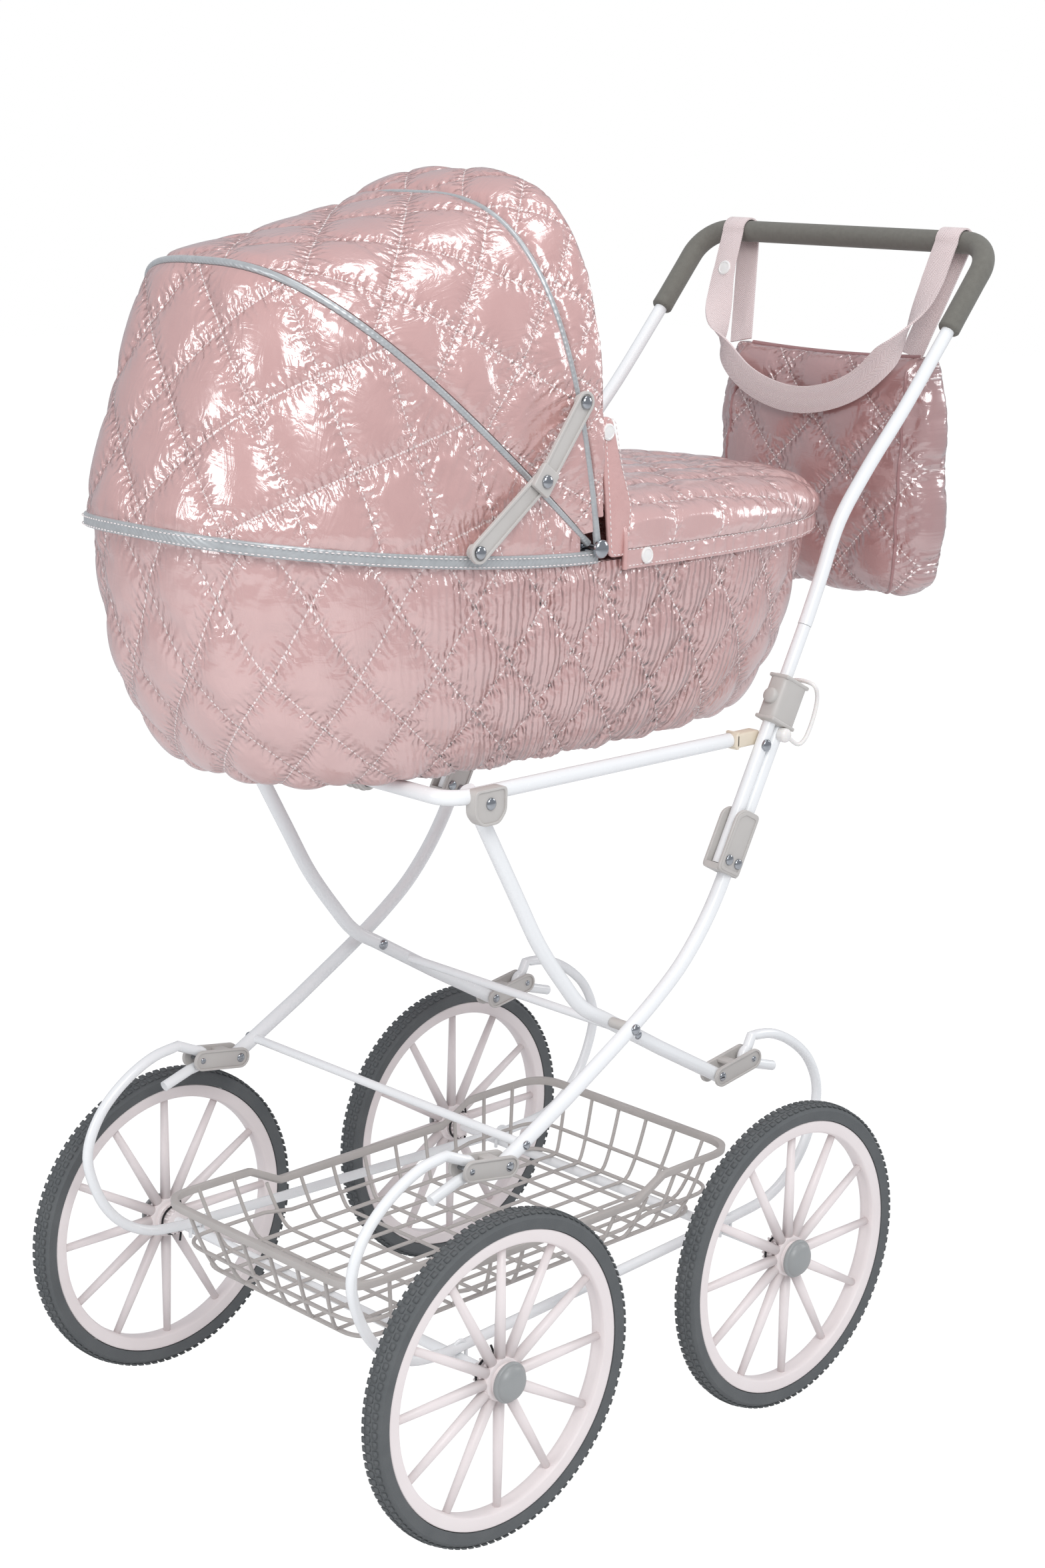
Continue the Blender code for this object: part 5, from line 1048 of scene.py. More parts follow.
TUB_X = 0.0120
TUB_FLOOR = 0.5326
RIM_REAR_Z = 0.6755
HOOD_PIVOT = (0.0287, 0.6862)
TRIM_REACH = 0.2863
TUB_CELL = (0.062, 0.075)


def stitched_satin(name, base, drift_and_seam_shade, cell, brick=False, pleats=0.0):
    """Polyester satin: a wet, pearly gloss over a soft pink, pale stitches, creases drawn in by the seams, and
    painted shade along them.

    Pleats, where given, is a quarter of a tub's girth: the straight sides are gathered in upright pleats.
    """
    made, tree, shader = new_material(name, base, 0.3, IOR=1.85, Coat_Weight=1.0, Coat_Roughness=0.14,
                                      Coat_IOR=2.3)
    flat = add_node(tree, "ShaderNodeUVMap", uv_map="cloth").outputs[0]
    split = add_node(tree, "ShaderNodeSeparateXYZ", links={0: flat})
    pucker_gap = 0.0062

    def calc(operation, *terms):
        """The result of one step of arithmetic on numbers and sockets."""
        numbers = {place: term for place, term in enumerate(terms) if isinstance(term, float)}
        sockets = {place: term for place, term in enumerate(terms) if place not in numbers}
        return add_node(tree, "ShaderNodeMath", numbers, sockets, operation=operation).outputs[0]

    def slackness(width, height, detail, distortion=0.0):
        """Noise with patches of a width and height on the flat cloth."""
        stretched = add_node(tree, "ShaderNodeMapping", {"Scale": (1 / width, 1 / height, 1.0)},
                             {"Vector": flat})
        return add_node(tree, "ShaderNodeTexNoise", {"Scale": 1.0, "Detail": detail, "Distortion": distortion},
                        {"Vector": stretched.outputs[0]}).outputs[0]

    # Two families of seams: each has its place in cells across the seams, and its run along them
    across = calc("DIVIDE", split.outputs[0], cell[0])
    up = calc("DIVIDE", split.outputs[1], cell[1])
    if brick:
        odd_row = calc("MODULO", calc("FLOOR", calc("ADD", up, 64.0)), 2.0)
        families = ((up, across), (calc("ADD", across, calc("MULTIPLY", odd_row, 0.5)), up))
    else:
        rising = calc("ADD", across, up)
        falling = calc("SUBTRACT", across, up)
        families = ((rising, falling), (falling, rising))
    slack = slackness(0.014, 0.014, 2.0)
    stitches_a_cell = float(round(min(cell) / 0.0042))
    puckers_a_cell = round(cell[1] * 0.62 / pucker_gap)
    dashes = []
    distances = []
    puckers = []
    for seam, run in families:
        distance = calc("ABSOLUTE", calc("SUBTRACT", seam, calc("ROUND", seam)))
        on_seam = calc("LESS_THAN", distance, 0.0005 / (cell[0] * 0.7))
        dash = calc("LESS_THAN", calc("FRACT", calc("MULTIPLY", run, stitches_a_cell)), 0.6)
        dashes.append(calc("MULTIPLY", on_seam, dash))
        distances.append(distance)
        turns = calc("MULTIPLY", run, math.tau * puckers_a_cell)
        waves = calc("SINE", calc("ADD", turns, calc("MULTIPLY", slack, 12.0)))
        reach = add_node(tree, "ShaderNodeMapRange", {"From Max": 0.30, "To Min": 1.0, "To Max": 0.0},
                         {"Value": distance})
        puckers.append(calc("MULTIPLY", waves, calc("POWER", reach.outputs[0], 1.6)))
    stitches = calc("MAXIMUM", *dashes)
    nearest = calc("MINIMUM", *distances)

    # The tone drifts in 30 mm patches, is painted a little darker at the seams as painted shade in their valleys, and
    # is pale on the stitches
    seam_shade = add_node(tree, "ShaderNodeMapRange", {"From Max": 0.08, "To Min": 0.2, "To Max": 0.0},
                         {"Value": nearest})
    tone = add_node(tree, "ShaderNodeMix", {6: colour(base), 7: colour(drift_and_seam_shade)}, {0: slackness(0.03, 0.03, 3.0)},
                    data_type="RGBA")
    # Painted shade at the seams first, then the pale thread of the stitches
    for share, over in ((seam_shade.outputs[0], drift_and_seam_shade), (stitches, "#FBEAE7")):
        tone = add_node(tree, "ShaderNodeMix", {7: colour(over)}, {0: share, 6: tone.outputs[2]},
                        data_type="RGBA")
    tree.links.new(tone.outputs[2], shader.inputs["Base Color"])

    # Sharp slack creases of 8 to 30 mm, puckers about 6 mm apart at the seams, and the 0.4 mm float threads
    creases = [calc("ABSOLUTE", calc("SUBTRACT", slackness(*patch), 0.5))
               for patch in ((0.013, 0.034, 3.0, 1.2), (0.030, 0.012, 3.0, 1.6))]
    drawn = add_node(tree, "ShaderNodeMapRange", {"From Max": 0.34, "To Min": 1.0, "To Max": 0.35},
                     {"Value": nearest})
    crease = calc("MULTIPLY", calc("ADD", calc("MULTIPLY", creases[0], 2.2), creases[1]), drawn.outputs[0])
    if pleats:
        turns = calc("MULTIPLY", split.outputs[0], math.tau / pucker_gap)
        waves = calc("SINE", calc("ADD", turns, calc("MULTIPLY", slack, 4.0)))
        on_side = add_node(tree, "ShaderNodeMapRange", {"From Min": pleats * 0.45, "From Max": pleats * 0.75},
                           {"Value": calc("PINGPONG", split.outputs[0], pleats)})
        puckers.append(calc("MULTIPLY", calc("MULTIPLY", waves, on_side.outputs[0]), 1.3))
    raised = [(crease, 0.7, 0.0015)] + [(pucker, 0.9, 0.0006) for pucker in puckers]
    raised += [(slackness(0.0004, 0.003, 1.0), 0.3, 0.00006), (stitches, 0.5, 0.0001)]
    normal = None
    for height, strength, depth in raised:
        normal = bumped(tree, shader, height, strength, depth, normal)
    tree.links.new(normal, shader.inputs["Coat Normal"])
    return made


def ripple(places, wavelength, seed):
    """Uneven waves along a line, between -1 and 1, that don't repeat."""
    turns = math.tau * places / wavelength
    return (np.sin(turns + seed) * 0.5 + np.sin(turns * 1.618 + seed * 2.3 + 1.1) * 0.3
            + np.sin(turns * 0.53 + seed * 3.1 + 0.4) * 0.2)


def diamond_quilt(u, v, cell, puff):
    """How far diamond-quilted cloth stands out at flat places: pillows between two families of seams."""
    p = u / cell[0] + v / cell[1]
    q = u / cell[0] - v / cell[1]
    to_p = 2 * np.abs(p - np.round(p))
    to_q = 2 * np.abs(q - np.round(q))
    return puff * (1 - (1 - to_p) ** 2.4) * (1 - (1 - to_q) ** 2.4)


def soft_noise(places, size, depth):
    """Slow uneven slack in cloth, at a grid of places."""
    heights = np.array([noise.noise(place_now) for place_now in (places / size).reshape(-1, 3)])
    return depth * heights.reshape(places.shape[:2])


def outward_normals(grid, closed, centre):
    """The directions in which a grid of places faces away from a centre."""
    along = np.roll(grid, -1, 1) - np.roll(grid, 1, 1) if closed else np.gradient(grid, axis=1)
    upward = np.gradient(grid, axis=0)
    normals = np.cross(along, upward)
    normals /= np.linalg.norm(normals, axis=2, keepdims=True) + 1e-12
    facing = np.sum(normals * (grid - np.array(centre)), axis=2)
    return normals * (1.0 if facing.sum() > 0 else -1.0)


def diamond_seams(u, v, cell):
    """Distances in metres from flat places to the nearest of two crossing families of seams."""
    span = 1 / math.hypot(1 / cell[0], 1 / cell[1])
    p = u / cell[0] + v / cell[1]
    q = u / cell[0] - v / cell[1]
    return np.minimum(np.abs(p - np.round(p)), np.abs(q - np.round(q))) * span


def simulated(grid, height, held, closed, centre, pressure=0.4, slack=0.03, frames=14, cap=0.0065):
    """The raised grid as cloth that is cut too long, sewn down where held and blown out, so that it creases.

    It is simulated ten times too large, where Blender's settings for garments apply. A soft cap limits how far
    it stands out, and it sinks in by no more than about a millimetre.
    """
    normals = outward_normals(grid, closed, centre)
    start = grid + normals * height[..., None]
    scale_up = 10.0
    deepest = 0.0012
    hold_steps = 10
    rows, columns = grid.shape[:2]
    data = bpy.data.meshes.new("sewn_cloth")
    data.from_pydata((start * scale_up).reshape(-1, 3).tolist(), [], grid_faces(rows, columns, closed))
    cross = np.cross(start[0, 1] - start[0, 0], start[1, 1] - start[0, 0])
    if np.dot(cross, normals[0, 0]) < 0:
        data.flip_normals()
    cloth = bpy.data.objects.new("sewn_cloth", data)
    scene.collection.objects.link(cloth)
    group = cloth.vertex_groups.new(name="seams")
    weights = np.round(np.clip(held.reshape(-1), 0.0, 1.0) * hold_steps)
    for step in range(1, hold_steps + 1):
        members = np.nonzero(weights == step)[0].tolist()
        if members:
            group.add(members, step / hold_steps, "REPLACE")
    modifier = cloth.modifiers.new("sewn", "CLOTH")
    settings = modifier.settings
    settings.quality = 4
    settings.mass = 0.15
    settings.tension_stiffness = 20.0
    settings.compression_stiffness = 20.0
    settings.shear_stiffness = 8.0
    settings.bending_stiffness = 0.025
    settings.air_damping = 2.0
    settings.use_pressure = True
    settings.uniform_pressure_force = pressure
    settings.shrink_min = -slack
    settings.vertex_group_mass = "seams"
    settings.effector_weights.gravity = 0.0
    modifier.collision_settings.use_collision = False
    modifier.point_cache.frame_start = 1
    modifier.point_cache.frame_end = frames
    for frame_now in range(1, frames + 1):
        scene.frame_set(frame_now)
    settled = cloth.evaluated_get(bpy.context.evaluated_depsgraph_get()).to_mesh()
    moved = np.empty(rows * columns * 3, dtype=np.float32)
    settled.vertices.foreach_get("co", moved)
    moved = moved.reshape(rows, columns, 3).astype(float) / scale_up
    scene.frame_set(1)
    bpy.data.objects.remove(cloth)
    bpy.data.meshes.remove(data)
    out = np.sum((moved - grid) * normals, axis=2)
    capped = np.where(out > 0, cap * np.tanh(out / cap), np.maximum(out, -deepest))
    return moved + normals * (capped - out)[..., None]


def padded_shell(name, grid, flat, outer, wall, material, closed, centre, inner_height=None):
    """A closed padded shell between an outer face and a lining that lies a wall's thickness behind the grid."""
    normals = outward_normals(grid, closed, centre)
    inner = grid - normals * wall
    if inner_height is not None:
        inner = inner - normals * inner_height[..., None]
    rows, columns = grid.shape[:2]
    count = rows * columns
    last = count - columns
    verts = np.concatenate([outer.reshape(-1, 3), inner.reshape(-1, 3)])
    uvs = np.concatenate([flat.reshape(-1, 2), flat.reshape(-1, 2)])
    faces = grid_faces(rows, columns, closed)
    faces += [tuple(count + i for i in face[::-1]) for face in faces]
    spans = [(k, (k + 1) % columns) for k in range(columns if closed else columns - 1)]
    edges = [(b, a) for a, b in spans] + [(last + a, last + b) for a, b in spans]
    if not closed:
        climbs = [(j * columns, (j + 1) * columns) for j in range(rows - 1)]
        edges += climbs + [(b + columns - 1, a + columns - 1) for a, b in climbs]
    faces += [(b, a, count + a, count + b) for a, b in edges]
    first = faces[0]
    cross = np.cross(verts[first[1]] - verts[first[0]], verts[first[3]] - verts[first[0]])
    if np.dot(cross, normals[0, 0]) < 0:
        faces = [face[::-1] for face in faces]
    girth = flat[0, -1, 0] + flat[0, 1, 0] - flat[0, 0, 0] if closed else 0.0
    return surface_object(name, verts, faces, material, 60.0, uvs, girth)


def plan_outline(angles, half_length, half_width, power=3.0):
    """Places on a rounded plan outline, squarer than an ellipse as the power goes up."""
    c = np.cos(angles)
    s = np.sin(angles)
    return (np.sign(c) * np.abs(c) ** (2 / power) * half_length,
            np.sign(s) * np.abs(s) ** (2 / power) * half_width)


def even_angles(count, half_length, half_width, first=0.0, last=math.tau, power=3.0):
    """Angles whose places on a plan outline are evenly spaced, and those places' distances along it."""
    dense = np.linspace(first, last, 6001)
    x, y = plan_outline(dense, half_length, half_width, power)
    travelled = np.concatenate([[0.0], np.cumsum(np.hypot(np.diff(x), np.diff(y)))])
    wanted = np.linspace(0.0, travelled[-1], count)
    return np.interp(wanted, travelled, dense), wanted


def fade(distance, reach):
    """A smooth step from 0 to 1 over a reach."""
    t = np.clip(distance / reach, 0.0, 1.0)
    return t * t * (3 - 2 * t)


def sewn(distance):
    """How firmly the cloth is held at distances from its nearest seam."""
    return 1.0 - fade(distance - 0.0004, 0.0014)


def rim_height(x):
    """The rim's height over the floor, from the hood pivots up to the nose; x from mid-wheelbase."""
    return RIM_REAR_Z + 0.0275 * np.clip((x - HOOD_PIVOT[0]) / TRIM_REACH, 0.0, None) ** 1.5


TUB_COLUMNS = 540
TUB_HALF = (0.2989, 0.1395)
TUB_SHOULDER = 0.0756
angles, around = even_angles(TUB_COLUMNS + 1, *TUB_HALF)
angles = angles[:-1]
around = around[:-1]
girth = around[1] * TUB_COLUMNS
cell = (girth / round(girth / TUB_CELL[0]), TUB_CELL[1])
# The second colour serves the slow tone drift and the painted shade at the seams.
rose_satin = stitched_satin("rose_polyester_satin", "#D6A9A5", "#C2928E", cell, pleats=girth / 4)
levels = smooth_route([(0.2270, 0.0980, 0.0), (0.2426, 0.1103, 0.0060), (0.2658, 0.1250, 0.0364),
                       (0.2830, 0.1335, TUB_SHOULDER), (*TUB_HALF, RIM_REAR_Z - TUB_FLOOR)], 0.0026)
rows = []
flat_rows = []
climbed = 0.0
for i, level_now in enumerate(levels):
    if i:
        climbed += (level_now - levels[i - 1]).length
    x, y = plan_outline(angles, level_now.x, level_now.y)
    share = fade(np.array(level_now.z - TUB_SHOULDER), RIM_REAR_Z - TUB_FLOOR - TUB_SHOULDER)
    z = TUB_FLOOR + level_now.z + (rim_height(TUB_X + x) - RIM_REAR_Z) * share
    rows.append(np.stack([x + TUB_X + MID_X, y, z], axis=1))
    flat_rows.append(np.stack([around, np.full(TUB_COLUMNS, climbed)], axis=1))
wall = np.array(rows)
wall_flat = np.array(flat_rows)
u, v = wall_flat[..., 0], wall_flat[..., 1]
straight = fade(0.17 - np.abs(wall[..., 0] - MID_X - TUB_X), 0.08)
puff = diamond_quilt(u, v, cell, 0.0040) + soft_noise(wall, 0.03, 0.0014)
puff = puff + straight * ripple(u, 0.0064, 0.3) * 0.0012
puff = puff * fade(v, 0.010) * fade(climbed - v, 0.012) - 0.0004
tub_centre = (TUB_X + MID_X, 0.0, 0.62)
tub_held = sewn(np.minimum(diamond_seams(u, v, cell), np.minimum(v, climbed - v)))
tub_face = simulated(wall, puff, tub_held, True, tub_centre, 0.3, 0.012, 12)
tub = padded_shell("look_carrycot_tub", wall, wall_flat, tub_face, 0.0046, rose_satin, True, tub_centre)
dress(tub, "carrier", "pink_quilt", "carrycot_tub")

# The tub's floor is a plain covered board: rings of places below and above round a middle place
BOARD_COUNT = 96
BOARD_THICK = 0.0044
board_angles = np.linspace(0, math.tau, BOARD_COUNT + 1)[:-1]
board_verts = [(TUB_X + MID_X, 0.0, TUB_FLOOR + 0.0002)]
for share in (0.5, 0.85, 1.0):
    x, y = plan_outline(board_angles, 0.2285 * share, 0.0995 * share)
    board_verts += [(a + TUB_X + MID_X, b, TUB_FLOOR + 0.0002) for a, b in zip(x, y)]
top = len(board_verts)
board_verts += [(a, b, c + BOARD_THICK) for a, b, c in board_verts]
board_faces = []
for k in range(BOARD_COUNT):
    n = (k + 1) % BOARD_COUNT
    board_faces += [(0, 1 + n, 1 + k), (top, top + 1 + k, top + 1 + n)]
    for first in (1, 1 + BOARD_COUNT):
        low, high = first, first + BOARD_COUNT
        board_faces.append((low + k, low + n, high + n, high + k))
        board_faces.append((top + high + k, top + high + n, top + low + n, top + low + k))
    edge = 1 + 2 * BOARD_COUNT
    board_faces.append((edge + k, edge + n, top + edge + n, top + edge + k))
board_uv = [place[:2] for place in board_verts]
board = surface_object("look_tub_board", board_verts, board_faces, rose_satin, 40.0, board_uv)
dress(board, "carrier", "pink_quilt")


# Mattress
# A loose foam pad in pale cotton, crowned a little and piped round its edge.

# Cotton: matt and plainly woven. Its threads are drawn 1.2 mm apart, coarser than real ones, so that they show.
cotton, tree, shader = new_material("pale_woven_cotton", "#E8DCD8", 0.9, Sheen_Weight=0.2)
place = object_place(tree)
threads = [add_node(tree, "ShaderNodeTexWave", {"Scale": 1 / 0.0006 / 6.28, "Distortion": 0.6},
                    {"Vector": place}, bands_direction=direction).outputs["Fac"] for direction in ("X", "Y")]
weave = add_node(tree, "ShaderNodeMath", links={0: threads[0], 1: threads[1]}, operation="MAXIMUM")
bumped(tree, shader, weave.outputs[0], 0.5, 0.0002)
tinted(tree, shader, "#EBE0DC", "#DDD0CB", 0.03)

PAD_HALF = (0.218, 0.089)
PAD_BOTTOM = 0.5379
PAD_COLUMNS = 120
pad_verts = []
pad_angles, _ = even_angles(PAD_COLUMNS + 1, *PAD_HALF)
pad_rows = [(0.0, 0.0), (0.5, 0.0), (0.94, 0.0002), (0.985, 0.0030), (1.0, 0.0080), (0.985, 0.0130),
            (0.94, 0.0160), (0.8, 0.0176), (0.5, 0.0184), (0.0, 0.0188)]
for share, lift in pad_rows:
    x, y = plan_outline(pad_angles[:-1], *(half * max(share, 0.001) for half in PAD_HALF))
    pad_verts += [(a + TUB_X + MID_X, b, PAD_BOTTOM + lift) for a, b in zip(x, y)]
pad_faces = grid_faces(len(pad_rows), PAD_COLUMNS) + end_faces(len(pad_rows), PAD_COLUMNS)
pad = surface_object("look_mattress", pad_verts, pad_faces, cotton, 60.0)
dress(pad, "carrier", "mattress_cloth", "mattress")


# Hood
# Three satin panels are sewn between two wire bows and the tub's trim: a back, a top and a puffed visor.

FRONT_BOW = (math.radians(40.0), 0.3000, 0.1370)
REAR_BOW = (math.radians(79.5), 0.2390, 0.1435)
VISOR_EDGE = (math.radians(91.5), 0.2500, 0.1440)
HOOD_CELL = (0.074, 0.082)
VISOR_CELL = (0.058, 0.062)


def arch_line(arch, shares):
    """Places on an arch over the hood pivots, at shares from its left foot to its right foot."""
    lean, reach, half_width = arch
    y, _ = plan_outline(math.pi * shares, half_width, 1.0)
    run = np.abs(np.sin(math.pi * shares)) ** (2 / 3) * reach
    return np.stack([HOOD_PIVOT[0] + run * math.cos(lean), y, HOOD_PIVOT[1] + run * math.sin(lean)], axis=1)


def trim_line(shares):
    """Places along the tub's rim, from its left side round the head end to its right side."""
    y, _ = plan_outline(math.pi * shares, 0.1400, 1.0)
    x = HOOD_PIVOT[0] + np.abs(np.sin(math.pi * shares)) ** (2 / 3) * TRIM_REACH
    return np.stack([x, y, rim_height(x) + 0.0043], axis=1)


def even_shares(line, count, foot):
    """Shares between two feet whose places on a line are evenly spaced."""
    dense = np.linspace(foot, 1 - foot, 4001)
    places = line(dense)
    travelled = np.concatenate([[0.0], np.cumsum(np.linalg.norm(np.diff(places, axis=0), axis=1))])
    return np.interp(np.linspace(0, travelled[-1], count), travelled, dense)


def hood_sheet(first_line, second_line, clear_first, clear_second, bulge, rows_count, columns_count, foot,
               taut=0.0):
    """A grid of places between two lines, turned about the hood pivots, with its flat places in metres.

    The cloth lies on a round line about the pivots, or, drawn taut, on the straight line between the two.
    """
    shares = even_shares(second_line, columns_count, foot)
    first = first_line(shares)
    second = second_line(shares)
    gap = np.linalg.norm(second - first, axis=1)
    start = np.minimum(0.3, clear_first / gap)
    end = 1 - np.minimum(0.3, clear_second / gap)
    polar = []
    for places in (first, second):
        x, z = places[:, 0] - HOOD_PIVOT[0], places[:, 2] - HOOD_PIVOT[1]
        polar.append((np.arctan2(z, x), np.hypot(x, z), places[:, 1]))
    grid = []
    for row in range(rows_count):
        t = start + (end - start) * row / (rows_count - 1)
        lean, reach, y = (a + (b - a) * t for a, b in zip(*polar))
        (lean_a, reach_a, _), (lean_b, reach_b, _) = polar
        straight_reach = (reach_a * reach_b * np.sin(lean_b - lean_a)
                          / (reach_a * np.sin(lean - lean_a) + reach_b * np.sin(lean_b - lean)))
        reach = reach + (straight_reach - reach) * taut
        reach = reach + bulge * np.sin(math.pi * t) * np.sin(math.pi * shares)
        grid.append(np.stack([HOOD_PIVOT[0] + MID_X + reach * np.cos(lean), y,
                              HOOD_PIVOT[1] + reach * np.sin(lean)], axis=1))
    grid = np.array(grid)
    middle = grid[rows_count // 2]
    along = np.concatenate([[0.0], np.cumsum(np.linalg.norm(np.diff(middle, axis=0), axis=1))])
    along -= along[-1] / 2
    steps = np.cumsum(np.linalg.norm(np.diff(grid, axis=0), axis=2), axis=0)
    climb = np.concatenate([np.zeros((1, columns_count)), steps])
    flat = np.stack([np.broadcast_to(along, climb.shape), climb[-1] - climb], axis=2)
    return grid, flat, climb[-1]


front_bow_line = partial(arch_line, FRONT_BOW)
rear_bow_line = partial(arch_line, REAR_BOW)
visor_line = partial(arch_line, VISOR_EDGE)
HOOD_CENTRE = (HOOD_PIVOT[0] + MID_X + 0.05, 0.0, 0.70)
# The second colour serves the slow tone drift and the painted shade at the seams.
hood_satin = stitched_satin("hood_rose_satin", "#D5A7A2", "#C2918D", HOOD_CELL)


def sewn_panel(u, v, reach_up, cell):
    """How firmly a hood panel is held: along its quilting, its two long edges and its ends."""
    to_end = np.abs(u[0, 0]) - np.abs(u)
    return sewn(np.minimum(np.minimum(diamond_seams(u, v, cell), to_end), np.minimum(v, reach_up - v)))


def hood_panel(name, sheet, gather, waves, hem):
    """A quilted panel, gathered at its sides, laid between the two lines its edges are sewn to and baked in place of
    its CAD node.
    """
    grid, flat, reach_up = sheet
    u, v = flat[..., 0], flat[..., 1]
    side_gather = fade(np.abs(grid[..., 1]) - gather[0], gather[1])
    from_pivot = np.hypot(grid[..., 0] - HOOD_PIVOT[0] - MID_X, grid[..., 2] - HOOD_PIVOT[1])
    puff = diamond_quilt(u, v, HOOD_CELL, 0.0048) * (1 - 0.6 * side_gather) + soft_noise(grid, 0.03, 0.0016)
    puff += side_gather * ripple(from_pivot, *waves) * 0.0011
    puff = puff * fade(v, 0.010) * fade(reach_up - v, hem) * fade(np.abs(u[0, 0]) - np.abs(u), 0.02) + 0.0016
    face = simulated(grid, puff, sewn_panel(u, v, reach_up, HOOD_CELL), False, HOOD_CENTRE)
    panel = padded_shell("look_" + name, grid, flat, face, 0.0016, hood_satin, False, HOOD_CENTRE)
    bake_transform(panel)
    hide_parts(name)


sheet = hood_sheet(trim_line, front_bow_line, 0.004, 0.0026, 0.001, 84, 340, 0.004, 0.95)
hood_panel("hood_back_panel", sheet, (0.118, 0.014), (0.0085, 0.5), 0.012)
sheet = hood_sheet(front_bow_line, rear_bow_line, 0.0026, 0.0026, -0.003, 74, 320, 0.004, 1.0)
hood_panel("hood_top_panel", sheet, (0.124, 0.012), (0.008, 1.9), 0.010)

grid, flat, reach_up = hood_sheet(rear_bow_line, visor_line, 0.0026, 0.0, 0.001, 30, 320, 0.009)
u, v = flat[..., 0], flat[..., 1]
across_v = np.clip(v / np.maximum(reach_up, 1e-6), 0, 1)
roll = np.sqrt(np.clip(1 - (2 * across_v - 1) ** 2, 0, 1))
puff = (diamond_quilt(u, v, VISOR_CELL, 0.0052) + 0.0022 + soft_noise(grid, 0.02, 0.0016)) * roll + 0.001
visor_face = simulated(grid, puff, sewn_panel(u, v, reach_up, VISOR_CELL), False, HOOD_CENTRE, 0.8, 0.035, 14)
# The second colour serves the slow tone drift and the painted shade at the seams.
visor_satin = stitched_satin("visor_rose_satin", "#D5A7A2", "#C2918D", VISOR_CELL)
visor = padded_shell("look_hood_visor", grid, flat, visor_face, 0.0018, visor_satin, False, HOOD_CENTRE,
                     0.002 * roll)
dress(visor, "hood_rear", "pink_quilt", "hood_visor")

# Bow piping: silver twill sewn round each wire
# Silver twill: woven from metallised polyester, a satin grey. Its diagonal ribs are drawn 2 mm apart, to show.
silver_twill, tree, shader = new_material("silver_polyester_twill", "#B9BDBF", 0.36, Metallic=0.35,
                                          Sheen_Weight=0.3)
diagonal = add_node(tree, "ShaderNodeTexWave", {"Scale": 1 / 0.0009 / 6.28, "Distortion": 0.4},
                    {"Vector": object_place(tree)}, bands_direction="DIAGONAL")
bumped(tree, shader, diagonal.outputs["Fac"], 0.5, 0.00025)
tinted(tree, shader, "#C3C7C9", "#A6AAAC", 0.006)

for label, line, body in (("front", front_bow_line, "hood_front"), ("rear", rear_bow_line, "hood_rear")):
    shares = even_shares(line, 150, 0.0006)
    route = [at(*p) for p in line(shares)]
    piping = merged("look_hood_" + label + "_bow", [swept(route, 0.0027, 14)], silver_twill)
    dress(piping, body, "silver_binding", "hood_" + label + "_bow")


def band(route, section, ups, closed=False):
    """Vertices, faces and flat places of a strip along a route; its section is given outwards and upwards."""
    points = [Vector(p) for p in route]
    count = len(points)
    size = len(section)
    verts = []
    travelled = 0.0
    flat_places = []
    for i, point in enumerate(points):
        tangent = (points[min(i + 1, count - 1)] - points[max(i - 1, 0)]).normalized()
        side = tangent.cross(ups[i]).normalized()
        up = side.cross(tangent)
        if i:
            travelled += (point - points[i - 1]).length
        for a, b in section:
            verts.append(point + side * a + up * b)
            flat_places.append((travelled, b))
    return verts, grid_faces(count, size) + end_faces(count, size), flat_places


# Stitches: short capsules of thread set end to end along a line
# Polyester thread: pale, with a slight gloss.
pale_thread = skin("pale_polyester_thread", "#F3EAE8", 0.5, 0.1, 0.0004, 0.00005, Sheen_Weight=0.2)

stitch_tree, start = geometry_tree("row_of_stitches", ("Pitch", "Length", "Radius"))
line = add_node(stitch_tree, "GeometryNodeMeshToCurve", links={0: start.outputs["Guide"]})
spaced = add_node(stitch_tree, "GeometryNodeResampleCurve",
                  links={"Curve": line.outputs[0], "Length": start.outputs["Pitch"]}, mode="LENGTH")
ball = add_node(stitch_tree, "GeometryNodeMeshIcoSphere", {"Radius": 1.0, "Subdivisions": 1})
half_length = add_node(stitch_tree, "ShaderNodeMath", {1: 0.5}, {0: start.outputs["Length"]},
                       operation="MULTIPLY")
stretch = add_node(stitch_tree, "ShaderNodeCombineXYZ",
                   links={0: start.outputs["Radius"], 1: start.outputs["Radius"], 2: half_length.outputs[0]})
tangent = add_node(stitch_tree, "GeometryNodeInputTangent").outputs[0]
turned_along = add_node(stitch_tree, "FunctionNodeAlignRotationToVector", links={"Vector": tangent}, axis="Z")
instanced(stitch_tree, start, spaced.outputs[0], ball.outputs["Mesh"], turned_along.outputs[0],
          stretch.outputs[0])


def stitch_rows(name, lines, body):
    """Rows of stitches along lines of places, on one body."""
    rows_of = grown(name, *chained(lines), stitch_tree, pale_thread, Pitch=0.0040, Length=0.0030,
                    Radius=0.00045)
    dress(rows_of, body, "pink_quilt")


def outward(piece):
    """Turn all the faces of a closed piece outwards."""
    shape = bmesh.new()
    shape.from_mesh(piece.data)
    bmesh.ops.recalc_face_normals(shape, faces=shape.faces)
    shape.to_mesh(piece.data)
    shape.free()


# Trim
# A silver band is sewn round the tub's rim under the hood with two rows of stitches, and runs on past the rivets.

trim_places = [at(*p) for p in trim_line(even_shares(trim_line, 170, 0.0008))]
fold_in = Vector((0.007, 0.0, 0.0))
trim_places = [trim_places[0] - fold_in] + trim_places + [trim_places[-1] - fold_in]
trim_section = rounded([(-0.0026, -0.0046), (0.0030, -0.0050), (0.0034, 0.0046), (-0.0026, 0.0046)], 0.0016, 3)
trim_ups = [Vector((0.0, 0.0, 1.0))] * len(trim_places)
verts, faces, flat_places = band(trim_places, trim_section, trim_ups)
trim = surface_object("look_hood_trim", verts, faces, silver_twill, 60.0, flat_places)
outward(trim)
dress(trim, "carrier", "silver_binding", "hood_trim")


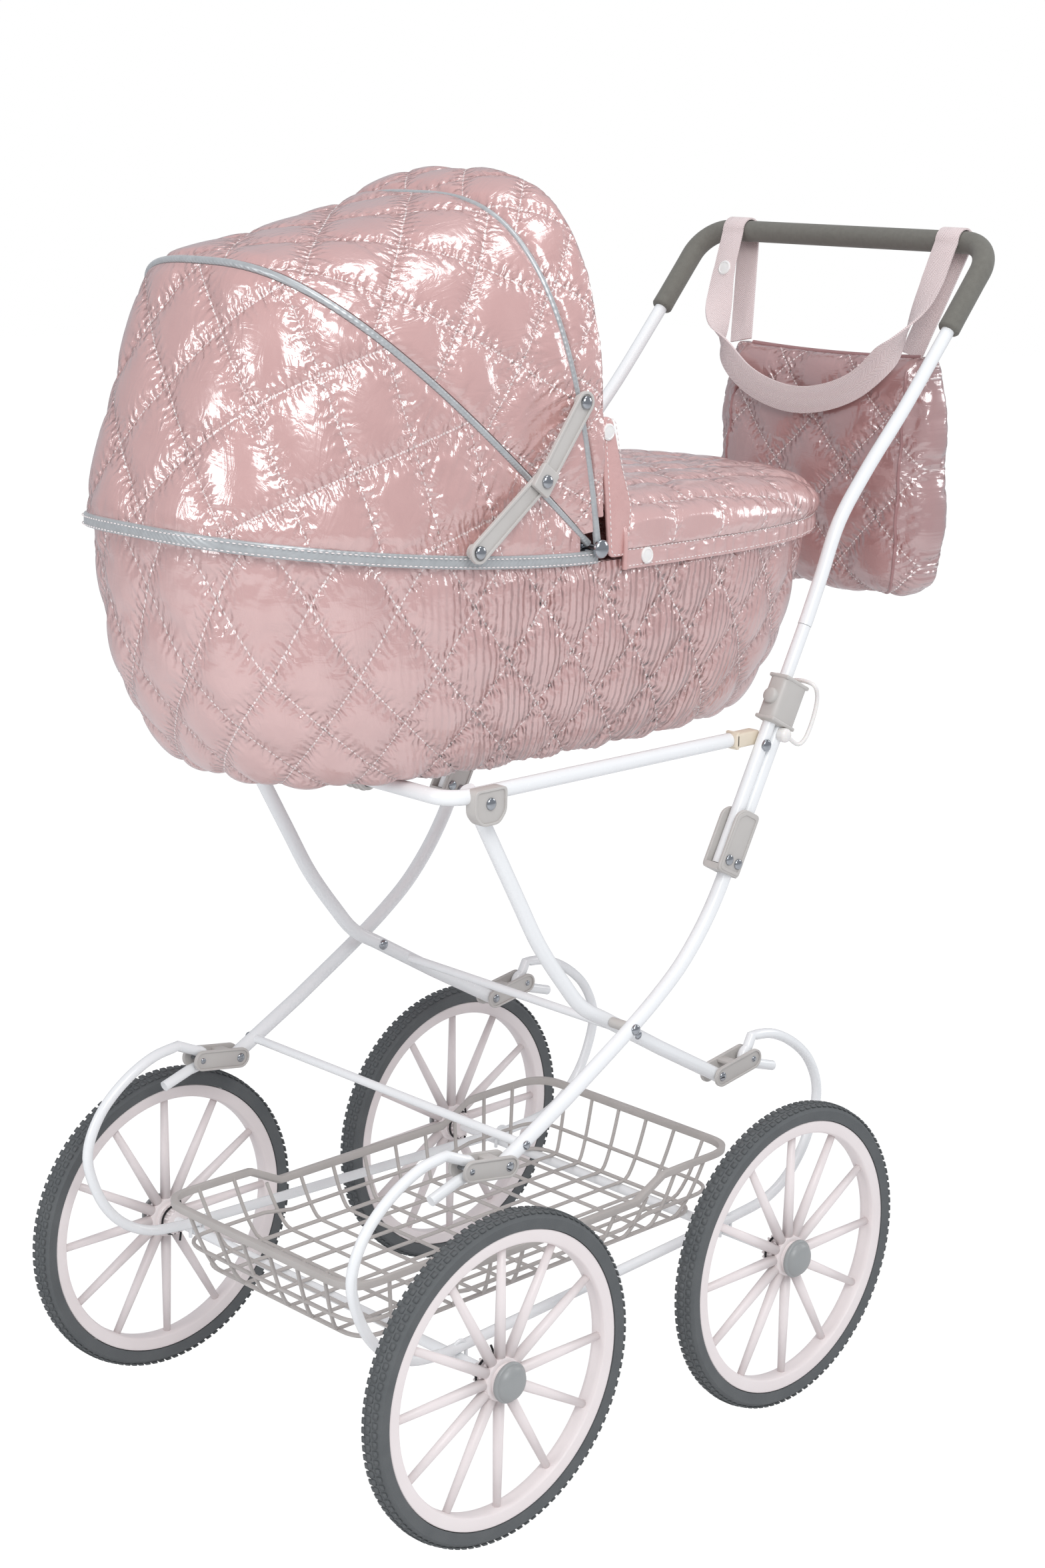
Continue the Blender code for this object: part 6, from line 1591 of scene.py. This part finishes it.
def beside(route, out, up):
    """A line beside a route: outwards from it in plan, and upwards."""
    moved = []
    for i, point in enumerate(route):
        tangent = (route[min(i + 1, len(route) - 1)] - route[max(i - 1, 0)]).normalized()
        side = tangent.cross(Vector((0.0, 0.0, 1.0))).normalized()
        centre = Vector((TUB_X + MID_X, 0.0, point.z))
        if side.dot(point - centre) < 0:
            side.negate()
        moved.append(point + side * out + Vector((0.0, 0.0, up)))
    return moved


trim_stitches = [beside(trim_places, 0.0036, up) for up in (0.0026, -0.0030)]
stitch_rows("look_trim_stitches", trim_stitches, "carrier")


# Apron
# A puffed satin cover over the foot end, sewn in bricks, with a stitched hem and two ears that snap to the hood.

APRON_FRONT = 0.0015
APRON_HALF = (0.298, 0.1432)
APRON_HEM = 0.6690
APRON_TOP = 0.7175
APRON_CELL = (0.054, 0.036)
APRON_COLUMNS = 330
HEM_DEPTH = 0.0135

# The second colour serves the slow tone drift and the painted shade at the seams.
apron_satin = stitched_satin("apron_rose_satin", "#DBAFAB", "#CB9C98", APRON_CELL, brick=True)
# The same satin cut on the bias and turned in as a narrow edging: smoother, with creases along it.
satin_edging = skin("rose_satin_edging", "#DBAFAB", 0.3, 0.05, 0.004, 0.0005, "#CB9C98", 0.012, IOR=1.8,
                    Coat_Weight=0.8, Coat_Roughness=0.18)

apron_levels = [(0.012, 1.0), (0.50, 0.985), (0.80, 0.895), (0.93, 0.76), (0.985, 0.58), (1.0, 0.38),
                (1.0, 0.0)]
profile = smooth_route([(share, height, 0.0) for share, height in apron_levels], 0.022)
apron_angles, _ = even_angles(APRON_COLUMNS, *APRON_HALF, math.pi / 2, 3 * math.pi / 2)
directions = np.stack(plan_outline(apron_angles, *APRON_HALF), axis=1)
rows = []
for knot in profile:
    share = min(knot.x, 1.0)
    x, y = directions[:, 0] * share, directions[:, 1] * share
    z = np.full(APRON_COLUMNS, APRON_HEM + (APRON_TOP - APRON_HEM) * knot.y)
    rows.append(np.stack([x + APRON_FRONT + MID_X, y, z], axis=1))
dome_grid = np.array(rows)
steps = np.cumsum(np.linalg.norm(np.diff(dome_grid, axis=0), axis=2), axis=0)
steps = np.concatenate([np.zeros((1, APRON_COLUMNS)), steps])
unit = directions / np.linalg.norm(directions, axis=1, keepdims=True)
flat = steps[..., None] * unit[None, :, :]
to_hem = steps[-1] - steps
u, v = flat[..., 0], flat[..., 1] + APRON_CELL[1] / 2
brick_row = v / APRON_CELL[1]
brick_run = u / APRON_CELL[0] + 0.5 * np.mod(np.floor(brick_row), 2)
to_row = 2 * np.abs(brick_row - np.round(brick_row))
to_run = 2 * np.abs(brick_run - np.round(brick_run))
puff = 0.0068 * (1 - (1 - to_row) ** 2.2) * (1 - 0.7 * (1 - to_run) ** 2.4)
puff += soft_noise(dome_grid, 0.025, 0.0016)
puff *= fade(to_hem - HEM_DEPTH, 0.008) * fade(-u - 0.002, 0.010)
puff += 0.0012 + 0.0005 * ripple(np.arctan2(v, u) * 0.2, 0.011, 0.4) * fade(HEM_DEPTH - to_hem, 0.004)
apron_flat = np.stack([u, v], axis=2)
on_row = np.minimum(to_row * APRON_CELL[1], to_run * APRON_CELL[0]) / 2
on_row = np.where(to_hem < HEM_DEPTH, 1.0, on_row)
edges = np.minimum(np.minimum(np.abs(to_hem - HEM_DEPTH), to_hem), np.minimum(-u - 0.001, 1.0))
apron_centre = (-0.10, 0.0, 0.60)
apron_face = simulated(dome_grid, puff, sewn(np.minimum(on_row, edges)), False, apron_centre, 1.2, 0.035, 14)
apron_face[..., 1] = np.clip(apron_face[..., 1], -0.1448, 0.1448)
apron_flat[to_hem < 0.0140] = (0.25 * APRON_CELL[0], 0.5 * APRON_CELL[1])  # no seam crosses the hem
apron = padded_shell("look_apron", dome_grid, apron_flat, apron_face, 0.0020, apron_satin, False, apron_centre)
dress(apron, "carrier", "pink_quilt", "apron")

front_edge = [Vector(p) for p in apron_face[::-1, 0]] + [Vector(p) for p in apron_face[:, -1]]
edging = merged("look_apron_edging", [swept(front_edge, 0.0019, 10)], satin_edging)
dress(edging, "carrier", "pink_quilt")
hem_lines = []
for depth in (0.0022, HEM_DEPTH):
    row = int(np.argmin(np.abs(to_hem[:, 60] - depth)))
    hem_lines.append([Vector(p) for p in apron_face[row, 2:-2]])
stitch_rows("look_apron_hem_stitches", hem_lines, "carrier")

EAR_INNER = 0.1402
EAR_OUTER = 0.1434
ear_outline = [(-0.0030, 0.6780), (0.0165, 0.6780), (0.0205, 0.7150), (0.0270, 0.7600), (0.0290, 0.7710),
               (0.0250, 0.7770), (0.0165, 0.7750), (0.0060, 0.7400), (-0.0060, 0.7130)]
ear_shape = rounded(ear_outline, 0.006, 4)
ear_line = [(x * 0.8 + 0.0065 * 0.2, z * 0.97 + 0.735 * 0.03) for x, z in ear_shape]
for side, sign in (("left", 1), ("right", -1)):
    low, high = sorted((sign * EAR_INNER, sign * EAR_OUTER))
    verts, faces = plate([ear_shape], low, high, 0.0013)
    ear = surface_object("look_apron_ear_" + side, verts, faces, satin_edging, 50.0)
    dress(ear, "carrier", "pink_quilt")
    ear_stitches = [at(x, sign * (EAR_OUTER + 0.0002), z) for x, z in ear_line + ear_line[:1]]
    stitch_rows("look_ear_stitches_" + side, [ear_stitches], "carrier")


# Snaps
# White nylon press studs hold the apron's corners and ears, and close the bag's strap.


def snap(place, direction, radius=0.0058):
    """The cap of a press stud: a flat button with a raised ring."""
    profile = [(0.0, -0.0004), (radius, -0.0004), (radius * 1.02, 0.0007), (radius * 0.9, 0.0014),
               (radius * 0.78, 0.0015), (radius * 0.72, 0.0011), (radius * 0.3, 0.0013), (0.0, 0.0014)]
    return turned(profile, 32, place, direction)


for side, sign in (("left", 1), ("right", -1)):
    snaps = [snap(at(0.0215, sign * 0.1437, 0.7660), (0, sign, 0)),
             snap(at(-0.0200, sign * 0.1450, 0.6770), (0, sign, 0.1))]
    dress(merged("look_apron_snaps_" + side, snaps, white_nylon), "carrier", "white_plastic")


# Hood rivets and stays
# Chromed rivets carry the bows at the tub's sides; channel-shaped ABS stays fold to lock the hood up.


def pin(place, from_y, to_y, radius, sides):
    """A plain pin across the pram at a place in the side view."""
    return swept([at(place[0], from_y, place[1]), at(place[0], to_y, place[1])], radius, sides)


hood_tab = stadium((HOOD_PIVOT[0], HOOD_PIVOT[1] - 0.0125), HOOD_PIVOT, 0.0065, 0.0065)
pivot = [dome(at(HOOD_PIVOT[0], 0.1462, HOOD_PIVOT[1]), (0, 1, 0), 0.0066, 0.0040, 0.0012),
         pin(HOOD_PIVOT, 0.1310, 0.1460, 0.0022, 16), plate([hood_tab], 0.1305, 0.1330, 0.0005)]
both_sides("look_hood_pivot", pivot, chrome, "carrier", "chrome", "hood_pivot")

LOWER_BOLT = (0.1466, 0.6950)
ELBOW = (0.0897, 0.7380)
UPPER_BOLT = (0.0524, 0.7884)


def channel_arm(bolt, elbow, inner_y, thickness):
    """A moulded arm with a pin at its bolt: a flat web with a raised rim, and round ends."""
    outline = stadium(bolt, elbow, 0.0078, 0.0070)
    inside = stadium(bolt, elbow, 0.0056, 0.0048)
    return [plate([outline], inner_y, inner_y + thickness, 0.0006),
            plate([outline, inside], inner_y + thickness - 0.0006, inner_y + thickness + 0.0012, 0.0005)]


lower_arm = channel_arm(LOWER_BOLT, ELBOW, 0.1468, 0.0018) + [pin(LOWER_BOLT, 0.1415, 0.1475, 0.005, 20)]
both_sides("look_stay_lower_arm", lower_arm, grey_plastic, "stay_lower_arms", "grey_plastic", "stay_lower_arm")
upper_arm = channel_arm(UPPER_BOLT, ELBOW, 0.1495, 0.0018) + [pin(UPPER_BOLT, 0.1450, 0.1500, 0.005, 20)]
run = (Vector(ELBOW) - Vector(UPPER_BOLT)).normalized()
across_arm = Vector((-run.y, run.x))
stop = [tuple(Vector(ELBOW) + run * a + across_arm * b)
        for a, b in ((-0.010, -0.0085), (0.0085, -0.0085), (0.0085, 0.0085), (-0.010, 0.0085))]
upper_arm.append(plate([rounded(stop, 0.002, 3)], 0.1492, 0.1532, 0.0008))
both_sides("look_stay_upper_arm", upper_arm, grey_plastic, "stay_upper_arms", "grey_plastic", "stay_upper_arm")
for label, bolt, y, body in (("lower", LOWER_BOLT, 0.1492, "stay_lower_arms"),
                             ("upper", UPPER_BOLT, 0.1518, "stay_upper_arms"),
                             ("elbow", ELBOW, 0.1534, "stay_upper_arms")):
    head = dome(at(bolt[0], y, bolt[1]), (0, 1, 0), 0.0046, 0.0030, 0.0008)
    both_sides("look_stay_" + label + "_rivet", [head], chrome, body, "chrome")


# Bag
# A soft satin bag of a darker rose, quilted in diamonds, hangs behind the bar; piped seams run up its corners.

BAG_X = -0.3860
BAG_Y = 0.0120
BAG_HALF = 0.1080
BAG_DEPTH = 0.027
BAG_TOP = 0.7960
BAG_HEIGHT = 0.188
BAG_SAG = 0.0035
BAG_CELL = (0.072, 0.078)
BAG_COLUMNS = 240
# The second colour serves the slow tone drift and the painted shade at the seams.
bag_satin = stitched_satin("bag_dusky_satin", "#B98C8A", "#A77A78", BAG_CELL)
dusky_edging = skin("dusky_satin_edging", "#B08585", 0.32, 0.05, 0.003, 0.0004, "#9C7272", 0.012,
                    Sheen_Weight=0.2, Coat_Weight=0.3, Coat_Roughness=0.2)


def bag_sag(y):
    """How far the bag's top hangs between its straps."""
    return BAG_SAG * (1 - (y / 0.104) ** 2)


bag_angles, _ = even_angles(BAG_COLUMNS + 1, BAG_DEPTH, BAG_HALF, -math.pi / 2, 3 * math.pi / 2, 4.0)
bag_angles = bag_angles[:-1]
bag_levels = [(0.0, 0.05, 0.45), (0.0, 0.70, 0.88), (0.055, 0.95, 0.975), (0.35, 1.04, 1.0),
              (0.75, 0.88, 0.985), (0.96, 0.56, 0.955), (1.0, 0.34, 0.93), (1.0, 0.08, 0.88)]
bag_profile = smooth_route([(depth * BAG_DEPTH, width * BAG_HALF, height * BAG_HEIGHT)
                            for height, depth, width in bag_levels], 0.0030)
rows = []
climbed = 0.0
climbs = []
for i, level_now in enumerate(bag_profile):
    if i:
        climbed += (level_now - bag_profile[i - 1]).length
    x, y = plan_outline(bag_angles, max(level_now.x, 0.0012), level_now.y, 4.0)
    sag = bag_sag(y) * fade(np.array(level_now.z), BAG_HEIGHT)
    rows.append(np.stack([x + BAG_X + MID_X, y, BAG_TOP - BAG_HEIGHT + level_now.z - sag], axis=1))
    climbs.append(np.full(BAG_COLUMNS, climbed))
bag_grid = np.array(rows)
v = np.array(climbs)
bag_flat = np.stack([bag_grid[..., 1] + BAG_CELL[0] / 2, v], axis=2)
to_corner = np.abs(np.abs(bag_grid[..., 1]) - (BAG_HALF - 0.010))
puff = diamond_quilt(bag_flat[..., 0], v, BAG_CELL, 0.0048) + soft_noise(bag_grid, 0.03, 0.0024)
puff = puff * fade(to_corner, 0.012) * fade(v - 0.01, 0.03) * fade(climbed - v, 0.028)
bag_held = np.minimum(diamond_seams(bag_flat[..., 0], v, BAG_CELL), np.minimum(v, climbed - v))
bag_held = sewn(np.minimum(bag_held, to_corner))
bag_face = simulated(bag_grid, puff, bag_held, True, (BAG_X + MID_X, 0.0, 0.70), 0.9, 0.025, 12, 0.0075)
bag_face[..., 1] += BAG_Y
bag_faces = grid_faces(len(bag_profile), BAG_COLUMNS) + end_faces(len(bag_profile), BAG_COLUMNS)
bag = surface_object("look_bag", bag_face.reshape(-1, 3), bag_faces, bag_satin, 60.0, bag_flat.reshape(-1, 2))
dress(bag, "bag", "pink_quilt", "bag")

corner_lines = []
for quarter in (math.pi / 4, 3 * math.pi / 4, 5 * math.pi / 4, 7 * math.pi / 4):
    column = int(np.argmin(np.abs(np.mod(bag_angles - quarter + math.pi, math.tau) - math.pi)))
    corner_lines.append([Vector(p) for p in bag_face[10:-8, column]])
piping = merged("look_bag_piping", [swept(line_now, 0.0014, 8) for line_now in corner_lines], dusky_edging)
dress(piping, "bag", "pink_quilt")
zip_line = [at(BAG_X, y + BAG_Y, BAG_TOP - bag_sag(y) + 0.0006) for y in np.linspace(-0.088, 0.088, 25)]
dress(merged("look_bag_top_edging", [swept(zip_line, 0.0022, 10)], dusky_edging), "bag", "pink_quilt")


# Strap
# One length of 22 mm herringbone webbing runs from the bag's seams up over the grip, where its loops lie on the
# straight part, and hangs before the bag in a festoon.

# Polypropylene webbing: a herringbone of pale rose, with ribs every 1.6 mm, drawn from its own flat places. The
# herringbone shows in relief, and its grooves are painted darker as painted shade, its crests paler.
webbing, tree, shader = new_material("herringbone_webbing", "#E6D6D5", 0.75, Sheen_Weight=0.25)
flat_place = add_node(tree, "ShaderNodeUVMap", uv_map="cloth")
split = add_node(tree, "ShaderNodeSeparateXYZ", links={0: flat_place.outputs[0]})
folded = add_node(tree, "ShaderNodeMath", {1: 0.0055}, {0: split.outputs[1]}, operation="PINGPONG")
slant = add_node(tree, "ShaderNodeMath", links={0: split.outputs[0], 1: folded.outputs[0]}, operation="ADD")
turns = add_node(tree, "ShaderNodeMath", {1: math.tau / 0.0016}, {0: slant.outputs[0]}, operation="MULTIPLY")
ribs = add_node(tree, "ShaderNodeMath", links={0: turns.outputs[0]}, operation="SINE")
rib_share = add_node(tree, "ShaderNodeMapRange", {"From Min": -1.0, "From Max": 1.0},
                     {"Value": ribs.outputs[0]})
# Painted shade: darker in the grooves where the ribs' bump sinks, paler on the crests
groove_shaded_rib_colour = add_node(tree, "ShaderNodeMix", {6: colour("#DCC6C5"), 7: colour("#F3E6E5")},
                      {0: rib_share.outputs[0]}, data_type="RGBA")
tree.links.new(groove_shaded_rib_colour.outputs[2], shader.inputs["Base Color"])
bumped(tree, shader, rib_share.outputs[0], 0.7, 0.0004)

STRAP_WIDTH = 0.022
STRAP_HALF_THICK = 0.0009
LOOP_Y = 0.1115
around_bar = GRIP_RADIUS + STRAP_HALF_THICK + 0.0008
half_strap = [at(BAG_X, 0.0900, BAG_TOP + 0.0006)]
loop_start = at(GRIP_BAR[0] - around_bar, LOOP_Y, GRIP_BAR[1])
half_strap += [half_strap[0].lerp(loop_start, t) for t in (0.25, 0.5, 0.75)]
half_strap += [at(GRIP_BAR[0] + around_bar * math.cos(a), LOOP_Y, GRIP_BAR[1] + around_bar * math.sin(a))
               for a in np.linspace(math.pi, 0.0, 15)]
fall = smooth_route([half_strap[-1], at(-0.3760, 0.1060, 0.8400), at(-0.3580, 0.0900, 0.8010),
                     at(-0.3530, 0.0560, 0.7700), at(-0.3520, 0.0, 0.7560),
                     at(-0.3530, -0.0560, 0.7700)], 0.004)
middle_step = min(range(len(fall)), key=lambda i: abs(fall[i].y) + (0 if fall[i].z < 0.76 else 1))
half_strap += fall[1:middle_step + 1]
strap_route = half_strap + flipped(half_strap[:-1])
strap_ups = []
for place_now in strap_route:
    in_front = place_now.x > BAG_X + MID_X + 0.004
    hanging = float(fade(np.array(0.870 - place_now.z), 0.06)) if in_front else 0.0
    turned_share = hanging * (1 - 0.55 * min(1.0, abs(place_now.y) / LOOP_Y))
    sign = 1.0 if place_now.y >= 0 else -1.0
    strap_ups.append(Vector((0.0, sign * (1 - turned_share), 1.6 * turned_share)).normalized())
strap_section = rounded([(a * STRAP_HALF_THICK, b * STRAP_WIDTH / 2)
                         for a, b in ((-1, -1), (1, -1), (1, 1), (-1, 1))], 0.0005, 2)
verts, faces, flat_places = band(strap_route, strap_section, strap_ups)
strap = surface_object("look_bag_strap", verts, faces, webbing, 50.0, flat_places)
outward(strap)
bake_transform(strap)
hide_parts("bag_strap")
strap_snap = snap(at(-0.3820, -0.1080, 0.8560), (1.0, 0.0, 0.35), 0.0062)
dress(merged("look_strap_snap", [strap_snap], white_nylon), "bag", "white_plastic")
